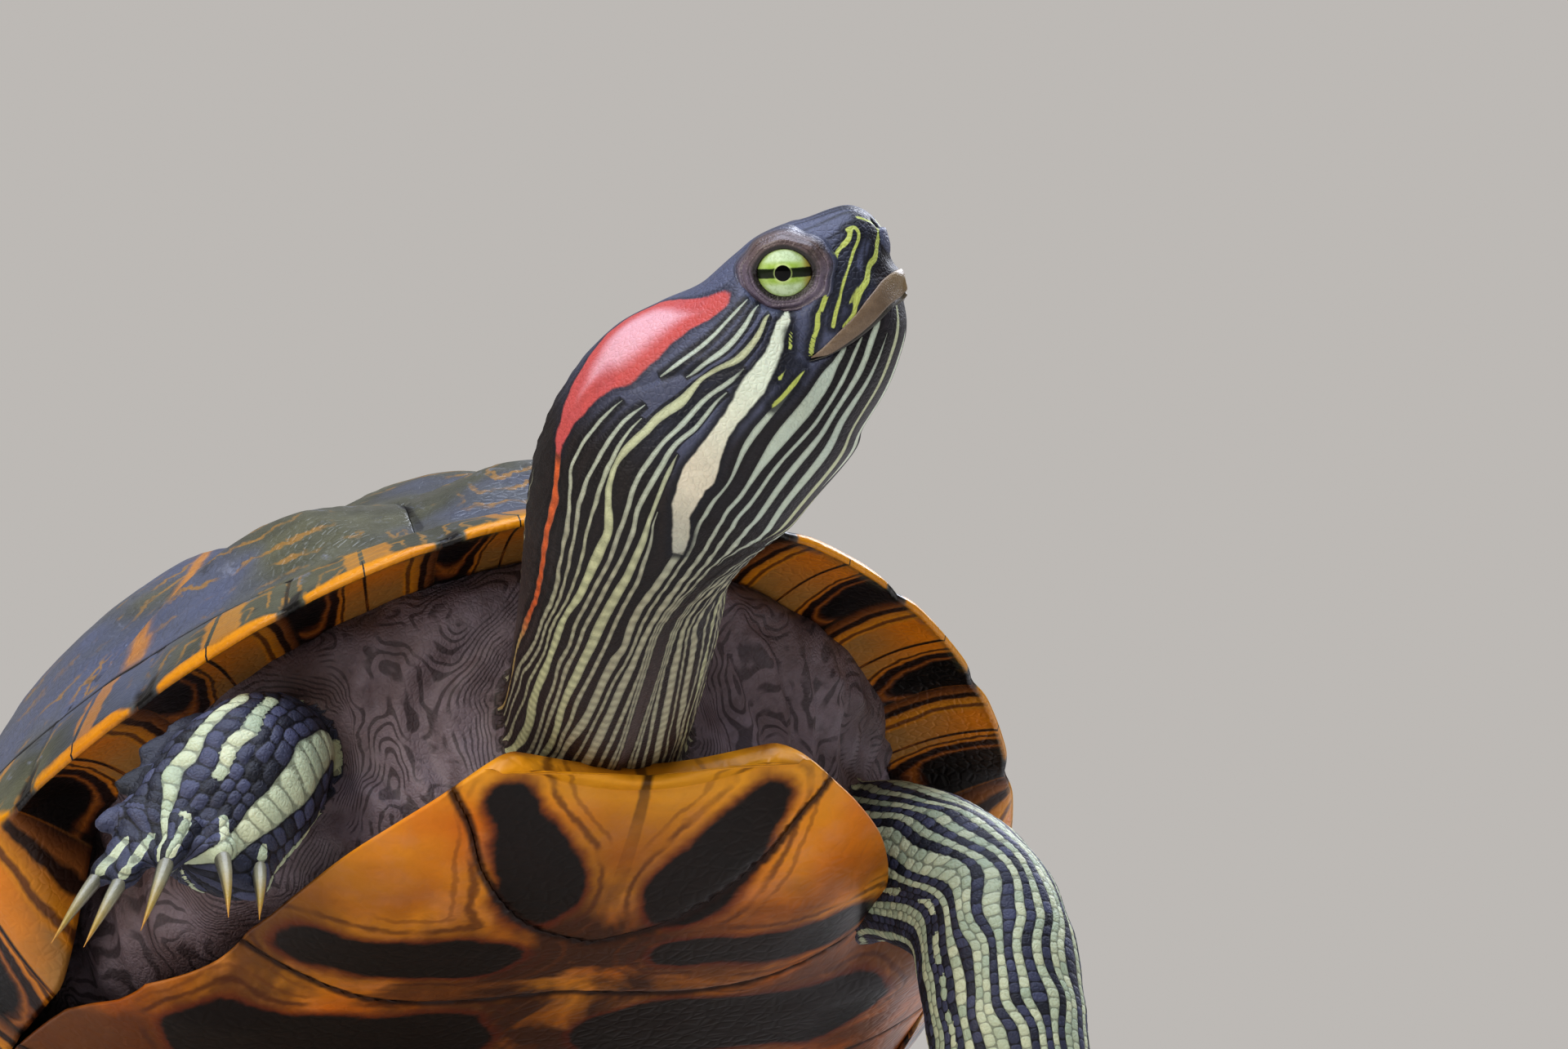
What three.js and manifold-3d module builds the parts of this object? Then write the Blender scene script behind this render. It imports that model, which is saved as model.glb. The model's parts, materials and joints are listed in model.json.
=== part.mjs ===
// Red-eared slider turtle (Trachemys scripta elegans), life size, walking with its front raised: the left forefoot,
// both hind feet and the rear of the plastron stand on the floor, and the right forefoot is lifted.
// Millimetres, +Z up. The head end points towards -Y and the animal's left is +X.
// The origin is the flat on which the rear end of the plastron rests.
import * as THREE from "three";
import { mergeVertices } from "three/addons/utils/BufferGeometryUtils.js";
import Module from "manifold-3d";

const wasm = await Module();
wasm.setup();

// ---------------------------------------------------------------- driving dimensions
const DEG = Math.PI / 180;
const GAP = 0.32; // thin cut between touching pieces
const SHELL = {
  halfWidth: 74.5,
  frontReach: 108, // widest line to the nuchal rim
  rearReach: 92, // widest line to the rear rim
  waistY: 8, // where the shell is widest
  apexZ: 80,
  frontRimZ: 39.5,
  bridgeRimZ: 25.5,
  rearRimZ: 21,
  wall: 3.4,
};
const BRIDGE = { front: -50, rear: 42, blend: 15 }; // where carapace and plastron join, along the shell
const PITCH = 22 * DEG; // front of the shell raised
const ROLL = 3.1 * DEG; // right side of the shell lowered
const PIVOT_Y = 88; // the plastron's rear rest, in the shell's frame
const MARGIN_RATIO = 0.87; // marginal scutes lie outside this share of the rim's radius
const HEAD = { yaw: 57, pitch: 31.3, roll: 12.3 }; // degrees: to its left, raised, tipped
const SNOUT = [16.6, -202.3, 133.2];
const EYE = { back: 11.3, up: 3.8, side: 5.8, radius: 4.4 };

const COLOURS = {
  carapace: [0x3f4636, 0.35],
  marginal: [0x8a5a1c, 0.35],
  plastron: [0xc47a1e, 0.35],
  skin: [0x4a4b45, 0.6],
  collar: [0x6d5a52, 0.7],
  eye: [0xa6c04a, 0.1],
  claw: [0x9a9468, 0.4],
};

// ---------------------------------------------------------------- small tools
const V = (x, y, z) => new THREE.Vector3(x, y, z);
const mix = (a, b, t) => a + (b - a) * t;
const clamp01 = (t) => Math.min(1, Math.max(0, t));
const smooth = (t) => clamp01(t) ** 2 * (3 - 2 * clamp01(t));
const power = (v, e) => Math.sign(v) * Math.abs(v) ** e;

// A smooth curve through (x, y) pairs, read at any x.
function profile(pairs) {
  return (x) => {
    const last = pairs.length - 1;
    if (x <= pairs[0][0]) return pairs[0][1];
    if (x >= pairs[last][0]) return pairs[last][1];
    const i = pairs.findIndex((p) => p[0] >= x) - 1;
    const [x0, y0] = pairs[i];
    const [x1, y1] = pairs[i + 1];
    const slope = (j) => {
      const a = pairs[Math.max(0, j - 1)];
      const b = pairs[Math.min(last, j + 1)];
      return (b[1] - a[1]) / (b[0] - a[0]);
    };
    const h = x1 - x0;
    const t = (x - x0) / h;
    const t2 = t * t;
    const t3 = t2 * t;
    return (
      (2 * t3 - 3 * t2 + 1) * y0 +
      (t3 - 2 * t2 + t) * h * slope(i) +
      (3 * t2 - 2 * t3) * y1 +
      (t3 - t2) * h * slope(i + 1)
    );
  };
}

// Rings of equal length, joined in order and closed by a point at each end.
function loft(rings, startPole, endPole) {
  const n = rings[0].length;
  const average = (ring) =>
    ring.reduce((sum, p) => sum.add(p), V(0, 0, 0)).multiplyScalar(1 / n);
  const points = [startPole ?? average(rings[0]), ...rings.flat(), endPole ?? average(rings.at(-1))];
  const index = [];
  const at = (row, i) => 1 + row * n + (i % n);
  for (let i = 0; i < n; i++) {
    index.push(0, at(0, i + 1), at(0, i));
    index.push(points.length - 1, at(rings.length - 1, i), at(rings.length - 1, i + 1));
    for (let row = 0; row + 1 < rings.length; row++) {
      index.push(at(row, i), at(row, i + 1), at(row + 1, i));
      index.push(at(row, i + 1), at(row + 1, i + 1), at(row + 1, i));
    }
  }
  const geometry = new THREE.BufferGeometry();
  geometry.setAttribute("position", new THREE.Float32BufferAttribute(points.flatMap((p) => [p.x, p.y, p.z]), 3));
  geometry.setIndex(index);
  return geometry;
}

// A closed geometry as a manifold-3d solid with its faces outward.
function solid(geometry) {
  const plain = geometry.clone();
  plain.deleteAttribute("normal");
  plain.deleteAttribute("uv");
  const merged = mergeVertices(plain, 1e-4);
  const make = (triVerts) =>
    new wasm.Manifold(
      new wasm.Mesh({ numProp: 3, vertProperties: merged.attributes.position.array, triVerts }),
    );
  const triVerts = new Uint32Array(merged.index.array);
  const made = make(triVerts);
  if (made.volume() >= 0) return made;
  for (let i = 0; i < triVerts.length; i += 3)
    [triVerts[i + 1], triVerts[i + 2]] = [triVerts[i + 2], triVerts[i + 1]];
  return make(triVerts);
}

function geometryOf(body) {
  const mesh = body.getMesh();
  const geometry = new THREE.BufferGeometry();
  geometry.setAttribute("position", new THREE.BufferAttribute(mesh.vertProperties, 3));
  geometry.setIndex(new THREE.BufferAttribute(mesh.triVerts, 1));
  geometry.computeVertexNormals();
  return geometry;
}

const boxSolid = (sx, sy, sz, x, y, z) =>
  solid(new THREE.BoxGeometry(sx, sy, sz).translate(x, y, z));

// A closed outline extruded along Z between two heights.
function prism(outline, low, high) {
  const shape = new THREE.Shape(outline.map(([x, y]) => new THREE.Vector2(x, y)));
  const geometry = new THREE.ExtrudeGeometry(shape, { depth: high - low, bevelEnabled: false });
  return solid(geometry.translate(0, 0, low));
}

// The outline moved inwards by d along its corners' bisectors, for a counter-clockwise outline.
function inset(outline, d) {
  return outline.map((p, i) => {
    const a = outline.at(i - 1);
    const b = outline[(i + 1) % outline.length];
    const n1 = new THREE.Vector2(a[1] - p[1], p[0] - a[0]).normalize();
    const n2 = new THREE.Vector2(p[1] - b[1], b[0] - p[0]).normalize();
    const k = d / Math.max(0.35, 1 + n1.dot(n2));
    return [p[0] + (n1.x + n2.x) * k, p[1] + (n1.y + n2.y) * k];
  });
}

const mirrored = (outline) => outline.map(([x, y]) => [-x, y]).reverse();
const joined = (bodies) => bodies.reduce((a, b) => a.add(b));

// ---------------------------------------------------------------- assembly
const turtle = new THREE.Group();
const shellFrame = new THREE.Group(); // plastron plane at z 0, midline at x 0
shellFrame.rotation.set(-PITCH, -ROLL, 0, "XYZ");
shellFrame.position.copy(V(0, -PIVOT_Y, 0).applyEuler(shellFrame.rotation));
shellFrame.updateMatrix();
turtle.add(shellFrame);

function add(parent, name, body, look) {
  const [color, roughness] = COLOURS[look];
  const mesh = new THREE.Mesh(
    geometryOf(body),
    new THREE.MeshStandardMaterial({ color, roughness, metalness: 0 }),
  );
  mesh.name = name;
  parent.add(mesh);
}

const toWorld = (x, y, z) => V(x, y, z).applyMatrix4(shellFrame.matrix);
const worldSolidOf = (shellSolid) => solid(geometryOf(shellSolid).applyMatrix4(shellFrame.matrix));
const floorCut = boxSolid(600, 600, 60, 0, -60, -30);
const floorCutInShell = solid(
  new THREE.BoxGeometry(600, 600, 60).translate(0, -60, -30).applyMatrix4(shellFrame.matrix.clone().invert()),
);

// ---------------------------------------------------------------- carapace
// phi runs from the front midline (0) round the animal's left side to the rear (180 degrees) and back.
function rim(phi) {
  const c = Math.cos(phi);
  const reach = c > 0 ? SHELL.frontReach : SHELL.rearReach;
  const endZ = c > 0 ? SHELL.frontRimZ : SHELL.rearRimZ;
  return V(
    SHELL.halfWidth * Math.sin(phi),
    SHELL.waistY - reach * c,
    mix(SHELL.bridgeRimZ, endZ, Math.abs(c) ** 2.4),
  );
}

// The outer surface at share r of the way from the apex line to the rim, lowered by depth.
function dome(phi, r, depth = 0) {
  const edge = rim(phi);
  const c = Math.cos(phi);
  const flare = 2.2 * c * c * Math.sin(Math.PI * clamp01((r - 0.72) / 0.28));
  const fullness = mix(2.5, 1.95, Math.max(0, c) ** 2); // the sides stand fuller than the front slope
  const rise = (SHELL.apexZ - edge.z) * (1 - r ** fullness);
  const x = edge.x * r;
  const keel = 1.3 * Math.exp(-((x / 5) ** 2)) * (1 - r);
  const outward = edge.clone().setZ(0).sub(V(0, SHELL.waistY, 0)).normalize();
  const p = V(x, mix(SHELL.waistY, edge.y, r), edge.z + rise + keel - flare);
  const steep = clamp01(r ** 3) * 0.75;
  return p.addScaledVector(outward, -depth * steep).add(V(0, 0, -depth * (1 - 0.4 * steep)));
}

// How far the marginals' lower faces reach in and down from the rim: deep at the bridge, shallow at the ends.
const bridgeShare = (y) => smooth((y - BRIDGE.front) / BRIDGE.blend) * smooth((BRIDGE.rear - y) / BRIDGE.blend);
function lip(phi, grow = 0) {
  const edge = rim(phi);
  const bridge = bridgeShare(edge.y);
  const outward = edge.clone().setZ(0).sub(V(0, SHELL.waistY, 0)).normalize();
  const p = edge.clone().addScaledVector(outward, -mix(11.4, 13, bridge) - grow);
  p.z -= mix(1.0, 16.5, bridge) + grow;
  return p;
}

const AROUND = 36;
const OUTER = [0.25, 0.45, 0.62, 0.76, MARGIN_RATIO, 0.95];
const INNER = [0.84, 0.68, 0.44];

function carapace(grow = 0) {
  const around = (make) => Array.from({ length: AROUND }, (_, i) => make((i / AROUND) * 2 * Math.PI));
  const inside = SHELL.wall + grow;
  const rings = [
    ...OUTER.map((r) => around((phi) => dome(phi, r))),
    around(rim),
    around((phi) => lip(phi, grow)),
    around((phi) => lip(phi, grow).add(V(0, 0, 3.2 + 2 * grow))),
    ...INNER.map((r) => around((phi) => dome(phi, r, inside))),
  ];
  return solid(loft(rings, dome(0, 0), dome(0, 0, inside)));
}

// Scute seams in plan on the animal's left half, front (-Y) to rear.
const seamRing = (phi) => {
  const p = rim(phi * DEG);
  return [p.x * MARGIN_RATIO, mix(SHELL.waistY, p.y, MARGIN_RATIO)];
};
const VERTEBRAL_Y = [-56, -20, 18, 54]; // cross seams of the vertebral row
const VERTEBRAL_HALF = [13, 15, 14, 11]; // half width at those seams
const COSTAL_CORNER = [[22, -38], [23, -1], [22, 36]]; // where costal seams meet the vertebral row
const COSTAL_END = [60, 88, 114]; // bearing of each costal seam at the marginals, degrees
const FRONT_END = 18; // bearing of the first vertebral's corner
const REAR_END = 153;
// The seam between two bearings, turning only at the shell's own corners.
const arc = (from, to) => {
  const corners = Array.from({ length: AROUND / 2 + 1 }, (_, i) => (i * 360) / AROUND);
  return [from, ...corners.filter((b) => b > from + 0.5 && b < to - 0.5), to].map(seamRing);
};
const offMidline = (outline) => outline.filter(([x]) => x > 0.5);

function vertebralOutlines() {
  const half = [
    [...offMidline(arc(0, FRONT_END)), [VERTEBRAL_HALF[0], VERTEBRAL_Y[0]]],
    ...[0, 1, 2].map((i) => [
      [VERTEBRAL_HALF[i], VERTEBRAL_Y[i]],
      COSTAL_CORNER[i],
      [VERTEBRAL_HALF[i + 1], VERTEBRAL_Y[i + 1]],
    ]),
    [[VERTEBRAL_HALF[3], VERTEBRAL_Y[3]], ...offMidline(arc(REAR_END, 180))],
  ];
  return half.map((side) => [...side, ...mirrored(side)]);
}

function costalOutlines() {
  const inner = [
    [[VERTEBRAL_HALF[0], VERTEBRAL_Y[0]]],
    [COSTAL_CORNER[0], [VERTEBRAL_HALF[1], VERTEBRAL_Y[1]]],
    [COSTAL_CORNER[1], [VERTEBRAL_HALF[2], VERTEBRAL_Y[2]]],
    [COSTAL_CORNER[2], [VERTEBRAL_HALF[3], VERTEBRAL_Y[3]]],
  ];
  const ends = [FRONT_END, ...COSTAL_END, REAR_END];
  return inner.map((corners, i) => {
    const closing = i < 3 ? [COSTAL_CORNER[i]] : [];
    return [...arc(ends[i], ends[i + 1]), ...closing, ...corners.toReversed()];
  });
}

const shellSolid = carapace();
const LIP_TOP = 18; // the marginals keep all of the rim that lies lower
const cutOut = (body, outline) => body.intersect(prism(inset(outline, GAP / 2), LIP_TOP + GAP, 140));

vertebralOutlines().forEach((outline, i) => {
  add(shellFrame, `vertebral_${i + 1}`, cutOut(shellSolid, outline), "carapace");
});
costalOutlines().forEach((outline, i) => {
  add(shellFrame, `costal_left_${i + 1}`, cutOut(shellSolid, outline), "carapace");
  add(shellFrame, `costal_right_${i + 1}`, cutOut(shellSolid, mirrored(outline)), "carapace");
});
const seamHalf = offMidline(arc(0, 180));
const seamLine = [...seamHalf, ...mirrored(seamHalf)];
const insideSeam = prism(inset(seamLine, -GAP / 2), LIP_TOP, 140);
const marginRing = shellSolid.subtract(insideSeam);
const leftHalf = boxSolid(120, 300, 300, 60 + GAP / 2, 0, 0);
const rightHalf = boxSolid(120, 300, 300, -60 - GAP / 2, 0, 0);
add(shellFrame, "marginals_left", marginRing.intersect(leftHalf), "marginal");
add(shellFrame, "marginals_right", marginRing.intersect(rightHalf), "marginal");

// ---------------------------------------------------------------- plastron
const PLASTRON_FRONT = -92.4;
const PLASTRON_REAR = 93;
const bridgeEdge = profile([135, 126, 117, 108, 99, 90, 81, 72, 63, 54, 45].map((b) => lip(b * DEG)).map((p) => [p.y, p.x]).reverse());
const plastronOutline = profile([
  [-92.4, 19], [-90, 22], [-84, 28], [-76, 33.5], [-66, 37.5], [-55, 40], [-47, 42],
  [-41, 50], [-36, 58], [-30, 61.4], [0, 61.6], [24, 61], [31, 57], [37, 49], [42, 43],
  [52, 43], [66, 42], [78, 37], [87, 28], [93, 17],
]);
const plastronHalf = (y) => Math.min(plastronOutline(y), y > -50 && y < 45 ? bridgeEdge(y) - 0.5 : 99);
const frontTurnUp = (y) => 8.6 * clamp01((-60 - y) / 32) ** 1.6;
const rearTurnUp = (y) => 2.2 * clamp01((y - 86) / 7) ** 2;

function plastronUnder(x, y) {
  const bridge = bridgeShare(y);
  const side = Math.abs(x);
  const edgeLift = 4.6 * clamp01((side - 24) / 16) ** 1.8 * (1 - bridge);
  const bridgeLift = bridge * 6.8 * clamp01((side - 36) / 25) ** 1.7;
  const heel = -0.7 * smooth((y - 60) / 24); // thicker where the shell rests
  return -0.5 + heel + 0.0007 * side * side + frontTurnUp(y) + rearTurnUp(y) + edgeLift * (y < 0 ? 1 : 0.35) + bridgeLift;
}

function plastron(grow = 0) {
  const rows = [-92.4, -88, -81, -72, -60, -48, -42, -36, -24, 18, 32, 39, 50, 66, 80, 88, 93];
  const across = [-1, -0.85, -0.6, 0, 0.6, 0.85, 1];
  const rings = rows.map((row) => {
    const half = plastronHalf(row) + grow;
    const ends = row + Math.sign(row) * grow * (row === rows[0] || row === rows.at(-1) ? 1 : 0);
    const point = (t, top) => {
      const notch = 3.2 * clamp01((-80 - row) / 12) * (1 - clamp01(Math.abs(t) * 1.25) ** 2);
      const fork = -3.2 * clamp01((row - 79) / 14) * (1 - clamp01(Math.abs(t) * 1.4) ** 1.5);
      const x = t * half;
      const y = ends + notch + fork;
      const thin = (1 - Math.abs(t) ** 6 * 0.45) * (row < -91 || row > 92 ? 0.55 : 1);
      const thick = mix(3.4, 4.4, clamp01((-70 - row) / 20) + clamp01((row - 60) / 24)) * thin;
      return V(x, y, plastronUnder(x, y) + (top ? thick + grow : -grow));
    };
    return [...across.map((t) => point(t, false)), ...across.toReversed().map((t) => point(t, true))];
  });
  return solid(loft(rings));
}

// Cross seams of the plastron on the left half, midline first. Each runs out past the edge.
const PLASTRON_SEAMS = {
  gular: [[0, -61.5], [9, -66], [17, -76], [21.5, -86], [30, -96]],
  humeral: [[0, -47], [18, -45], [34, -50], [70, -58]],
  pectoral: [[0, -20], [30, -17], [70, -14]],
  abdominal: [[0, 21], [28, 19], [44, 33], [75, 37]],
  femoral: [[0, 48], [20, 54], [38, 68], [75, 84]],
};
const plastronSolid = plastron();
const seamNames = [...Object.keys(PLASTRON_SEAMS), "anal"];
seamNames.forEach((name, i) => {
  const far = 130;
  const before = i ? PLASTRON_SEAMS[seamNames[i - 1]] : [[0, -far], [far, -far]];
  const after = PLASTRON_SEAMS[name] ?? [[0, far], [far, far]];
  const right = [...before, ...after.toReversed()];
  const outline = [...before, ...after.toReversed(), ...mirrored(right).slice(1, -1)].filter(
    ([x, y], k, all) => all.findIndex((q) => q[0] === x && q[1] === y) === k,
  );
  const scute = plastronSolid.intersect(prism(inset(outline, GAP / 2), -40, 60));
  const rested = name === "anal" ? scute.subtract(floorCutInShell) : scute;
  add(shellFrame, `plastron_${name}`, rested, "plastron");
});

// ---------------------------------------------------------------- trunk
// The body between the shells, with the loose skin of the openings as its wall.
function trunk(grow = 0) {
  const around = (make) => Array.from({ length: 20 }, (_, i) => make((i / 20) * 2 * Math.PI));
  const clear = 1.5 - grow;
  const floorPoint = (phi, r) => {
    const p = rim(phi);
    const x = p.x * r;
    const y = mix(SHELL.waistY, p.y, r);
    return V(x, y, Math.max(plastronUnder(x, y), plastronUnder(x * 1.04, y)) + 4.9 + clear);
  };
  const wall = (phi, r, t) => {
    const low = floorPoint(phi, r);
    const high = dome(phi, r, SHELL.wall + clear + 0.6);
    return low.lerp(high, t);
  };
  // How far out the skin of the openings lies: furthest round the neck, least over the legs.
  const reach = (phi, more) => mix(0.765, 0.83, Math.max(0, Math.cos(phi)) ** 3) + more + grow * 0.01;
  const rings = [
    around((phi) => floorPoint(phi, 0.4)),
    around((phi) => floorPoint(phi, reach(phi, -0.04))),
    around((phi) => wall(phi, reach(phi, 0.01), 0.25)),
    around((phi) => wall(phi, reach(phi, 0), 0.55)),
    around((phi) => wall(phi, reach(phi, 0.03), 0.85)),
    around((phi) => dome(phi, reach(phi, -0.04), SHELL.wall + clear)),
    around((phi) => dome(phi, 0.42, SHELL.wall + clear)),
  ];
  return solid(loft(rings, floorPoint(0, 0), dome(0, 0, SHELL.wall + clear)));
}
const trunkSolid = trunk();
const trunkCut = worldSolidOf(trunk(GAP));
const bodyCut = joined([trunk(GAP), carapace(GAP), plastron(GAP)].map(worldSolidOf));

// ---------------------------------------------------------------- tubes for neck, limbs and tail
// stations: [x, y, z, side half width, up half height]; sections stand square to the path.
function tube(stations, { sides = 10, rows = 4, up = V(0, 0, 1), grow = 0, caps = [[0.72, 0.66]] } = {}) {
  const curve = new THREE.CatmullRomCurve3(stations.map(([x, y, z]) => V(x, y, z)), false, "centripetal");
  const last = stations.length - 1;
  const side = profile(stations.map((s, i) => [i / last, s[3]]));
  const tall = profile(stations.map((s, i) => [i / last, s[4] ?? s[3]]));
  const ring = (t, scale, shift) => {
    const centre = curve.getPoint(t);
    const along = curve.getTangent(t);
    const across = V(0, 0, 0).crossVectors(along, up).normalize();
    const upward = V(0, 0, 0).crossVectors(across, along).normalize();
    centre.addScaledVector(along, shift);
    return Array.from({ length: sides }, (_, i) => {
      const a = (i / sides) * 2 * Math.PI;
      return centre
        .clone()
        .addScaledVector(across, Math.cos(a) * (side(t) * scale + grow))
        .addScaledVector(upward, Math.sin(a) * (tall(t) * scale + grow));
    });
  };
  const past = caps.length ? 0 : grow;
  const body = Array.from({ length: rows + 1 }, (_, i) => ring(i / rows, 1, i === 0 ? -past : i === rows ? past : 0));
  const cap = (t, sign) => {
    const reach = Math.min(side(t), tall(t)) + grow;
    return caps.map(([scale, shift]) => ring(t, scale, sign * reach * shift));
  };
  return solid(loft([...cap(0, -1).reverse(), ...body, ...cap(1, 1)]));
}

// ---------------------------------------------------------------- head and neck
const headBasis = new THREE.Matrix4();
const forward = V(
  Math.sin(HEAD.yaw * DEG) * Math.cos(HEAD.pitch * DEG),
  -Math.cos(HEAD.yaw * DEG) * Math.cos(HEAD.pitch * DEG),
  Math.sin(HEAD.pitch * DEG),
);
const headUp = V(0, 0, 1)
  .addScaledVector(forward, -forward.z)
  .normalize()
  .applyAxisAngle(forward, HEAD.roll * DEG);
const headLeft = V(0, 0, 0).crossVectors(headUp, forward);
headBasis.makeBasis(headLeft, forward.clone().negate(), headUp).setPosition(V(...SNOUT));
const headPoint = (side, back, up) => V(side, back, up).applyMatrix4(headBasis);

// Head sections: distance back from the snout tip, top, bottom, half width, squareness.
const HEAD_SECTIONS = [
  [-0.7, 3.7, -0.4, 2.3, 2.0],
  [0.1, 5.4, -2.9, 3.9, 2.2],
  [1.4, 6.8, -4.4, 5.2, 2.3],
  [3.6, 7.7, -8.0, 6.9, 2.3],
  [6.6, 8.4, -10.8, 8.5, 2.4],
  [9.6, 9.3, -12.9, 9.8, 2.5],
  [12.6, 9.7, -14.3, 10.6, 2.5],
  [15.6, 9.4, -15.5, 11.7, 2.4],
  [18.4, 8.9, -16.6, 12.8, 2.3],
];
// Neck stations: centre, side half width, dorsal half height.
const NECK_STATIONS = [
  [1.9, -190.2, 116.9, 13.8, 14.1],
  [-1.1, -187.3, 113.9, 14.2, 15.2],
  [-3.6, -185.2, 111.1, 14.0, 15.1],
  [-5.6, -183.2, 107.8, 13.4, 14.5],
  [-7.0, -180.2, 103.7, 12.8, 13.2],
  [-7.2, -176.1, 99.5, 12.0, 12.0],
  [-6.3, -171.2, 95.4, 11.8, 11.7],
  [-5.3, -164.8, 90.8, 11.5, 11.4],
  [-3.8, -156.3, 86.0, 11.2, 11.0],
  [-2.6, -147.7, 81.4, 11.0, 10.4],
  [-1.5, -138.5, 76.5, 11.0, 10.0],
  [-0.5, -129.0, 71.0, 11.0, 10.0],
];
const NECK_BASE_UP = V(0, 0.53, 0.85);
const NECK_SPLIT = [8.5, 14.5]; // stations (over head and neck together) where the parting cuts lie
const HEAD_SIDES = 18;

function neckAxis() {
  const headCentres = HEAD_SECTIONS.map(([back, top, bottom]) => headPoint(0, back, (top + bottom) / 2));
  return [...headCentres, ...NECK_STATIONS.map(([x, y, z]) => V(x, y, z))];
}
const axis = neckAxis();

// A section square to the path at a station number that need not be whole.
function neckRing(station, shift = 0) {
  const last = axis.length - 1;
  const i = Math.min(last - 1, Math.floor(station));
  const t = station - i;
  const centre = axis[i].clone().lerp(axis[i + 1], t);
  const headEnd = HEAD_SECTIONS.length - 1;
  const slope = (j) => {
    if (j < headEnd) return forward.clone().negate();
    const a = axis[Math.max(0, j - 1)];
    const b = axis[Math.min(last, j + 1)];
    return b.clone().sub(a).normalize();
  };
  const along = slope(i).lerp(slope(i + 1), t).normalize();
  const turn = clamp01((station - headEnd) / (last - 2 - headEnd));
  const hint = headUp.clone().lerp(NECK_BASE_UP, turn);
  const upward = hint.addScaledVector(along, -hint.dot(along)).normalize();
  const across = V(0, 0, 0).crossVectors(along, upward);
  const size = (j) => {
    if (j <= headEnd) {
      const [, top, bottom, half, square] = HEAD_SECTIONS[j];
      return [half, (top - bottom) / 2, square];
    }
    const s = NECK_STATIONS[j - headEnd - 1];
    return [s[3], s[4], 2.1];
  };
  const [a, b] = [size(i), size(i + 1)];
  const [half, tall, square] = a.map((v, k) => mix(v, b[k], t));
  centre.addScaledVector(along, shift);
  return Array.from({ length: HEAD_SIDES }, (_, k) => {
    const angle = (k / HEAD_SIDES) * 2 * Math.PI;
    return centre
      .clone()
      .addScaledVector(across, half * power(Math.sin(angle), 2 / square))
      .addScaledVector(upward, tall * power(Math.cos(angle), 2 / square));
  });
}

const stationsBetween = (from, to) => {
  const inner = axis.map((_, i) => i).filter((i) => i > from + 0.2 && i < to - 0.2);
  return [from, ...inner, to];
};
const span = (from, to) =>
  solid(
    loft(
      stationsBetween(from, to).map((s) => neckRing(s, s === from && from > 0 ? GAP : 0)),
    ),
  );

const headWhole = span(0, NECK_SPLIT[0]);
const neckUpper = span(NECK_SPLIT[0], NECK_SPLIT[1]);
const neckLower = span(NECK_SPLIT[1], axis.length - 1);

// The mouth line and the back of the jaw in side view: distance back, height.
const MOUTH = [[-6, -24], [12.5, -24], [14.4, -12], [15.3, -5.8], [8, -5.5], [3, -5.5], [1.5, -4.4], [-6, -4]];
function jawBlock(grow) {
  const outline = inset(MOUTH, -grow);
  const shape = new THREE.Shape(outline.map(([back, up]) => new THREE.Vector2(back, up)));
  const geometry = new THREE.ExtrudeGeometry(shape, { depth: 60, bevelEnabled: false }).translate(0, 0, -30);
  const toHead = new THREE.Matrix4().makeBasis(V(0, 1, 0), V(0, 0, 1), V(1, 0, 0));
  return solid(geometry.applyMatrix4(toHead).applyMatrix4(headBasis));
}
const eyeBall = (side, radius) => {
  const centre = headPoint(side * EYE.side, EYE.back, EYE.up);
  return solid(new THREE.SphereGeometry(radius, 12, 8).translate(centre.x, centre.y, centre.z));
};
const sockets = eyeBall(1, EYE.radius + GAP).add(eyeBall(-1, EYE.radius + GAP));
add(turtle, "head", headWhole.subtract(jawBlock(GAP / 2)).subtract(sockets), "skin");
add(turtle, "lower_jaw", headWhole.intersect(jawBlock(-GAP / 2)), "skin");
add(turtle, "eye_left", eyeBall(1, EYE.radius), "eye");
add(turtle, "eye_right", eyeBall(-1, EYE.radius), "eye");
add(turtle, "neck_upper", neckUpper, "skin");
add(turtle, "neck_lower", neckLower.subtract(bodyCut), "skin");

// ---------------------------------------------------------------- limbs
// fingers: [base x, y, z, tip x, y, z, radius, claw length]
function limb({ side, names, upper, lower, palm, fingers, up, onFloor }) {
  const [upperName, lowerName, footName, clawName] = names;
  const rest = (body) => (onFloor ? body.subtract(floorCut) : body);
  const upperTube = (grow) => tube(upper, { up, grow });
  const lowerTube = (grow) => tube(lower, { up, grow });
  const finger = ([x0, y0, z0, x1, y1, z1, r], grow) =>
    tube([[x0, y0, z0, r * 1.15], [x1, y1, z1, r]], { sides: 5, rows: 1, up, grow, caps: [] });
  const foot = (grow) => joined([tube(palm, { rows: 3, up, grow }), ...fingers.map((f) => finger(f, grow))]);
  const claw = ([x0, y0, z0, x1, y1, z1, r, length]) => {
    const base = V(x1, y1, z1);
    const along = base.clone().sub(V(x0, y0, z0)).normalize();
    const low = onFloor ? 0.9 : -6;
    const tip = base.clone().addScaledVector(along, r + length);
    tip.z = Math.max(low, tip.z - length * 0.25);
    const middle = base.clone().lerp(tip, 0.55).add(V(0, 0, length * 0.06));
    const path = [base, middle, tip].map((p, i) => [p.x, p.y, p.z, r * [0.85, 0.6, 0.15][i]]);
    return tube(path, { sides: 5, rows: 2, up, caps: [] });
  };
  add(turtle, `${upperName}_${side}`, upperTube(0).subtract(bodyCut), "skin");
  add(turtle, `${lowerName}_${side}`, rest(lowerTube(0).subtract(upperTube(GAP))), "skin");
  const cutters = lowerTube(GAP).add(upperTube(GAP));
  add(turtle, `${footName}_${side}`, rest(foot(0).subtract(cutters)), "skin");
  const footCut = foot(GAP);
  fingers.forEach((f, i) => {
    add(turtle, `${clawName}_${side}_${i + 1}`, rest(claw(f).subtract(footCut)), "claw");
  });
}

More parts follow.
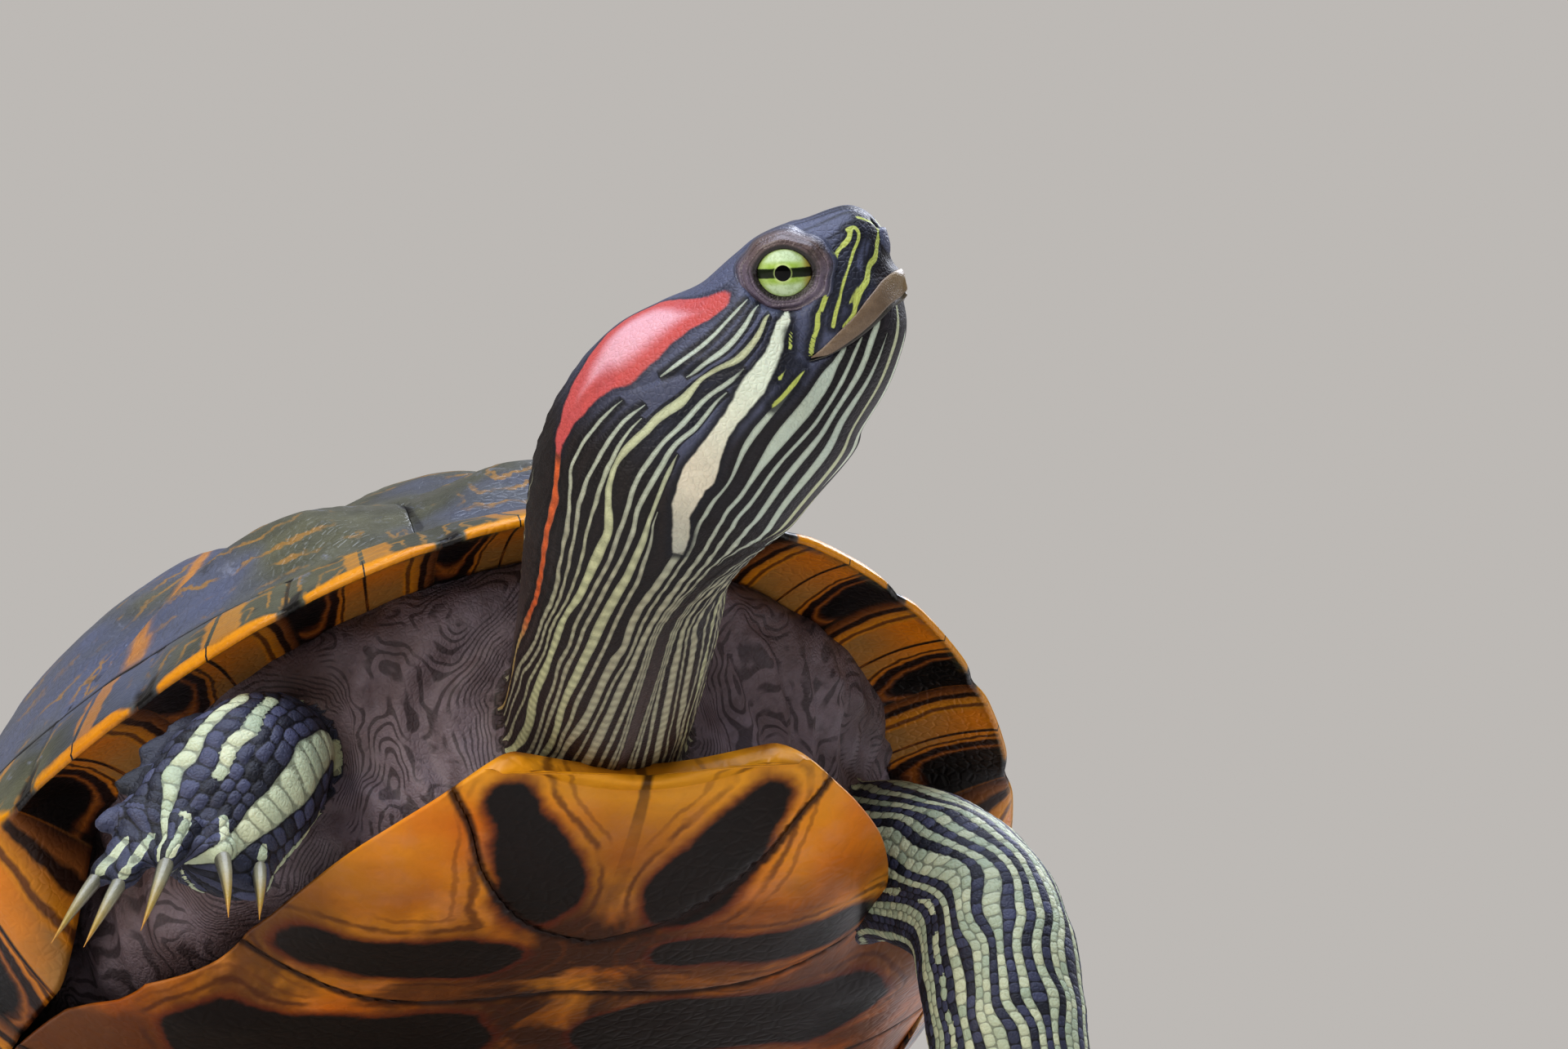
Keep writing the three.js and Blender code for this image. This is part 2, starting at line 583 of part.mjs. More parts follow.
const FORE_NAMES = ["upper_arm", "forearm", "forefoot", "fore_claw"];
const HIND_NAMES = ["thigh", "shank", "hind_foot", "hind_claw"];

limb({
  side: "right",
  names: FORE_NAMES,
  upper: [[-34, -112, 67, 8.6], [-38, -125, 71.5, 8.3], [-39.3, -136.5, 77.6, 7.5]],
  lower: [[-39.4, -138.6, 79.2, 7.3], [-44.1, -144, 74.9, 9.6, 8.0], [-49.8, -148.5, 69, 9.8, 6.2]],
  palm: [[-50.2, -149, 68.6, 9.6, 5.6], [-52.8, -151.5, 65.2, 10.2, 3.8]],
  fingers: [
    [-59.9, -150.5, 66.3, -64.4, -153.0, 62.1, 1.8, 7.0],
    [-58.2, -152.0, 65.9, -62.2, -155.5, 61.6, 1.9, 7.0],
    [-54.5, -153.6, 67.4, -57.0, -157.0, 64.0, 2.0, 7.5],
    [-50.0, -153.5, 68.0, -50.4, -157.0, 64.8, 2.0, 6.2],
    [-44.6, -150.8, 66.9, -45.3, -154.0, 63.8, 1.9, 5.2],
  ],
  up: V(0.1, -0.8, 0.6),
  onFloor: false,
});

limb({
  side: "left",
  names: FORE_NAMES,
  upper: [[34, -108, 62, 10], [42, -124, 67, 10], [49.5, -138, 60.5, 9.8]],
  lower: [[49, -141, 58, 9.6], [50.5, -146, 45, 9.8, 9.4], [51.5, -150, 30, 8.4, 7.0]],
  palm: [[51.7, -150.5, 27, 8.2, 6.6], [53, -153.5, 14, 8.6, 5.4], [55, -160, 3.0, 9.8, 3.6]],
  fingers: [
    [49, -159.5, 2.4, 44, -164.5, 1.6, 1.9, 5.5],
    [52, -162, 2.6, 49.5, -170, 1.7, 2.0, 6.5],
    [55.5, -163, 2.6, 56.5, -172, 1.8, 2.1, 7.0],
    [59, -162, 2.6, 63.5, -170, 1.7, 2.0, 6.5],
    [61, -159.5, 2.4, 68, -164.5, 1.6, 1.9, 5.5],
  ],
  up: V(0, -0.9, 0.4),
  onFloor: true,
});

const hindLeg = (side, sign) => {
  const dz = sign > 0 ? 1 : -3; // the shell leans to the right, so the right leg folds a little lower
  limb({
    side,
    names: HIND_NAMES,
    upper: [[sign * 34, -33, 31 + dz, 11, 7.5], [sign * 56, -40, 30 + dz, 11.6, 8], [sign * 75, -46, 24 + dz, 10.6, 9]],
    lower: [[sign * 76, -44.6, 22 + dz, 9.8], [sign * 82, -36, 15, 8.6], [sign * 86, -28, 9, 7.4, 6.8]],
    palm: [[sign * 86, -28, 7.6, 7.4, 6.4], [sign * 91, -35, 4.6, 9.8, 4.6], [sign * 98, -44, 2.4, 13, 2.8]],
    fingers: [
      [sign * 91, -47.5, 2.2, sign * 93.5, -58, 1.7, 2.0, 5.5],
      [sign * 96.5, -46, 2.3, sign * 102, -58, 1.8, 2.1, 6.0],
      [sign * 101, -43, 2.3, sign * 110, -53, 1.8, 2.1, 6.0],
      [sign * 104.5, -39, 2.2, sign * 115, -45.5, 1.7, 2.0, 5.5],
    ],
    up: V(0, 0, 1),
    onFloor: true,
  });
};
hindLeg("left", 1);
hindLeg("right", -1);

// ---------------------------------------------------------------- tail and trunk
const TAIL = [
  [0, -24, 21, 7.5], [0, -6, 12.2, 6.4], [1, 7, 7.2, 5.4], [5, 22, 4.4, 4.4], [11, 36, 2.8, 3.0], [19, 47, 1.3, 1.5],
];
const tailSolid = tube(TAIL, { sides: 10, rows: 8 }).subtract(floorCut);
add(turtle, "tail", tailSolid.subtract(bodyCut), "skin");
add(shellFrame, "trunk", trunkSolid, "collar");

export default turtle;
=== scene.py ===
"""A life-size red-eared slider turtle with its front raised: skin, shell plates, eyes, beak and claws."""

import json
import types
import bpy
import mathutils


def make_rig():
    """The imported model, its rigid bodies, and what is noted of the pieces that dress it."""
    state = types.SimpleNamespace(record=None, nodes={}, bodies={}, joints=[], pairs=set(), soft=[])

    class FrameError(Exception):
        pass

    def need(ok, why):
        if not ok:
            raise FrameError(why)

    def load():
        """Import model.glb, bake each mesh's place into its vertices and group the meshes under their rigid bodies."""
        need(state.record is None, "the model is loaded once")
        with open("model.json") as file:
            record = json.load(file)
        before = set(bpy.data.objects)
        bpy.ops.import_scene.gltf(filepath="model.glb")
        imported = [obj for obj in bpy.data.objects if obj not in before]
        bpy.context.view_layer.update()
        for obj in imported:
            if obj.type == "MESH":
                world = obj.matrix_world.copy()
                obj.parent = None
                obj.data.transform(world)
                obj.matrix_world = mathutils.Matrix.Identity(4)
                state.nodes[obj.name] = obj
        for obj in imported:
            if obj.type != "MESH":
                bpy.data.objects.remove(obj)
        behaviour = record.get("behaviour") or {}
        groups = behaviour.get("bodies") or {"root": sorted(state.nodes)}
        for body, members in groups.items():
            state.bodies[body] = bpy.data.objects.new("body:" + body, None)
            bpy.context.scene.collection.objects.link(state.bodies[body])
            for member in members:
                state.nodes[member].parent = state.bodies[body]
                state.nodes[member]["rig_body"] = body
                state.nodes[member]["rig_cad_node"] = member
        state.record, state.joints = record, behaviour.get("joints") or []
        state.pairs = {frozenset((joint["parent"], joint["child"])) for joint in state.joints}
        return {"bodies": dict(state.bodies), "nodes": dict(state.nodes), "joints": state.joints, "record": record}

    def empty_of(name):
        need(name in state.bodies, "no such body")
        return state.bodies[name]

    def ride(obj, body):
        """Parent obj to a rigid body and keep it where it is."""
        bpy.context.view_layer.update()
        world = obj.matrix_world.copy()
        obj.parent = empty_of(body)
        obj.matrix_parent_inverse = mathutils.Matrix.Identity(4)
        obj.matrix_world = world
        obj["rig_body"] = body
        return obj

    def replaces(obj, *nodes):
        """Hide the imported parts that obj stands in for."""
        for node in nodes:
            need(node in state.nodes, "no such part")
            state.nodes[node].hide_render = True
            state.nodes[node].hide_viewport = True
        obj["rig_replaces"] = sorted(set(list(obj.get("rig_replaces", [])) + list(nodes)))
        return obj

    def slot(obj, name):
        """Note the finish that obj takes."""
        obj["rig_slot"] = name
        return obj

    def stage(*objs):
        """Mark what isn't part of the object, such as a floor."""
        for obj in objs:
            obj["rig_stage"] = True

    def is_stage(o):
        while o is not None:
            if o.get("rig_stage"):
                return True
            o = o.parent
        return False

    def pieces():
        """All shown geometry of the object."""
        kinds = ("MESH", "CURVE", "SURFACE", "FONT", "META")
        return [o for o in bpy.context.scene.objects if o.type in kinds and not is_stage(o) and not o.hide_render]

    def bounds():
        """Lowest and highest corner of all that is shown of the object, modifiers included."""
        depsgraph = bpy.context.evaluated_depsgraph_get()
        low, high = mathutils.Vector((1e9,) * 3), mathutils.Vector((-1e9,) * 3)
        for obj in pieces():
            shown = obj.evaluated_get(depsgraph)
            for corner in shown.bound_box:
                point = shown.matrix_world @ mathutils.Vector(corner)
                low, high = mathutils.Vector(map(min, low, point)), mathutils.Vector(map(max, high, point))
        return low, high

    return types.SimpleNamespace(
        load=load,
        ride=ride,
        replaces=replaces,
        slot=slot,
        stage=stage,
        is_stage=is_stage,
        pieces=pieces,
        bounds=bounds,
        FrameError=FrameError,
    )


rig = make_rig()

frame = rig.load()

import json
import logging
import math
from dataclasses import dataclass, field
from enum import Enum
from typing import Callable, Optional, Sequence

import bmesh
import bpy
import numpy as np
from mathutils import Matrix, Vector
from mathutils.kdtree import KDTree

SOLID_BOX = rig.bounds()
LOG = logging.getLogger("slider")
Array = np.ndarray
Pairs = Sequence[tuple[float, ...]]
Table = tuple[tuple[float, ...], ...]
Piece, Material = bpy.types.Object, bpy.types.Material
Node, Socket = bpy.types.Node, bpy.types.NodeSocket

MM = 0.001
SIZE_FILE = "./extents.json"
MIRROR = np.array([-1, 1])  # takes plan points of the left half to the right half
HEAD_DEGREE, PATCH_DEGREE = 0.23, 0.21  # millimetres to one degree round the head, and where its patches lie
SCALES_ROUND = 24  # columns of scales round a leg
SCALE_POWER = 3.2  # how square the scales are
HORN_CORNERS = 18  # corners round a claw


# ------------------------------------------------------------------ numbers
def smooth(t: Array) -> Array:
    """A soft step from 0 to 1 as t goes from 0 to 1."""
    t = np.clip(t, 0.0, 1.0)
    return t * t * (3.0 - 2.0 * t)


def mix(a: Array, b: Array, t: Array) -> Array:
    """The value a share t of the way from a to b."""
    return a + (b - a) * t


def joined(*parts: Array) -> Array:
    """Numbers side by side along a new last axis."""
    return np.stack(parts, axis=-1)


def full_turn(count: int) -> Array:
    """Even angles all the way round, in radians."""
    return np.linspace(0, 2 * np.pi, count, endpoint=False)


def bump(x: Array, centre: float, width: float) -> Array:
    """A bell of height 1 round a centre."""
    return np.exp(-(((x - centre) / width) ** 2))


def signed_power(q: Array, exponent: Array) -> Array:
    """A power that keeps the sign of its base."""
    return np.sign(q) * np.abs(q) ** exponent


def unit(v: Array) -> Array:
    """Vectors (in the last axis) brought to length 1."""
    return v / np.maximum(np.linalg.norm(v, axis=-1, keepdims=True), 1e-12)


def curve_at(x: Array, xs: Array, ys: Array) -> Array:
    """Reads a smooth curve through given points.

    Args:
        x: places to read, one-dimensional.
        xs: increasing places of the points.
        ys: values at the points, one row each.

    Returns:
        The values at x, held constant past both ends.
    """
    xs, ys = np.asarray(xs, float), np.asarray(ys, float)
    x = np.clip(np.asarray(x, float), xs[0], xs[-1])
    wide = (-1,) + (1,) * (ys.ndim - 1)
    slope = np.empty_like(ys)
    slope[1:-1] = (ys[2:] - ys[:-2]) / (xs[2:] - xs[:-2]).reshape(wide)
    slope[0] = (ys[1] - ys[0]) / (xs[1] - xs[0])
    slope[-1] = (ys[-1] - ys[-2]) / (xs[-1] - xs[-2])
    i = np.clip(np.searchsorted(xs, x, side="right") - 1, 0, len(xs) - 2)
    h = (xs[i + 1] - xs[i]).reshape(wide)
    t = ((x - xs[i]) / (xs[i + 1] - xs[i])).reshape(wide)
    return (
        (2 * t**3 - 3 * t**2 + 1) * ys[i]
        + (t**3 - 2 * t**2 + t) * h * slope[i]
        + (3 * t**2 - 2 * t**3) * ys[i + 1]
        + (t**3 - t**2) * h * slope[i + 1]
    )


def path_at(x: Array, points: Pairs) -> Array:
    """The second value of a list of (place, value) pairs, read smoothly at x."""
    places, values = np.asarray(points, float).T
    return curve_at(np.ravel(x), places, values).reshape(np.shape(x))


def lattice(cell: Array, seed: int) -> Array:
    """Repeatable random numbers from 0 to 1 for whole-number cells (last axis of length 3)."""
    c = cell.astype(np.int64)
    h = c[..., 0] * 374761393 + c[..., 1] * 668265263 + c[..., 2] * 2147483647 + seed * 1274126177
    h = (h ^ (h >> 13)) * 1274126177
    h = (h ^ (h >> 16)) & 0xFFFFFF
    return h / float(0xFFFFFF)


def noise(points: Array, size: float, seed: int) -> Array:
    """Soft noise from -1 to 1 over points, with features of about a given size."""
    p = points / size
    base = np.floor(p)
    f = p - base
    f = f * f * (3 - 2 * f)
    total = np.zeros(len(points))
    for corner in range(8):
        offset = np.array([corner & 1, corner >> 1 & 1, corner >> 2 & 1])
        weight = np.prod(np.where(offset, f, 1 - f), axis=1)
        total += weight * lattice(base + offset, seed)
    return total * 2 - 1


def cells(points: Array, size: float, seed: int) -> tuple[Array, Array]:
    """Splits space into irregular cells, as small scales lie.

    Args:
        points: places, n by 3.
        size: about the width of a cell.
        seed: number that fixes the pattern.

    Returns:
        How far each point is from its cell's edge, in shares of the size, and its cell's centre.
    """
    p = points / size
    base = np.floor(p)
    first = np.full(len(p), 9.0)
    second = np.full(len(p), 9.0)
    centre = np.zeros_like(p)
    for dx in (-1, 0, 1):
        for dy in (-1, 0, 1):
            for dz in (-1, 0, 1):
                cell = base + np.array([dx, dy, dz])
                at = cell + np.stack([lattice(cell, seed + k) for k in (11, 23, 37)], axis=1) * 0.8 + 0.1
                d = np.linalg.norm(at - p, axis=1)
                nearer = d < first
                second = np.where(nearer, first, np.minimum(second, d))
                first = np.where(nearer, d, first)
                centre[nearer] = at[nearer]
    return (second - first), centre * size


def to_segments(points: Array, segments: Array) -> Array:
    """Distance from points (n by d) to the nearest of m segments (m by 2 by d)."""
    best = np.full(len(points), 1e9)
    for a, b in segments:
        ab, ap = b - a, points - a
        t = np.clip(ap @ ab / max(1e-9, ab @ ab), 0, 1)
        best = np.minimum(best, np.linalg.norm(ap - t[:, None] * ab, axis=1))
    return best


def inside_outline(points: Array, outline: Array) -> Array:
    """True for plane points inside a closed outline."""
    x, y = points[:, 0], points[:, 1]
    inside = np.zeros(len(points), bool)
    for (x0, y0), (x1, y1) in zip(outline, np.roll(outline, -1, axis=0)):
        crosses = (y0 > y) != (y1 > y)
        at = x0 + (y - y0) * (x1 - x0) / (y1 - y0 if y1 != y0 else 1e-9)
        inside ^= crosses & (x < at)
    return inside


def chain(points: Pairs) -> Array:
    """The segments between neighbouring points of an open line."""
    p = np.asarray(points, float)
    return np.stack([p[:-1], p[1:]], axis=1)


def lengths_along(p: Array) -> Array:
    """How far each point of a line lies along it."""
    return np.concatenate([[0], np.cumsum(np.linalg.norm(np.diff(p, axis=0), axis=1))])


def fine_line(points: Pairs, step: float) -> Array:
    """A smooth line through points, cut into short steps."""
    p = np.asarray(points, float)
    run = lengths_along(p)
    return curve_at(np.linspace(0, run[-1], max(2, int(run[-1] / step) + 1)), run, p)


# ------------------------------------------------------------------ meshes
def grid_faces(rows: int, columns: int) -> list[tuple[int, int, int, int]]:
    """Quads between rings of equal length that close on themselves."""
    r = np.arange(rows - 1)[:, None] * columns
    c = np.arange(columns)[None, :]
    n = (c + 1) % columns
    quads = joined(r + c, r + n, r + columns + n, r + columns + c)
    return [tuple(q) for q in quads.reshape(-1, 4).tolist()]


@dataclass
class Body:
    """A closed surface in millimetres: its points and its faces."""

    points: Array
    faces: list[tuple[int, ...]]

    def turned(self) -> "Body":
        """The same body with its faces outward."""
        p = self.points
        volume = 0.0
        for size in (3, 4):
            f = np.array([q for q in self.faces if len(q) == size])
            if len(f):
                a, b, c = p[f[:, 0]], p[f[:, 1]], p[f[:, 2]]
                volume += np.einsum("ij,ij->i", a, np.cross(b, c)).sum()
                if size == 4:
                    d = p[f[:, 3]]
                    volume += np.einsum("ij,ij->i", a, np.cross(c, d)).sum()
        if volume < 0:
            self.faces = [tuple(reversed(q)) for q in self.faces]
        return self


def loft(rings: Sequence[Array]) -> Body:
    """Rings of equal length joined in order, with a point closing each end."""
    count = len(rings[0])
    grid = np.concatenate([np.asarray(r) for r in rings])
    total = len(grid)
    points = np.vstack([grid, rings[0].mean(0), rings[-1].mean(0)])
    faces = grid_faces(len(rings), count)
    last = total - count
    for i in range(count):
        n = (i + 1) % count
        faces.append((total, n, i))
        faces.append((total + 1, last + i, last + n))
    return Body(points, faces).turned()


def ring_of_rings(rings: Array) -> Body:
    """Closed sections joined in a closed round, such as a lid or a rim (shape: sections, points, 3)."""
    sections, count = rings.shape[:2]
    faces = grid_faces(sections + 1, count)
    total = sections * count
    faces = [tuple(i % total for i in q) for q in faces]
    return Body(rings.reshape(-1, 3), faces).turned()


def mesh_object(name: str, body: Body) -> Piece:
    """A Blender object of a body, in metres, smooth shaded."""
    mesh = bpy.data.meshes.new(name)
    mesh.from_pydata((body.points * MM).tolist(), [], body.faces)
    mesh.validate()
    mesh.shade_smooth()
    obj = bpy.data.objects.new(name, mesh)
    bpy.context.scene.collection.objects.link(obj)
    return obj


def points_of(obj: Piece) -> Array:
    """An object's vertices in millimetres."""
    co = np.empty(len(obj.data.vertices) * 3)
    obj.data.vertices.foreach_get("co", co)
    return co.reshape(-1, 3) / MM


def set_points(obj: Piece, points: Array) -> None:
    """Moves an object's vertices to places in millimetres."""
    obj.data.vertices.foreach_set("co", (points * MM).ravel())
    obj.data.update()


def normals_of(obj: Piece) -> Array:
    """An object's vertex normals."""
    out = np.empty(len(obj.data.vertices) * 3)
    obj.data.vertex_normals.foreach_get("vector", out)
    return out.reshape(-1, 3)


def edges_of(obj: Piece) -> Array:
    """The two ends of each of an object's edges, as two rows of vertex numbers."""
    ends = np.empty(len(obj.data.edges) * 2, np.int64)
    obj.data.edges.foreach_get("vertices", ends)
    return ends.reshape(-1, 2).T


def note(obj: Piece, name: str, values: Array) -> None:
    """Keeps a number or a vector for each vertex as a named attribute."""
    kind, key = ("FLOAT", "value") if values.ndim == 1 else ("FLOAT_VECTOR", "vector")
    old = obj.data.attributes.get(name)
    if old:
        obj.data.attributes.remove(old)
    made = obj.data.attributes.new(name, kind, "POINT")
    made.data.foreach_set(key, np.ascontiguousarray(values, np.float32).ravel())


def applied(obj: Piece) -> Piece:
    """The object with its modifiers made part of its mesh."""
    graph = bpy.context.evaluated_depsgraph_get()
    mesh = bpy.data.meshes.new_from_object(obj.evaluated_get(graph))
    obj.modifiers.clear()
    old = obj.data
    obj.data = mesh
    mesh.name = obj.name
    bpy.data.meshes.remove(old)
    return obj


class Cut(Enum):
    """How two solids are combined."""

    JOIN = "UNION"
    KEEP_INSIDE = "INTERSECT"
    TAKE_AWAY = "DIFFERENCE"


def combined(obj: Piece, tool: Piece, how: Cut) -> Piece:
    """Cuts or joins a closed object with another, which is then deleted."""
    modifier = obj.modifiers.new("combine", "BOOLEAN")
    modifier.object = tool
    modifier.operation = how.value
    modifier.solver = "MANIFOLD"
    applied(obj)
    discard(tool)
    return obj


def copy_of(obj: Piece, name: str) -> Piece:
    """A full copy of an object under a new name."""
    other = obj.copy()
    other.data = obj.data.copy()
    other.name = other.data.name = name
    bpy.context.scene.collection.objects.link(other)
    return other


def discard(obj: Piece) -> None:
    """Deletes a helper object and its mesh."""
    mesh = obj.data
    bpy.data.objects.remove(obj)
    bpy.data.meshes.remove(mesh)


def inset(outline: Array, d: float) -> Array:
    """A closed outline, turned counter-clockwise and moved inward by d."""
    area = np.sum(outline[:, 0] * np.roll(outline[:, 1], -1) - np.roll(outline[:, 0], -1) * outline[:, 1])
    if area < 0:
        outline = outline[::-1]
    before, after = np.roll(outline, 1, axis=0), np.roll(outline, -1, axis=0)
    n1 = unit(joined(before[:, 1] - outline[:, 1], outline[:, 0] - before[:, 0]))
    n2 = unit(joined(outline[:, 1] - after[:, 1], after[:, 0] - outline[:, 0]))
    k = d / np.maximum(0.35, 1 + (n1 * n2).sum(1))
    return outline + (n1 + n2) * k[:, None]


def centre_of(outline: Array) -> Array:
    """The middle of a closed outline's area."""
    x, y = outline.T
    cross = x * np.roll(y, -1) - np.roll(x, -1) * y
    total = cross.sum() * 3
    return np.array([((x + np.roll(x, -1)) * cross).sum(), ((y + np.roll(y, -1)) * cross).sum()]) / total


def prism(name: str, outline: Array, low: object, high: float, place: Callable[[Array], Array]) -> Piece:
    """A closed plane outline drawn up between two heights and put in place.

    Args:
        name: the object's name.
        outline: plane points, n by 2.
        low: the lower height, or a function that gives it at plane points, for a lower face that isn't flat.
        high: the upper height.
        place: puts points where they belong.

    Returns:
        The closed object.
    """
    n = len(outline)
    if callable(low):
        middle = centre_of(outline)
        rows = [np.column_stack([outline, low(outline)]), np.column_stack([outline, np.full(n, high)])]
        points = place(np.vstack([*rows, [[*middle, low(middle[None])[0]]]]))
        bottom = [((i + 1) % n, i, 2 * n) for i in range(n)]
    else:
        points = place(np.vstack([np.column_stack([outline, np.full(n, z)]) for z in (low, high)]))
        bottom = [tuple(reversed(range(n)))]
    faces = [(i, (i + 1) % n, n + (i + 1) % n, n + i) for i in range(n)]
    faces += [*bottom, tuple(range(n, 2 * n))]
    obj = mesh_object(name, Body(points, faces))
    triangulate = obj.modifiers.new("triangles", "TRIANGULATE")
    triangulate.min_vertices = 4
    applied(obj)
    p = points_of(obj)
    f = np.array([list(q.vertices) for q in obj.data.polygons])
    if np.einsum("ij,ij->i", p[f[:, 0]], np.cross(p[f[:, 1]], p[f[:, 2]])).sum() < 0:
        obj.data.flip_normals()
    return obj


def remeshed(obj: Piece, size: float, passes: int) -> Piece:
    """Overlapping closed bodies of one object made into one even surface, then softened."""
    remesh = obj.modifiers.new("one_surface", "REMESH")
    remesh.mode = "VOXEL"
    remesh.voxel_size = size * MM
    soften = obj.modifiers.new("soften", "SMOOTH")
    soften.factor = 0.5
    soften.iterations = passes
    applied(obj)
    obj.data.shade_smooth()
    return obj


def merged_bodies(bodies: Sequence[Body]) -> Body:
    """Several bodies listed as one, without joining their surfaces."""
    points, faces, start = [], [], 0
    for b in bodies:
        points.append(b.points)
        faces += [tuple(i + start for i in f) for f in b.faces]
        start += len(b.points)
    return Body(np.vstack(points), faces)


def nearest_index(source: Array, wanted: Array) -> Array:
    """For each wanted point, the number of the nearest source point."""
    tree = KDTree(len(source))
    for i, p in enumerate(source.tolist()):
        tree.insert(p, i)
    tree.balance()
    find = tree.find
    return np.fromiter((find(p)[1] for p in wanted.tolist()), np.int64, len(wanted))


def softened(obj: Piece, share: Array, passes: int) -> None:
    """Smooths an object's surface where share is above 0, by moving points to their neighbours' mean."""
    (a, b), p = edges_of(obj), points_of(obj)
    count = np.bincount(np.concatenate([a, b]), minlength=len(p)).astype(float)[:, None]
    for _ in range(passes):
        total = np.zeros_like(p)
        for k in range(3):
            total[:, k] = np.bincount(a, p[b, k], len(p)) + np.bincount(b, p[a, k], len(p))
        p += (total / np.maximum(count, 1) - p) * share[:, None] * 0.6
    set_points(obj, p)


def finished(obj: Piece, material: Material, slot: str, nodes: Sequence[str] = ()) -> Piece:
    """Gives a piece its material and its slot, lets it stand for its solid nodes, and puts it on the body.

    Args:
        obj: the piece.
        material: its finish.
        slot: the slot that its finish fills.
        nodes: names of the solid nodes that it replaces.

    Returns:
        The piece.
    """
    obj.data.materials.clear()
    obj.data.materials.append(material)
    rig.ride(obj, "root")
    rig.slot(obj, slot)
    if nodes:
        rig.replaces(obj, *nodes)
    return obj


# ------------------------------------------------------------------ shell
@dataclass
class ShellForm:
    """The shell's driving sizes and its surfaces, in its own frame: plastron plane at z 0, head end at -Y."""

    half_width: float = 74.5
    front_reach: float = 108.0
    rear_reach: float = 92.0
    waist_y: float = 8.0
    apex_z: float = 80.0
    front_rim_z: float = 39.5
    bridge_rim_z: float = 25.5
    rear_rim_z: float = 21.0
    wall: float = 3.4
    margin_ratio: float = 0.87
    pitch: float = math.radians(22.0)
    roll: float = math.radians(3.1)
    pivot_y: float = 88.0
    bridge_front: float = -50.0
    bridge_rear: float = 42.0
    bridge_blend: float = 15.0
    front_skirt: float = 16.2
    marginal_seams: tuple[float, ...] = (3.2, 17, 31.5, 46, 60, 74, 88, 102, 117, 132, 148, 164, 180)

    def turn(self) -> Array:
        """The rotation from the shell's frame to the world's."""
        a, b = -self.pitch, -self.roll
        about_x = np.array([[1, 0, 0], [0, math.cos(a), -math.sin(a)], [0, math.sin(a), math.cos(a)]])
        about_y = np.array([[math.cos(b), 0, math.sin(b)], [0, 1, 0], [-math.sin(b), 0, math.cos(b)]])
        return about_x @ about_y

    def to_world(self, p: Array) -> Array:
        """Points of the shell's frame in the world's frame."""
        return (p + np.array([0, -self.pivot_y, 0])) @ self.turn().T

    def to_shell(self, p: Array) -> Array:
        """Points of the world's frame in the shell's frame."""
        return p @ self.turn() + np.array([0, self.pivot_y, 0])

    def rim(self, phi: Array) -> Array:
        """The shell's edge at bearings phi (0 at the front, positive to the animal's left)."""
        c = np.cos(phi)
        reach = np.where(c > 0, self.front_reach, self.rear_reach)
        end_z = np.where(c > 0, self.front_rim_z, self.rear_rim_z)
        z = mix(self.bridge_rim_z, end_z, np.abs(c) ** 2.4)
        return joined(self.half_width * np.sin(phi), self.waist_y - reach * c, z)

    def outward(self, phi: Array) -> Array:
        """Level direction from the shell's middle to its edge."""
        edge = self.rim(phi)
        edge[..., 2] = 0
        edge[..., 1] -= self.waist_y
        return unit(edge)

    def dome(self, phi: Array, r: Array, depth: Array) -> Array:
        """The carapace's outer surface at share r of the way to the rim, lowered by depth."""
        phi, r = np.broadcast_arrays(np.asarray(phi, float), np.asarray(r, float))
        edge = self.rim(phi)
        c = np.cos(phi)
        flare = 2.2 * c * c * np.sin(np.pi * np.clip((r - 0.72) / 0.28, 0, 1))
        fullness = mix(2.5, 1.95, np.maximum(0, c) ** 2)
        rise = (self.apex_z - edge[..., 2]) * (1 - r**fullness)
        x = edge[..., 0] * r
        keel = 1.3 * np.exp(-((x / 5) ** 2)) * (1 - r)
        p = joined(x, mix(self.waist_y, edge[..., 1], r), edge[..., 2] + rise + keel - flare)
        steep = np.clip(r**3, 0, 1) * 0.75
        p = p + self.outward(phi) * (-depth * steep)[..., None]
        p[..., 2] -= depth * (1 - 0.4 * steep)
        return p

    def bridge_share(self, y: Array) -> Array:
        """1 where carapace and plastron join, 0 at the openings."""
        begun = smooth((y - self.bridge_front) / self.bridge_blend)
        return begun * smooth((self.bridge_rear - y) / self.bridge_blend)

    def lip(self, phi: Array) -> Array:
        """The inner edge of the marginals' lower faces."""
        edge = self.rim(phi)
        bridge, front = self.bridge_share(edge[..., 1]), smooth((np.cos(phi) + 0.1) / 0.4)
        p = edge - self.outward(phi) * mix(mix(11.4, self.front_skirt, front), 13.0, bridge)[..., None]
        p[..., 2] -= mix(mix(1.0, -1.2, front), 16.5, bridge)
        return p

    def bearing(self, p: Array) -> tuple[Array, Array, Array]:
        """For points seen from above: bearing, level distance to the rim, and share of the way to it."""
        x, y = p[:, 0], p[:, 1] - self.waist_y
        phi = np.arctan2(x / self.half_width, -y / np.where(y < 0, self.front_reach, self.rear_reach))
        edge = self.rim(phi)
        reach = np.hypot(edge[:, 0], edge[:, 1] - self.waist_y)
        return phi, reach, np.hypot(x, y) / reach

    def skirt_roof(self, plan: Array) -> Array:
        """Height that parts the marginals' lower lips from the scutes above them, at plan points."""
        phi, _, r = self.bearing(plan)
        return mix(40.0, self.rim(phi)[:, 2] + 7.2, np.clip(r / self.margin_ratio, 0, 1.02))

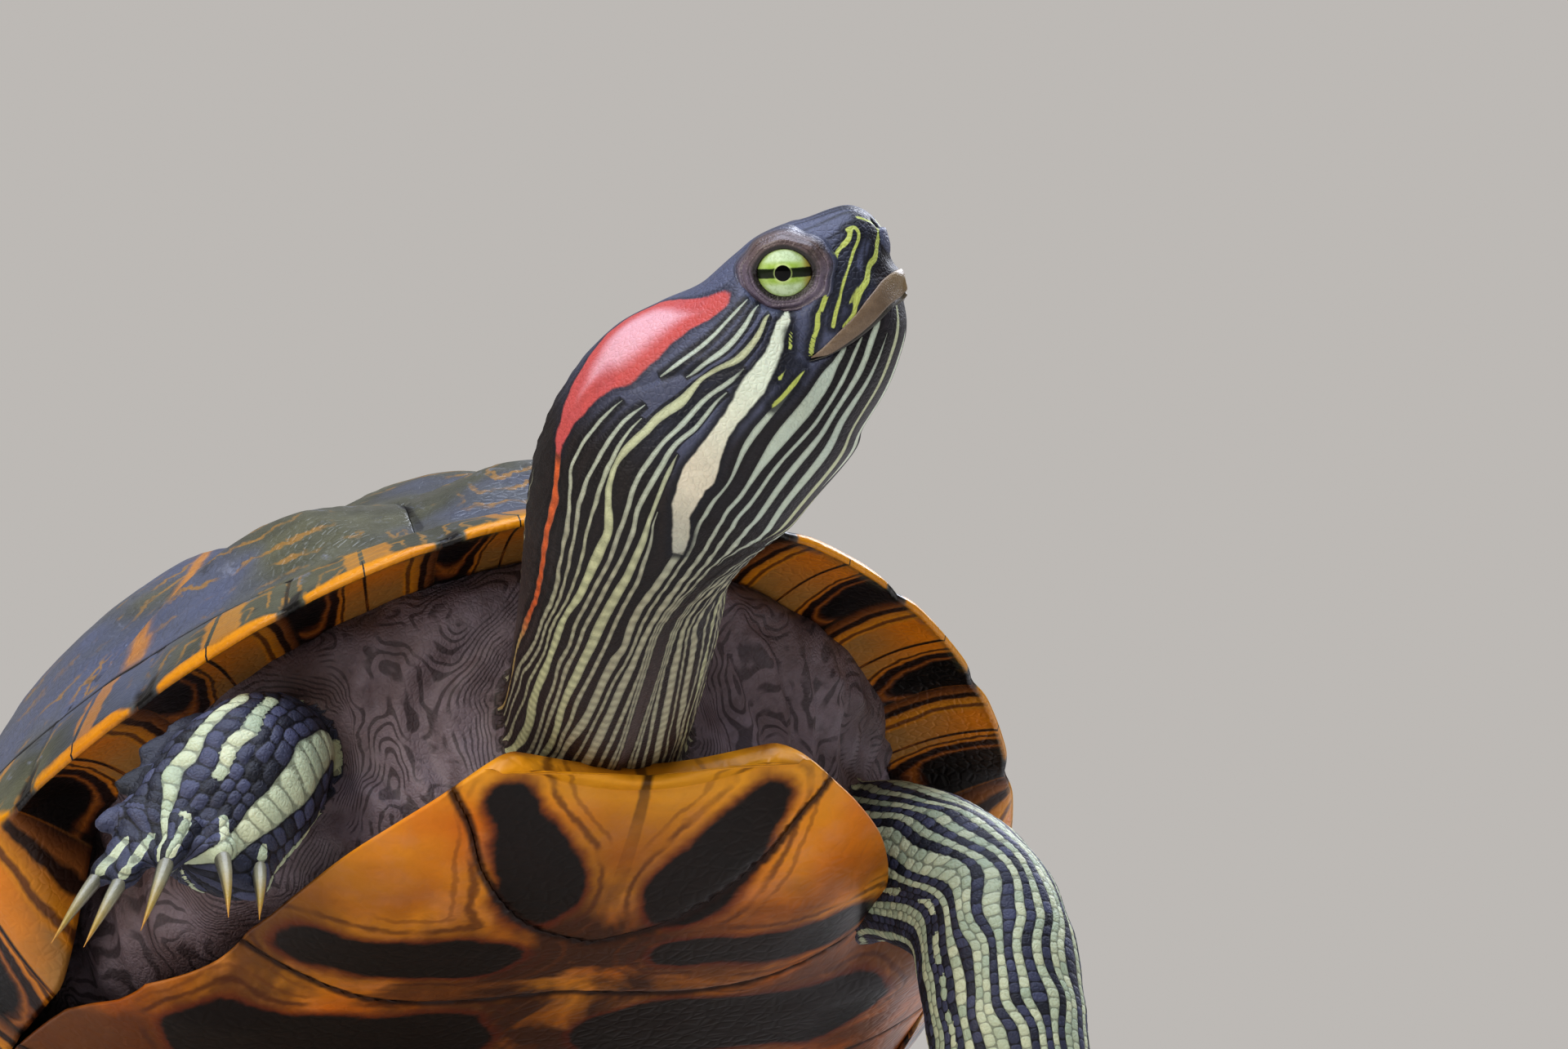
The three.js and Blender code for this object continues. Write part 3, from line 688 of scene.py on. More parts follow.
    def plastron_under(self, x: Array, y: Array) -> Array:
        """Height of the plastron's lower face."""
        side, bridge = np.abs(x), self.bridge_share(y)
        edge_lift = 4.6 * np.clip((side - 24) / 16, 0, 1) ** 1.8 * (1 - bridge)
        bridge_lift = bridge * 6.8 * np.clip((side - 36) / 25, 0, 1) ** 1.7
        heel = -0.7 * smooth((y - 60) / 24)
        front = 8.6 * np.clip((-60 - y) / 32, 0, 1) ** 1.6
        rear = 2.2 * np.clip((y - 86) / 7, 0, 1) ** 2
        edge_lift = edge_lift * np.where(y < 0, 1, 0.35)
        return -0.5 + heel + 0.0007 * side**2 + front + rear + edge_lift + bridge_lift

    def seam_ring(self, degrees: Array) -> Array:
        """Plan points of the seam between the marginals and the scutes above them."""
        p = self.rim(np.radians(degrees))
        return joined(p[..., 0] * self.margin_ratio, mix(self.waist_y, p[..., 1], self.margin_ratio))


@dataclass
class ScutePlan:
    """The carapace's seams in plan, given for the animal's left half."""

    form: ShellForm
    vertebral_y: tuple[float, ...] = (-56, -20, 18, 54)
    vertebral_half: tuple[float, ...] = (13, 15, 14, 11)
    costal_corner: Table = ((22, -38), (23, -1), (22, 36))
    costal_end: tuple[float, ...] = (60, 88, 114)
    front_end: float = 18.0
    rear_end: float = 153.0

    def arc(self, start: float, end: float) -> Array:
        """The marginal seam between two bearings."""
        return self.form.seam_ring(np.linspace(start, end, max(2, int(abs(end - start) / 2.0) + 1)))

    def corners(self) -> list[tuple[float, float]]:
        """Where the cross seams of the vertebral row meet its sides."""
        return list(zip(self.vertebral_half, self.vertebral_y))

    def outlines(self) -> dict[str, Array]:
        """Closed outlines of the vertebral and costal scutes, by node name."""
        ends = [self.front_end, *self.costal_end, self.rear_end]
        v, made = self.corners(), {}
        halves = [np.vstack([self.arc(0, self.front_end), [v[0]]])]
        halves += [np.array([v[i], self.costal_corner[i], v[i + 1]], float) for i in range(3)]
        halves += [np.vstack([[v[3]], self.arc(self.rear_end, 180)])]
        for i, half in enumerate(halves):
            half = half[half[:, 0] > 0.01] if i in (0, 4) else half
            other = half[::-1] * MIRROR
            front, rear = [[0, self.arc(0, 1)[0, 1]]], [[0, self.arc(179, 180)[-1, 1]]]
            middle = front if i == 0 else rear if i == 4 else []
            ring = [half, other] if i != 0 else [np.array(middle), half, other]
            ring = [half, np.array(middle), other] if i == 4 else ring
            made[f"vertebral_{i + 1}"] = np.vstack(ring)
        corner = self.costal_corner
        inner = [[v[0]], [corner[0], v[1]], [corner[1], v[2]], [corner[2], v[3]]]
        for i in range(4):
            closing = [self.costal_corner[i]] if i < 3 else []
            outline = np.vstack([self.arc(ends[i], ends[i + 1]), *[[c] for c in closing + inner[i][::-1]]])
            made[f"costal_left_{i + 1}"] = outline
            made[f"costal_right_{i + 1}"] = outline[::-1] * MIRROR
        return made

    def seams(self) -> Array:
        """All seams of the dome as segments, both sides."""
        v, lines = self.corners(), [self.arc(-180, 180)]
        side = [self.arc(self.front_end, self.front_end + 0.1)[0], v[0]]
        for i in range(3):
            side += [self.costal_corner[i], v[i + 1]]
        side.append(self.arc(self.rear_end, self.rear_end + 0.1)[0])
        left = [np.array(side, float)]
        for corner, end in zip(self.costal_corner, self.costal_end):
            left.append(np.array([corner, self.arc(end, end + 0.1)[0]], float))
        left += [np.array([[0, y], [h, y]], float) for h, y in v]
        lines += left + [p * MIRROR for p in left]
        return np.vstack([chain(p) for p in lines])


@dataclass
class Carapace:
    """The upper shell: thirteen scutes inside a ring of marginals, each cut from one domed plate."""

    form: ShellForm
    around: int = 560
    shares: int = 104
    groove: float = 0.55
    groove_width: float = 0.9
    gap: float = 0.07
    plan: ScutePlan = field(init=False)

    def __post_init__(self) -> None:
        """Lays out the seams."""
        self.plan = ScutePlan(self.form)

    def marginal_seam(self, phi: Array) -> tuple[Array, Array]:
        """Signed distance in degrees from the nearest marginal seam, and the width of the scute there."""
        seams = np.array(self.form.marginal_seams)
        bearing = np.degrees(np.abs(np.arctan2(np.sin(phi), np.cos(phi))))
        near = np.abs(bearing[:, None] - seams[None, :]).argmin(1)
        away = bearing - seams[near]
        width = np.gradient(seams)[near]
        return away, width

    def describe(self, p: Array) -> dict[str, Array]:
        """What the finish needs to know at points of the shell's frame.

        Args:
            p: points, n by 3.

        Returns:
            Distances to the seams, position round and across the shell, and masks for the underside.
        """
        f = self.form
        phi, reach, r = f.bearing(p)
        seam = to_segments(p[:, :2], self.plan.seams())
        away, width = self.marginal_seam(phi)
        away = away * np.pi / 180 * reach
        across = np.abs(away)
        outer = r > f.margin_ratio
        surface = f.dome(phi, np.minimum(r, 1), np.zeros(len(p)))[:, 2]
        under = smooth((surface - 1.1 - p[:, 2]) / 1.2)
        seam = np.where(under > 0.5, across, np.where(outer, np.minimum(seam, across), seam))
        return dict(phi=phi, r=r, seam=seam, away=away, width=width, under=under, reach=reach)

    def sculpted(self, p: Array, top: Array) -> Array:
        """Puts the seams' grooves, the growth ridges and the notched edge into the surface."""
        f, d = self.form, self.describe(p)
        seam = d["seam"]
        depth = self.groove * np.exp(-((seam / self.groove_width) ** 2))
        ridge = 0.10 * np.sin(seam * 2 * np.pi / 2.3) * np.exp(-seam / 9) * smooth(seam / 2)
        outer = smooth((d["r"] - 0.84) / 0.03)
        swell = mix(3.3 * smooth(seam / 15) - 1.35, 0.5 * smooth(seam / 9) - 0.2, outer)
        rough = 0.16 * noise(p, 7.0, 3) + 0.06 * noise(p, 2.6, 4)
        calm = 1 - 0.6 * smooth((d["r"] - 0.86) / 0.1)
        rise = (ridge + swell + rough) * top * calm - depth * np.maximum(top, 0.5 * d["under"])
        out = joined(np.sin(d["phi"]) * 0.3 * d["r"], -np.cos(d["phi"]) * 0.3 * d["r"], np.ones(len(p)))
        sign = np.where(top > 0.5, 1.0, -1.0)
        p = p + unit(out) * (rise * sign)[:, None]
        rear = smooth((np.degrees(np.abs(d["phi"])) - 100) / 30)
        saw = np.clip(1 - np.abs(d["away"]) / 5.5, 0, 1) ** 2 * (0.9 + 0.7 * rear)
        edge = smooth((d["r"] - 0.93) / 0.07)
        return p - f.outward(d["phi"]) * (saw * edge)[:, None]

    def plate(self) -> Piece:
        """The whole carapace as one closed plate with its relief."""
        f = self.form
        phi = full_turn(self.around)
        zero = np.zeros(self.around)
        rings, tops = [], []
        for r in 1 - (1 - np.linspace(0.012, 0.985, self.shares)) ** 1.12:
            rings.append(f.dome(phi, np.full(self.around, r), zero))
            tops.append(1.0)
        for out, down in ((-0.35, -0.35), (0.0, -0.9), (-0.3, -1.5)):
            edge = f.rim(phi) + f.outward(phi) * out
            edge[:, 2] += down + 0.35
            rings.append(edge)
            tops.append(0.3)
        low, inner = f.rim(phi), f.lip(phi)
        for t in np.linspace(0.06, 1.0, 16):
            bridge = f.bridge_share(low[:, 1])
            p = mix(low, inner, t)
            arch = np.sin(np.pi * t)
            p[:, 2] += (-1.1 * (1 - t) + 0.8 * arch * (1 - bridge)) - 1.6 * arch * bridge
            rings.append(p)
            tops.append(0.0)
        for lift in (1.2, 3.2):
            p = f.lip(phi)
            p[:, 2] += lift
            rings.append(p)
            tops.append(0.0)
        for r in (0.84, 0.68, 0.44):
            rings.append(f.dome(phi, np.full(self.around, r), np.full(self.around, f.wall)))
            tops.append(0.0)
        body = loft(rings)
        top = np.concatenate([np.repeat(tops, self.around), [1.0, 0.0]])
        poles = np.stack([f.dome(0.0, 0.0, np.float64(0.0)), f.dome(0.0, 0.0, np.float64(f.wall))])
        body.points[-2:] = poles
        visible = top > 0.2
        lower = np.zeros(len(top), bool)
        lower[self.around * self.shares : self.around * (self.shares + 19)] = True
        moved = self.sculpted(body.points, top)
        body.points = np.where((visible | lower)[:, None], moved, body.points)
        body.points = f.to_world(body.points)
        return mesh_object("carapace_plate", body)

    def mark(self, obj: Piece) -> None:
        """Keeps the finish's coordinates on a cut piece: seam distance, place along the rim, underside."""
        d = self.describe(self.form.to_shell(points_of(obj)))
        note(obj, "seam", d["seam"])
        note(obj, "rim_place", joined(d["away"], d["r"], d["under"]))
        inward = (1 - d["r"]) * d["reach"]
        note(obj, "around", joined(np.degrees(d["phi"]), inward, d["width"]))

    def build(self) -> dict[str, Piece]:
        """Cuts the plate into its scutes and its two rows of marginals.

        Returns:
            The pieces by the name of the node that each stands for.
        """
        whole, pieces, place = self.plate(), {}, self.form.to_world
        for name, outline in self.plan.outlines().items():
            piece = copy_of(whole, name + "_scute")
            outline = inset(outline, self.gap)
            tool = prism("cutter", outline, lambda q: self.form.skirt_roof(q) + 0.3, 140.0, place)
            pieces[name] = combined(piece, tool, Cut.KEEP_INSIDE)
        ring_seam = self.plan.arc(-180, 180)[:-1]
        inside = prism("inside", inset(ring_seam, -self.gap), self.form.skirt_roof, 140.0, place)
        ring = combined(whole, inside, Cut.TAKE_AWAY)
        for side, sign in (("left", 1), ("right", -1)):
            near, far = self.gap, 140.0
            box = np.array([[near, -200], [far, -200], [far, 200], [near, 200]]) * np.array([sign, 1])
            tool = prism("half", inset(box, 0), -60, 200, place)
            row = copy_of(ring, f"marginals_{side}_row")
            pieces[f"marginals_{side}"] = combined(row, tool, Cut.KEEP_INSIDE)
        discard(ring)
        for piece in pieces.values():
            piece.data.shade_smooth()
            self.mark(piece)
        return pieces


@dataclass
class Plastron:
    """The lower shell: six pairs of scutes on one plate that turns up at the front."""

    form: ShellForm
    front: float = -92.4
    rear: float = 93.0
    rows: int = 230
    columns: int = 120
    gap: float = 0.07
    outline: Table = (
        (-92.4, 19), (-90, 22), (-84, 28), (-76, 33.5), (-66, 37.5), (-55, 40), (-47, 42), (-41, 50),
        (-36, 58), (-30, 61.4), (0, 61.6), (24, 61), (31, 57), (37, 49), (42, 43), (52, 43), (66, 42),
        (78, 37), (87, 28), (93, 17),
    )
    seams: dict[str, Table] = field(
        default_factory=lambda: {
            "gular": ((0, -61.5), (9, -66), (17, -76), (21.5, -86), (30, -96)),
            "humeral": ((0, -47), (18, -45), (34, -50), (70, -58)),
            "pectoral": ((0, -20), (30, -17), (70, -14)),
            "abdominal": ((0, 21), (28, 19), (44, 33), (75, 37)),
            "femoral": ((0, 48), (20, 54), (38, 68), (75, 84)),
        }
    )
    # dark blotches of the left half: start, end, radius at each
    blotches: Table = (
        (15.2, -88.5, 9.6, -72.5, 2.9, 6.0), (12.5, -57.5, 33.0, -58.5, 4.6, 4.6),
        (13.0, -33.0, 38.0, -33.5, 8.6, 8.2), (18.0, 2.0, 40.0, 4.0, 9.5, 8.5),
        (17.0, 37.0, 29.0, 42.0, 6.5, 6.5), (10.0, 68.0, 15.0, 78.0, 6.5, 6.0),
    )

    def half_at(self, y: Array) -> Array:
        """Half width of the plate at y, held inside the marginals along the bridge."""
        bearings = np.radians(np.arange(45, 136, 3.0))
        lips = self.form.lip(bearings)
        order = np.argsort(lips[:, 1])
        edge = np.interp(y, lips[order, 1], lips[order, 0])
        edge = np.where((y > -50) & (y < 45), edge - 0.25, 99.0)
        return np.minimum(path_at(y, self.outline), edge)

    def blotch(self, p: Array) -> Array:
        """Signed distance to the dark blotches, negative inside."""
        side = np.abs(p[:, 0]) + 1.3 * noise(p * np.array([1, 1, 0]), 9.0, 5)
        y = p[:, 1] + 1.5 * noise(p * np.array([1, 1, 0]), 8.0, 6)
        best = np.full(len(p), 99.0)
        for x0, y0, x1, y1, r0, r1 in self.blotches:
            ab = np.array([x1 - x0, y1 - y0])
            t = np.clip(((side - x0) * ab[0] + (y - y0) * ab[1]) / (ab @ ab), 0, 1)
            d = np.hypot(side - x0 - ab[0] * t, y - y0 - ab[1] * t) - mix(r0, r1, t)
            best = np.minimum(best, d)
        return best

    def seam_lines(self) -> Array:
        """All seams as segments, both halves and the midline."""
        lines = [np.array([[0, -110], [0, 110]], float)]
        for points in self.seams.values():
            fine = fine_line(points, 1.5)
            lines += [fine, fine * MIRROR]
        return np.vstack([chain(p) for p in lines])

    def plate(self) -> Piece:
        """The whole plastron as one closed plate with grooved seams."""
        f = self.form
        first, last = self.front + np.array([0, 0.15, 0.45]), self.rear - np.array([0.4, 0.1, 0])
        y_rows = np.concatenate([first, np.linspace(self.front + 1, self.rear - 1, self.rows), last])
        t = np.sin(np.linspace(-1, 1, self.columns // 2) * np.pi / 2 * 0.96) / math.sin(np.pi / 2 * 0.96)
        rings, lines = [], self.seam_lines()
        for row in y_rows:
            half = float(self.half_at(np.array([row]))[0])
            tip = min(row - self.front, self.rear - row)
            blunt = math.sqrt(np.clip(tip, 0.03, 1))
            x = t * (half - 0.8 * (1 - blunt))
            notch = 3.2 * np.clip((-80 - row) / 12, 0, 1) * (1 - np.clip(np.abs(t) * 1.25, 0, 1) ** 2)
            fork = -3.2 * np.clip((row - 79) / 14, 0, 1) * (1 - np.clip(np.abs(t) * 1.4, 0, 1) ** 1.5)
            y = row + notch + fork
            thin = (1 - np.abs(t) ** 6 * 0.45) * blunt
            thick = mix(3.4, 4.4, np.clip((-70 - row) / 20, 0, 1) + np.clip((row - 60) / 24, 0, 1)) * thin
            low = f.plastron_under(x, y)
            middle = low + thick * 0.45 / np.maximum(blunt, 0.3) * blunt
            rounded = (np.abs(t) ** 14) * thick * 0.42
            groove = 0.5 * np.exp(-((to_segments(joined(x, y), lines) / 0.55) ** 2))
            under = joined(x, y, np.minimum(low + rounded + groove + (1 - blunt) * 1.2, middle + thick * 0.2))
            over = joined(x, y, low + thick - rounded * 0.9)
            rings.append(np.vstack([under, over[::-1]]))
        body = loft(rings)
        body.points = f.to_world(body.points)
        return mesh_object("plastron_plate", body)

    def build(self) -> dict[str, Piece]:
        """Cuts the plate into its six rows and rests the last one on the floor.

        Returns:
            The pieces by the name of the node that each stands for.
        """
        whole, pieces, far = self.plate(), {}, 130.0
        names = [*self.seams, "anal"]
        for i, name in enumerate(names):
            before = fine_line(self.seams[names[i - 1]], 1.5) if i else np.array([[0, -far], [far, -far]])
            rear_edge = np.array([[0, far], [far, far]])
            after = fine_line(self.seams[name], 1.5) if name in self.seams else rear_edge
            right = np.vstack([before, after[::-1]])
            outline = np.vstack([right, (right * MIRROR)[::-1][1:-1]])
            tool = prism("cutter", inset(outline, self.gap), -40, 60, self.form.to_world)
            scute = copy_of(whole, f"plastron_{name}_scute")
            pieces[f"plastron_{name}"] = combined(scute, tool, Cut.KEEP_INSIDE)
        discard(whole)
        lines = self.seam_lines()
        for piece in pieces.values():
            p = points_of(piece)
            p[:, 2] = np.maximum(p[:, 2], 0.0)
            set_points(piece, p)
            piece.data.shade_smooth()
            q = self.form.to_shell(p)
            note(piece, "seam", to_segments(q[:, :2], lines))
            note(piece, "blotch", self.blotch(q))
            note(piece, "rim_place", q)
        return pieces


# ------------------------------------------------------------------ head and neck
@dataclass
class HeadForm:
    """Driving sizes of the head and neck, and places on their surface.

    A place is (s, v): s millimetres back along the axis from the snout, v degrees round it from the crown,
    negative on the animal's right. Inside the head a point is also (side, back, up) from the snout's tip.
    """

    snout: tuple[float, float, float] = (16.6, -202.3, 133.2)
    yaw: float = math.radians(57.0)
    pitch: float = math.radians(31.3)
    roll: float = math.radians(12.3)
    eye_back: float = 10.8
    eye_up: float = 4.3
    eye_side: float = 5.8
    eye_radius: float = 4.4
    # back, top, bottom, half width, squareness
    sections: Table = (
        (-0.7, 3.7, -0.4, 2.3, 2.0), (0.1, 5.4, -2.9, 3.9, 2.2), (1.4, 6.8, -4.4, 5.2, 2.3),
        (3.6, 7.7, -8.0, 6.9, 2.3), (6.6, 8.4, -10.8, 8.5, 2.4), (9.6, 9.3, -12.9, 9.8, 2.5),
        (12.6, 9.7, -14.3, 10.6, 2.5), (15.6, 9.4, -15.5, 11.7, 2.4), (18.4, 8.9, -16.6, 12.8, 2.3),
    )
    # centre, half width, half height
    neck: Table = (
        (1.9, -190.2, 116.9, 13.8, 14.1), (-1.1, -187.3, 113.9, 14.2, 15.2),
        (-3.6, -185.2, 111.1, 14.0, 15.1), (-5.6, -183.2, 107.8, 13.4, 14.5),
        (-7.0, -180.2, 103.7, 12.8, 13.2), (-7.2, -176.1, 99.5, 12.0, 12.0),
        (-6.3, -171.2, 95.4, 11.8, 11.7), (-5.3, -164.8, 90.8, 11.5, 11.4),
        (-3.8, -156.3, 86.0, 11.2, 11.0), (-2.6, -147.7, 81.4, 11.2, 10.6),
        (-1.5, -138.5, 76.5, 12.2, 11.2), (-0.5, -129.0, 71.0, 13.6, 12.4),
    )
    neck_square: float = 2.1
    # how far the snout's face stands back from its plain sections, by height
    lean: Table = (
        (-11, 0.0), (-8.5, 0.6), (-6, 0.8), (-2.6, 1.0), (-1.9, 1.4), (-1.3, 1.65), (-0.3, 1.7), (1.0, 1.5),
        (2.0, 1.2), (3.1, 0.67), (4.4, 0.26), (5.7, 0.0), (8.0, -0.1),
    )
    base_up: tuple[float, float, float] = (0.0, 0.53, 0.85)

    def __post_init__(self) -> None:
        """Lays out the axis and its sections."""
        cp = math.cos(self.pitch)
        self.forward = np.array([math.sin(self.yaw) * cp, -math.cos(self.yaw) * cp, math.sin(self.pitch)])
        level = unit(np.array([0, 0, 1.0]) - self.forward * self.forward[2])
        self.up = level * math.cos(self.roll) + np.cross(self.forward, level) * math.sin(self.roll)
        self.left = np.cross(self.up, self.forward)
        head = [
            (*self.world(np.array([0, b, (t + l) / 2])), h, (t - l) / 2, n) for b, t, l, h, n in self.sections
        ]
        rows = np.array(head + [(*s, self.neck_square) for s in self.neck], float)
        self.centres, (self.half, self.tall, self.square) = rows[:, :3], rows[:, 3:].T
        last, end = len(rows) - 1, len(self.sections) - 1
        along = [-self.forward] * end
        along += [unit(self.centres[min(last, j + 1)] - self.centres[j - 1]) for j in range(end, last + 1)]
        turn = np.clip((np.arange(last + 1) - end) / (last - 2 - end), 0, 1)[:, None]
        self.along = np.array(along)
        self.hint = self.up * (1 - turn) + np.array(self.base_up) * turn
        self.run = lengths_along(self.centres)

    def own(self, p: Array) -> Array:
        """World points as (side, back, up) of the head."""
        d = p - np.array(self.snout)
        return joined(d @ self.left, -(d @ self.forward), d @ self.up)

    def world(self, own: Array) -> Array:
        """Points given as (side, back, up) of the head, in the world's frame."""
        side, back, up = own[..., :1], own[..., 1:2], own[..., 2:3]
        return np.array(self.snout) + side * self.left - back * self.forward + up * self.up

    def surface(self, s: Array, v: Array) -> tuple[Array, Array]:
        """The plain surface at places (s, v in degrees).

        Args:
            s: distances along the axis.
            v: degrees round it.

        Returns:
            The points, and the directions out from the axis there.
        """
        centre = curve_at(s, self.run, self.centres)
        along = unit(curve_at(s, self.run, self.along))
        up = curve_at(s, self.run, self.hint)
        up = unit(up - along * (up * along).sum(1, keepdims=True))
        left = np.cross(along, up)
        half, tall, n = (curve_at(s, self.run, q) for q in (self.half, self.tall, self.square))
        a = np.radians(v)
        x = half * signed_power(np.sin(a), 2 / n)
        y = tall * signed_power(np.cos(a), 2 / n)
        p = centre + left * x[:, None] + up * y[:, None]
        return p, unit(left * (x / half**2)[:, None] + up * (y / tall**2)[:, None])

    def leaned(self, own: Array) -> Array:
        """The head's own points (side, back, up) with the snout's face leaning back above the beak."""
        own = own.copy()
        height, share = own[..., 2], smooth((5.5 - own[..., 1]) / 5.5)
        own[..., 1] += path_at(height.ravel(), self.lean).reshape(height.shape) * share
        return own

    def side_at(self, back: Array, up: Array) -> Array:
        """Half width of the plain head at a distance back and a height."""
        back, up = np.broadcast_arrays(np.asarray(back, float), np.asarray(up, float))
        rows, flat = np.array(self.sections), back.ravel()
        top, low, half, n = (curve_at(flat, rows[:, 0], rows[:, k]).reshape(back.shape) for k in (1, 2, 3, 4))
        share = np.clip(np.abs((up - (top + low) / 2) / ((top - low) / 2)), 0, 0.999)
        return half * (1 - share**n) ** (1 / n)


@dataclass
class Stripe:
    """One pale stripe of the neck: its path (s, v), its half width in degrees along s, and its tone."""

    path: Table
    width: Table
    tone: float = 0.0


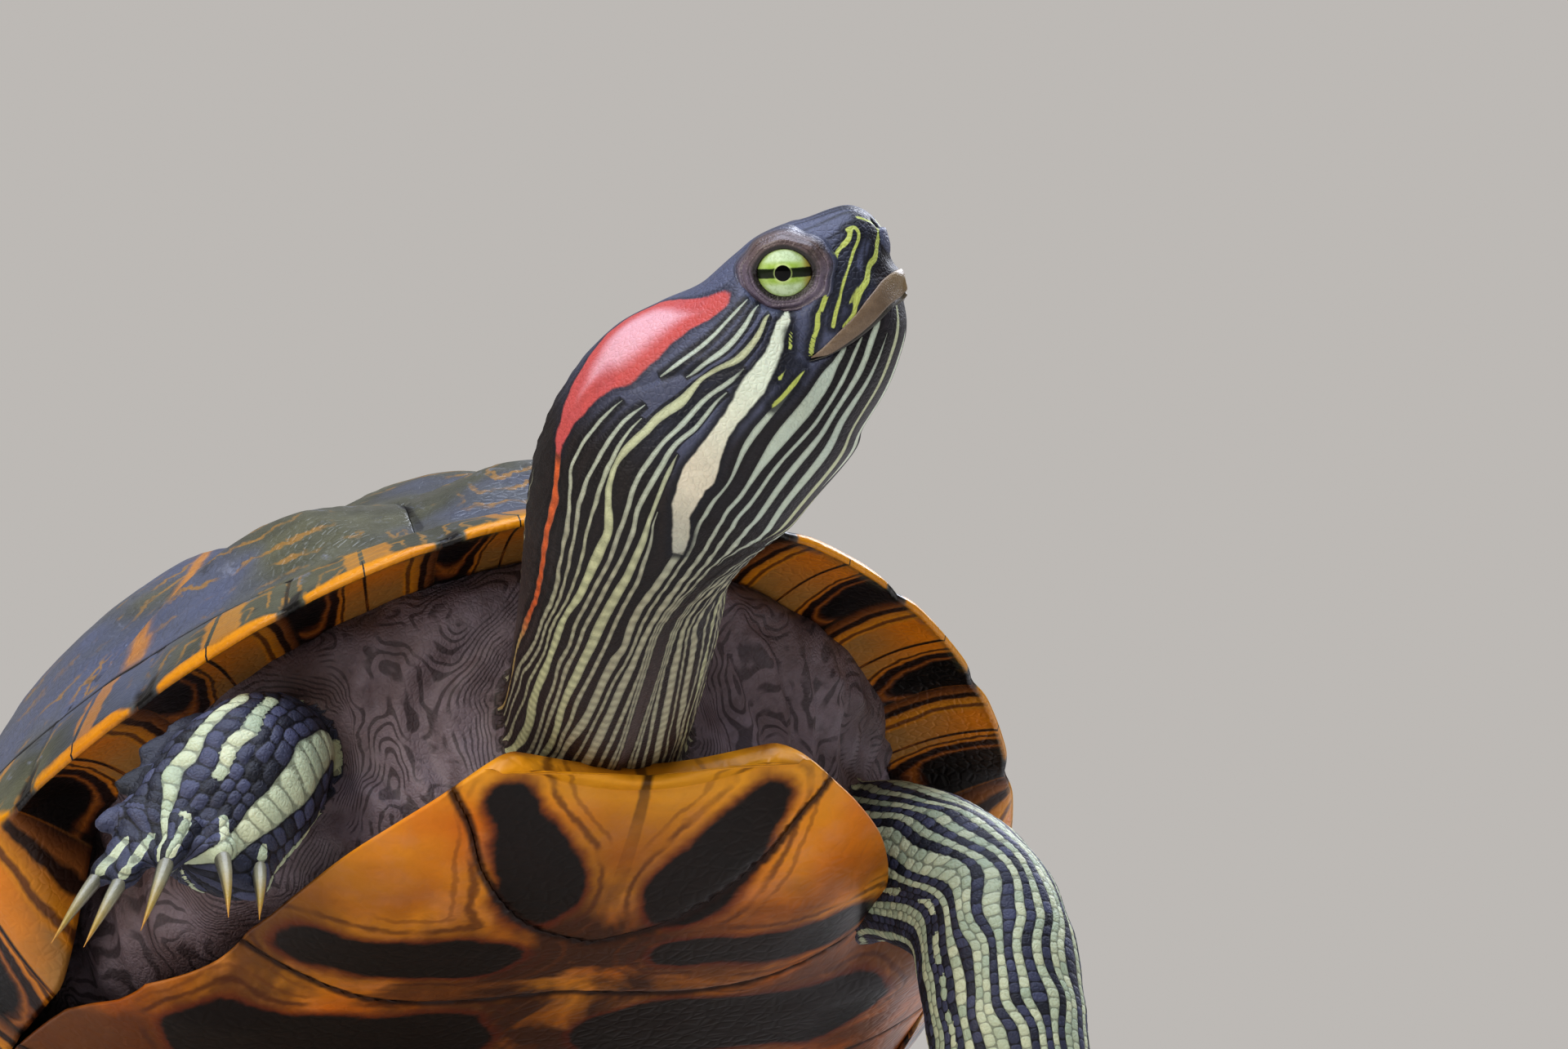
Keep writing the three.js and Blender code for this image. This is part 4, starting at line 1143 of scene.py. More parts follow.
@dataclass
class HeadMarkings:
    """Where the head and neck are striped and patched, by (s, v) with v given for one side."""

    form: HeadForm
    stripes: tuple[Stripe, ...] = (
        Stripe(((0, 8), (30, 6), (46, 12), (107, 14)), ((0, 0), (33, 0), (40, 1.3), (107, 1.8))),
        Stripe(((0, 14), (30, 10), (40, 24), (50, 36), (107, 38)), ((0, 0), (37, 0), (42, 1.4), (107, 1.8))),
        Stripe(((0, 20), (34, 28), (40, 45), (46, 56), (56, 62), (107, 60)), (
            (0, 0), (43, 0), (50, 1.6), (107, 2.0),
        )),
        Stripe(
            (
                (0, 30), (34, 50), (39, 57), (40, 60), (41, 66), (42, 73), (43, 79), (44, 83), (46, 87),
                (48, 91), (50, 95), (52, 97), (54, 97), (56, 94), (60, 91), (64, 88), (68, 84), (76, 80),
                (107, 78),
            ),
            ((0, 0), (37, 0), (39, 3.0), (42, 2.4), (54, 1.9), (66, 1.7), (107, 1.7)), 2.0,
        ),
        Stripe((
            (0, 50), (18, 60), (22, 64), (26, 67), (34, 70), (40, 76), (44, 94), (46, 99), (48, 104),
            (50, 108), (54, 108), (60, 103), (66, 96), (72, 91), (78, 87), (107, 85),
        ),
               ((0, 0), (17, 0), (18, 0.9), (25, 1.1), (29, 0), (33, 0), (37, 0.9), (46, 1.3), (107, 1.5))),
        Stripe((
            (0, 60), (17, 67), (18.5, 71), (20, 73), (23, 73.5), (30, 76), (36, 80), (42, 92), (46, 105),
            (50, 112.5), (54, 112), (60, 108), (66, 101.5), (72, 97), (78, 93), (107, 91),
        ),
               ((0, 0), (16.5, 0), (18, 1.5), (23, 1.2), (26, 0), (31, 0), (35, 0.9), (48, 1.1), (107, 1.4))),
        Stripe((
            (0, 62), (16.5, 72), (20, 77), (23, 76), (30, 79), (36, 85), (42, 99), (46, 112), (50, 118),
            (54, 116), (60, 113), (66, 108), (72, 105.5), (78, 102), (107, 97),
        ),
               ((0, 0), (32, 0), (37, 0.9), (107, 1.2)), 0.3),
        Stripe((
            (0, 45), (4, 57), (8, 74), (12, 84), (14, 79), (16.5, 75), (18, 79), (20, 80.5), (22, 78),
            (23, 77.5), (26, 81), (28, 83), (32, 85), (34, 87.5), (38, 91), (39, 94), (40, 97), (41, 102),
            (42, 108), (43, 113), (44, 115.5), (46, 119.5), (48, 123), (50, 124), (54, 120.5),
            (60, 118.5), (66, 115), (70, 114), (76, 115), (80, 112), (92, 106), (107, 104),
        ),
               (
                   (0, 0), (16, 0), (17, 1.3), (22, 1.6), (25, 2.4), (30, 2.0), (36, 1.6), (41, 2.2),
                   (45, 3.6), (52, 3.3), (60, 3.0), (68, 3.6), (76, 5.0), (107, 4.5),
               ), 0.5),
        Stripe((
            (0, 48), (4, 59), (6, 63), (7, 71), (8, 79), (9, 83.5), (10, 86.5), (11.5, 89.5), (13, 92),
            (14, 90), (16, 80), (18, 83), (22, 86), (26, 88), (30, 92), (34, 96), (38, 102), (42, 115),
            (46, 126), (50, 130), (54, 129), (60, 126.5), (66, 124.5), (72, 123), (78, 122), (107, 111),
        ),
               ((0, 0), (19, 0), (22, 0.9), (40, 1.1), (107, 1.3))),
        Stripe((
            (0, 51), (3.6, 60), (4.5, 61), (5.5, 63.5), (6.2, 67), (6.8, 73), (7.4, 77.5), (8, 82),
            (9, 86.5), (10, 89.5), (12, 94.5), (13.2, 96.5), (14, 93), (16, 82.5), (20, 87), (24, 90.5),
            (28, 95), (32, 98.5), (36, 104), (40, 113), (42, 121), (46, 131), (50, 135.5), (54, 134.5),
            (60, 131), (66, 129.5), (72, 127.5), (80, 126), (107, 117),
        ),
               ((0, 0), (22, 0), (26, 0.9), (44, 1.2), (107, 1.3))),
        Stripe((
            (0, 54), (2.2, 60), (2.6, 72), (3.6, 78), (5, 81.5), (6.5, 85.5), (8, 90), (10, 94.3),
            (12, 98), (13.2, 99), (14, 96), (16, 85), (24, 92), (30, 99), (36, 108), (40, 120), (42, 127),
            (44, 133), (46, 138), (50, 142), (54, 142), (58, 139), (64, 136), (68, 134), (72, 135),
            (80, 131), (107, 124),
        ),
               ((0, 0), (32, 0), (36, 1.0), (44, 2.0), (54, 2.8), (68, 2.4), (107, 2.6)), 0.4),
        Stripe((
            (0, 57), (2, 65), (2.6, 77), (4, 85.5), (6, 89), (8, 93.8), (10, 97.6), (12, 101), (13, 102),
            (14, 99), (16, 87.5), (26, 94), (32, 101), (38, 113), (42, 131), (44, 138), (46, 144),
            (50, 148.5), (54, 149.5), (58, 147), (64, 143), (72, 140.5), (80, 137), (107, 130),
        ),
               ((0, 0), (38, 0), (44, 1.1), (107, 1.3))),
        Stripe((
            (0, 60), (1.1, 66), (1.5, 80), (2.2, 91), (4, 96), (6, 98), (8, 100), (10, 101.8), (12, 104),
            (13.2, 104.6), (14, 101.5), (16, 90.5), (20, 93), (26, 103), (30, 110.5), (34, 115.5),
            (38, 126), (40, 137), (42, 145.5), (44, 151), (46, 154.5), (50, 158), (54, 160), (56, 157),
            (60, 154), (66, 151), (70, 147.5), (76, 143), (107, 136),
        ),
               ((0, 0), (38, 0), (40, 2.8), (48, 2.6), (60, 2.8), (72, 3.4), (107, 3.0))),
        Stripe((
            (0, 72), (2.2, 97), (8, 104.4), (12, 107), (14, 104.5), (16, 102.5), (19, 104), (21, 107),
            (23, 110), (25, 114), (27, 119), (30, 124), (34, 129), (38, 137), (42, 151), (46, 160),
            (50, 164), (54, 165), (60, 160), (66, 157), (72, 154), (80, 150), (107, 142),
        ),
               ((0, 0), (17, 0), (19, 1.4), (24, 1.8), (28, 0.8), (36, 0.9), (107, 1.2))),
        Stripe((
            (0, 82), (2.2, 104), (8, 108), (11, 110.5), (14, 113.5), (18, 117), (22, 121), (26, 128),
            (30, 133), (34, 137), (38, 146), (42, 158), (46, 166), (50, 169.5), (56, 168), (62, 165),
            (72, 161), (80, 157), (107, 149),
        ),
               (
                   (0, 0), (10.5, 0), (11.5, 2.2), (14, 4.4), (20, 4.2), (24, 3.2), (27, 1.5), (40, 1.2),
                   (56, 2.6), (107, 2.4),
               )),
        Stripe((
            (0, 115), (9, 117), (14, 124), (18, 128), (22, 131), (26, 136), (30, 140), (34, 144), (38, 153),
            (42, 164), (46, 171), (50, 174), (62, 172), (80, 166), (107, 157),
        ),
               ((0, 0), (8.5, 0), (10, 1.4), (22, 1.2), (40, 1.2), (107, 1.4))),
        Stripe((
            (0, 124), (7, 124), (11, 129), (14, 132), (18, 136), (22, 140), (26, 145), (30, 149), (34, 154),
            (38, 162), (42, 170), (50, 178), (107, 165),
        ),
               ((0, 0), (5.5, 0), (7, 2.6), (12, 2.2), (18, 1.8), (24, 2.2), (34, 1.6), (107, 2.6))),
        Stripe(((0, 135), (6, 137), (14, 142), (18, 146), (24, 154), (30, 160), (38, 171), (107, 174)),
               ((0, 0), (6, 0), (9, 1.4), (18, 3.2), (26, 2.8), (36, 1.8), (44, 0), (60, 2.4), (107, 2.6))),
        Stripe(((0, 150), (6, 154), (14, 158), (22, 166), (30, 173), (107, 190)),
               ((0, 0), (5, 3.5), (9, 3.0), (14, 1.8), (22, 2.4), (30, 2.2), (38, 0), (107, 0)), 1.0),
    )
    # lines that cross the columns of the surface: round the snout, and short ones behind the mouth's corner
    snout_lines: tuple[tuple[Table, float], ...] = (
        (((1.9, 43), (1.2, 43), (0.8, 41), (0.3, 40), (0.0, 57)), 0.22),
        (((0.3, 42), (0.0, 57), (0.1, 80), (0.5, 93), (1.3, 102), (3.3, 101), (6.0, 97), (7.3, 99)), 0.36),
        (((6.0, 97), (7.3, 99), (8.3, 102), (9.8, 102)), 0.27),
        ((
            (3.6, 56), (2.7, 58), (2.3, 64), (2.3, 71), (2.9, 77), (4.3, 79), (6.1, 83), (7.3, 87), (8.8, 91),
            (9.9, 94), (10.8, 97),
        ), 0.24),
        (((3.3, 60), (3.9, 65), (5.0, 65.5)), 0.34),
        (((4.4, 65), (5.8, 66.5), (6.5, 70), (7.2, 75), (8.2, 79)), 0.22),
        (((9.0, 85), (10.9, 89.5), (11.6, 90), (12.2, 92), (13.0, 94), (13.8, 96), (14.6, 99)), 0.28),
        (((5.0, 89), (6.4, 92), (8.0, 96)), 0.07),
        (((15.2, 88), (16.6, 92), (18.4, 96.5)), 0.2),
        (((16.2, 101), (18.2, 103), (20.2, 104)), 0.24),
    )
    patch_upper: Table = (
        (18.3, 42), (19, 38), (20, 32), (22, 22), (24, 17), (26, 13), (28, 13), (30, 15), (32, 20), (34, 28),
        (36, 36), (38, 45), (39, 52), (40, 57.5), (41, 63),
    )
    patch_lower: Table = (
        (41, 68), (40, 64), (39, 61.5), (38, 61.5), (36, 61), (34, 62), (32, 65), (30, 63), (28, 60),
        (26, 57), (24, 54), (22, 51), (20, 52), (18.5, 53), (18.1, 48),
    )
    broad_upper: Table = (
        (14.3, 80), (16, 80.5), (18, 86), (20, 88), (22, 91), (24, 95), (26, 99), (28, 102), (30, 104),
        (32, 106), (34, 109), (36, 114), (38, 121), (40, 132), (42, 143),
    )
    broad_lower: Table = (
        (42, 149), (40, 141), (38, 131), (36, 126), (34, 122.5), (32, 121), (30, 117), (28, 112), (26, 107),
        (24, 102.5), (22, 99.5), (20, 97), (18, 92), (16, 87.5), (14, 84),
    )

    def outline(self, places: Array, upper: Pairs, lower: Pairs) -> Array:
        """Signed distance in millimetres to a closed patch, negative inside, for one side's places."""
        ring = np.array([*upper, *lower], float)
        inside = inside_outline(places, ring)
        per_degree = np.array([1, PATCH_DEGREE])
        near = to_segments(places * per_degree, chain(np.vstack([ring, ring[:1]]) * per_degree))
        return np.where(inside, -near, near)

    def layout(self, s: Array, scale: Array) -> tuple[Array, Array]:
        """Places the columns along the stripes, so that each stripe's middle and edges run along one column.

        Args:
            s: one distance for each ring.
            scale: millimetres to one degree round each ring.

        Returns:
            Degrees for one side (rings by columns, 0 to 180), and for each of them the margin in millimetres
            (positive inside a stripe), the stripe's tone and the stripe's number.
        """
        centre = np.stack([path_at(s, stripe.path) for stripe in self.stripes], axis=1)
        wide = np.stack([np.maximum(0, path_at(s, stripe.width)) for stripe in self.stripes], axis=1)
        tones = [stripe.tone for stripe in self.stripes]
        count = centre.shape[1]
        step = 2.3 * np.arange(count)
        centre = np.maximum.accumulate(centre - step, axis=1) + step
        centre = np.minimum(centre, 177.5 - 1.5 * (count - 1 - np.arange(count)))
        shut = np.pad(centre, ((0, 0), (1, 1)), constant_values=(0, 180))
        room = np.minimum(shut[:, 1:-1] - shut[:, :-2], shut[:, 2:] - shut[:, 1:-1])
        wide = np.minimum(wide, 0.42 * room)
        edge = np.maximum(wide, 0.16 * np.minimum(room, 2.4))
        wide = np.where(wide > 0.08, wide, np.where(centre < 55, -3.6, -6.0))
        v, margin, tone, number = [], [], [], []

        def column(at: Array, stripe: int, inside: Array) -> None:
            """Adds one column."""
            v.append(at)
            margin.append(inside * scale)
            tone.append(np.where((s < 15.2) | (tones[stripe] < 2.5), tones[stripe], 0.0))
            number.append(np.full(len(s), float(stripe)))

        for k in range(count + 1):
            low = centre[:, k - 1] + edge[:, k - 1] if k else np.zeros(len(s))
            high = centre[:, k] - edge[:, k] if k < count else np.full(len(s), 180.0)
            gap = (high - low) * scale
            steps = int(np.clip(round(np.percentile(gap, 70) / 0.52), 1, 9)) + 1
            for j in range(0 if k == 0 else 1, steps + (1 if k == count else 0)):
                at = low + (high - low) * j / steps
                below = at - centre[:, k - 1] - wide[:, k - 1] if k else np.full(len(s), 99.0)
                above = centre[:, k] - wide[:, k] - at if k < count else np.full(len(s), 99.0)
                column(at, k - 1 if k == count or (k and j * 2 < steps) else k, -np.minimum(below, above))
            if k < count:
                column(high, k, wide[:, k] - edge[:, k])
                column(centre[:, k], k, wide[:, k])
                column(centre[:, k] + edge[:, k], k, wide[:, k] - edge[:, k])
        return np.stack(v, 1), np.stack([np.stack(a, 1) for a in (margin, tone, number)], axis=2)


@dataclass
class HeadAndNeck:
    """The head and neck as one closed surface with its mouth, sockets, nostrils and folds."""

    form: HeadForm
    markings: HeadMarkings
    mouth: Table = (
        (1.3, -4.5), (1.7, -4.9), (2.7, -5.0), (4.2, -5.35), (5.6, -5.75), (7.5, -6.05), (9.3, -6.15),
        (11.1, -6.15), (13.1, -5.75), (15.3, -5.9),
    )
    nostril: tuple[float, float, float] = (1.15, -0.25, 3.5)

    def stations(self) -> Array:
        """Distances of the rings, closest on the head."""
        spans = ((0, 19, 0.27), (19, 60, 0.46), (60, self.form.run[-1], 0.85))
        return np.concatenate([np.arange(*span) for span in spans])

    def relief(self, s: Array, v: Array, p: Array) -> Array:
        """How far the surface stands out from the plain form: brow, cheek, folds and creases."""
        a, own = np.abs(v), self.form.own(p)
        per_degree = np.array([1, HEAD_DEGREE])
        flat = joined(s, a) * per_degree
        out = 0.55 * bump(s, 12.0, 4.5) * bump(a, 27, 13) - 0.9 * bump(s, 0.3, 1.7) * bump(a, 0, 62)
        out -= 0.45 * bump(s, 5.6, 2.4) * bump(a, 68, 20)
        out += 0.5 * bump(s, 29, 8) * bump(a, 42, 24)
        out += 0.5 * bump(s, 19.5, 4) * bump(a, 104, 14)
        out -= 0.35 * bump(s, 10.5, 4.5) * bump(a, 118, 8)
        out += 0.3 * bump(s, 9, 5) * bump(a, 140, 18)
        line = fine_line(self.mouth, 0.4)
        near = to_segments(own[:, 1:], chain(line))
        lower_half = smooth((own[:, 2] + 30) / 5)
        out -= 0.85 * np.exp(-((near / 0.26) ** 2)) * (own[:, 1] < 16.2) * (own[:, 1] > 0.7) * lower_half
        line = np.array([(20.6, 83), (22, 79), (24, 75), (26, 71), (28.5, 68.5), (31, 69)])
        ear = to_segments(flat, chain(line * per_degree))
        out -= 0.28 * np.exp(-((ear / 0.3) ** 2))
        drum = np.hypot(s - 25.5, (a - 86) * HEAD_DEGREE)
        out += 0.14 * np.exp(-((np.abs(drum - 4.4) / 0.7) ** 2)) - 0.18 * smooth(1 - drum / 4.2)
        on_neck = smooth((s - 24) / 16)
        long = joined(s * 0.06 + 3, a * 0.105, np.sign(v) * 2.0)
        out += on_neck * (0.20 * noise(long, 0.55, 21) + 0.14 * noise(long, 0.27, 22))
        across = np.sin(s * 2 * np.pi / 1.9 + 2.2 * noise(joined(s * 0.2, a * 0.05, np.sign(v)), 0.8, 23))
        out += 0.07 * across * smooth((s - 30) / 10) * (0.4 + 0.6 * bump(s, 46, 12))
        out += 0.8 * bump(s, 44, 6) * bump(a, 8, 40) * 0.4
        jowl = bump(s, 22, 6) * bump(a, 165, 26)
        out += 0.5 * jowl
        line = np.array([(30, 118), (34, 108), (37, 96), (39, 84)])
        fold = to_segments(flat, chain(line * per_degree))
        out -= 0.22 * np.exp(-((fold / 0.5) ** 2))
        return out

    def sockets(self, p: Array) -> Array:
        """Presses the surface in under the eyes and into the nostrils."""
        own = self.form.own(p)
        for sign in (1, -1):
            centre = np.array([self.form.eye_side * sign, self.form.eye_back, self.form.eye_up])
            d = own - centre
            lateral = d[:, 0] * sign
            flat = np.hypot((0.84 * d[:, 1] + 0.545 * d[:, 2]) / 1.12, -0.545 * d[:, 1] + 0.84 * d[:, 2])
            share = smooth((4.5 - flat) / 0.8) * (lateral > 0)
            own[:, 0] = mix(own[:, 0], sign * np.minimum(own[:, 0] * sign, self.form.eye_side + 1.2), share)
            hole = np.array([self.nostril[0] * sign, self.nostril[1], self.nostril[2]])
            e = own - hole
            pit = np.exp(-((e[:, 0] ** 2 + e[:, 2] ** 2) / 0.42**2)) * (np.abs(e[:, 1]) < 2)
            own[:, 1] += 0.9 * pit
        return self.form.world(self.form.leaned(own))

    def build(self) -> tuple[Body, dict[str, Array]]:
        """Makes the surface.

        Returns:
            The closed body, and for each of its points the marks that the finish reads.
        """
        f, m = self.form, self.markings
        s_rows = self.stations()
        radius = (curve_at(s_rows, f.run, f.half) + curve_at(s_rows, f.run, f.tall)) / 2
        side_v, side_marks = m.layout(s_rows, np.radians(1) * radius)
        columns = side_v.shape[1] * 2 - 2
        side_s, swing = np.broadcast_to(s_rows[:, None], side_v.shape), []
        for sign in (-1, 1):
            at = joined(side_s * 0.25, side_v * 0.08, np.full(side_v.shape, 3.0 * sign))
            wave = noise(at.reshape(-1, 3), 1.0, 31).reshape(side_v.shape)
            swing.append(wave * np.sin(np.radians(side_v)) * smooth((s_rows - 14) / 8)[:, None] * 1.3)
        v = np.hstack([-(side_v + swing[0])[:, ::-1], (side_v + swing[1])[:, 1:-1]]).ravel()
        flow = np.concatenate([side_marks[:, ::-1], side_marks[:, 1:-1]], axis=1).reshape(-1, 3)
        s = np.repeat(s_rows, columns)
        plain, out = f.surface(s, v)
        p = plain + out * self.relief(s, v, plain)[:, None]
        p = self.sockets(p)
        places = joined(s, np.abs(v))
        patch = m.outline(places, m.patch_upper, m.patch_lower)
        broad = m.outline(places, m.broad_upper, m.broad_lower)
        line = np.full(len(s), 9.0)
        chin_edge = path_at(s, ((0, -2.0), (4, -0.8), (6.5, 0.7), (14, 0.8), (22, 0.55), (29, -0.8)))
        broad = np.minimum(broad, (180 - places[:, 1]) * PATCH_DEGREE - chin_edge)
        for path, width in m.snout_lines:
            fine = fine_line(path, 0.5)
            for sign in (1, -1):
                on, _ = f.surface(fine[:, 0], fine[:, 1] * sign)
                line = np.minimum(line, to_segments(plain, chain(on)) - width)
        rings = p.reshape(len(s_rows), columns, 3)
        throat = (bump(s, 21.5, 7) * bump(np.abs(v), 180, 55)).reshape(rings.shape[:2])[:, :, None]
        for _ in range(40):  # the rings crowd at the throat, where the neck bends
            even = rings.copy()
            even[1:-1] = (rings[:-2] + 2 * rings[1:-1] + rings[2:]) / 4
            rings = mix(rings, even, np.clip(throat * 1.6, 0, 1))
        middle, first = rings[0].mean(0), rings[0]
        closing = ((0.3, 0.62), (0.62, 0.5), (0.87, 0.24))
        tip = [middle + (first - middle) * k + f.forward * d for k, d in closing]
        body = loft([*tip, *rings])
        lead = 3 * columns
        pad = lambda a, end: np.concatenate([np.repeat(end, lead, axis=0), a, end, a[-1:]])
        marks = {
            "flow": pad(flow, flow[:1]),
            "marks": pad(joined(patch, broad, line), np.full((1, 3), 9.0)),
            "place": pad(joined(s, v, np.zeros(len(s))), np.zeros((1, 3))),
        }
        return body, marks


# ------------------------------------------------------------------ trunk, limbs and tail
@dataclass
class Trunk:
    """The body between the shells, whose wall is the loose skin of the openings."""

    form: ShellForm
    head: HeadForm
    around: int = 300
    clear: float = 1.5

    def floor_point(self, phi: Array, r: Array) -> Array:
        """A point just above the plastron."""
        edge = self.form.rim(phi)
        x, y = edge[:, 0] * r, mix(self.form.waist_y, edge[:, 1], r)
        under = self.form.plastron_under
        z = np.maximum(under(x, y), under(x * 1.04, y)) + 4.9 + self.clear
        return joined(x, y, z)

    def build(self) -> Body:
        """The trunk as one closed body with the folds of its collar."""
        f = self.form
        phi = full_turn(self.around)
        reach = mix(0.765, 0.83, np.maximum(0, np.cos(phi)) ** 3)
        edge, lip = f.rim(phi), f.lip(phi)
        share = np.hypot(lip[:, 0], lip[:, 1] - f.waist_y) / np.hypot(edge[:, 0], edge[:, 1] - f.waist_y)
        most = mix(0.05, 0.09, smooth(np.cos(phi) * 4))
        flare = np.clip(share + 0.02 - reach, 0, most) * (1 - f.bridge_share(edge[:, 1]))
        bulge = ((0, -0.04), (0.08, -0.005), (0.25, 0.01), (0.55, 0.0), (0.85, 0.03), (1, -0.01))
        roof = f.wall + self.clear
        rings = [self.floor_point(phi, np.full(self.around, 0.4))]
        rings += [self.floor_point(phi, reach - k) for k in (0.2, 0.1, 0.06)]
        for t in np.linspace(0.04, 0.97, 46):
            more = path_at(np.array([t]), bulge)[0]
            here = reach + more + flare * smooth((t - 0.25) / 0.42)
            low, high = self.floor_point(phi, here), f.dome(phi, here, np.full(self.around, roof + 0.6))
            rings.append(mix(low, high, t))
        rings += [f.dome(phi, reach - k, np.full(self.around, roof)) for k in (0.04, 0.1)]
        rings.append(f.dome(phi, np.full(self.around, 0.42), np.full(self.around, roof)))
        body = loft(rings)
        body.points[-2] = self.floor_point(np.zeros(1), np.zeros(1))[0]
        body.points[-1] = f.dome(0.0, 0.0, np.float64(roof))
        p = f.to_world(body.points)
        wall = np.zeros(len(p))
        wall[self.around * 4 : self.around * 50] = 1
        out = f.outward(np.concatenate([np.tile(phi, len(rings)), [0, 0]])) @ f.turn().T
        root = self.head.centres[-3]
        away = np.linalg.norm(p - root, axis=1) + 3.0 * noise(p, 16, 41) + 1.2 * noise(p, 6, 42)
        front = smooth((-p[:, 1] - 84) / 20)
        height = np.concatenate([np.repeat(np.linspace(0, 1, len(rings)), self.around), [0, 1]])
        calm = 1 - 0.75 * smooth((height - 0.55) / 0.25)
        folds = (0.9 * np.sin(away * 2 * np.pi / 6.4) * front + 0.7 * noise(p, 11, 43)) * calm
        folds += 0.35 * noise(p * np.array([1, 1, 2.0]), 4.2, 44)
        body.points = p + out * ((folds - 0.4) * wall)[:, None]
        return body


@dataclass
class LimbPlan:
    """One leg: stations (x, y, z, side half width, up half height), toes and its outward direction."""

    name: str
    side: str
    upper: Pairs
    lower: Pairs
    palm: Pairs
    toes: Pairs  # base x y z, tip x y z, radius, claw length
    up: tuple[float, float, float]
    on_floor: bool
    voxel: float
    scale_size: float
    phase: float  # bearing of column 0 of the scales, in degrees from the outer face
    stripes: Pairs  # first and last column of scales, start and end along it in millimetres, broken or not
    web: float = 0.62
    flaps: int = 0
    broad: Optional[float] = None  # place round the leg, in columns, of a column of broad plates
    fine: int = 1  # how many times finer the scales are round the leg

    @property
    def fore(self) -> bool:
        """True for a foreleg."""
        return self.name == "fore"

    def node_names(self) -> list[str]:
        """The flesh nodes of this leg."""
        parts = ("upper_arm", "forearm", "forefoot") if self.fore else ("thigh", "shank", "hind_foot")
        return [f"{part}_{self.side}" for part in parts]


def tube(stations: Array, up: Array, around: int, rows: int, ends: tuple[float, float] = (0.9, 0.9)) -> Body:
    """A rounded tube through stations.

    Args:
        stations: rows of x, y, z, side half width and up half height (as the side's if left out).
        up: the way the tube's upper side faces.
        around: points in each ring.
        rows: rings between the ends.
        ends: how far each end is domed, in shares of its radius.

    Returns:
        The closed body.
    """
    st = np.array([s if len(s) > 4 else (*s, s[3]) for s in stations], float)
    run = lengths_along(st[:, :3])
    at = np.linspace(0, run[-1], rows)
    read = curve_at(at, run, st)
    centre = read[:, :3]
    along = unit(np.gradient(centre, axis=0))
    across = unit(np.cross(along, up))
    upward = np.cross(across, along)
    a = full_turn(around)
    ring = lambda i, k, shift: (
        centre[i] + along[i] * shift
        + across[i] * (np.cos(a) * read[i, 3] * k)[:, None]
        + upward[i] * (np.sin(a) * read[i, 4] * k)[:, None]
    )
    caps = [(math.sin(t), math.cos(t)) for t in np.linspace(0.25, 1.3, 4)]
    first, last = min(read[0, 3:5]), min(read[-1, 3:5])
    rings = [ring(0, k, -first * ends[0] * c) for k, c in caps]
    rings += [ring(i, 1, 0) for i in range(rows)]
    rings += [ring(rows - 1, k, last * ends[1] * c) for k, c in caps[::-1]]
    return loft(rings)


def scale_pattern(turn: Array, b: Array, around: int) -> tuple[Array, Array, Array]:
    """Staggered rows of rounded scales.

    Args:
        turn: place round the limb in columns.
        b: place along it in rows.
        around: columns in all.

    Returns:
        Height (1 in the middle of a scale, 0 at its edge), and the scale's column and row.
    """
    column = np.round(turn)
    shifted = b + 0.5 * (column % 2)
    row = np.round(shifted)
    x, y = np.abs(2 * (turn - column)), np.abs(2 * (shifted - row))
    column = (column + around / 2) % around - around / 2
    return 1 - (x**SCALE_POWER + y**SCALE_POWER) ** (1 / SCALE_POWER), column, row


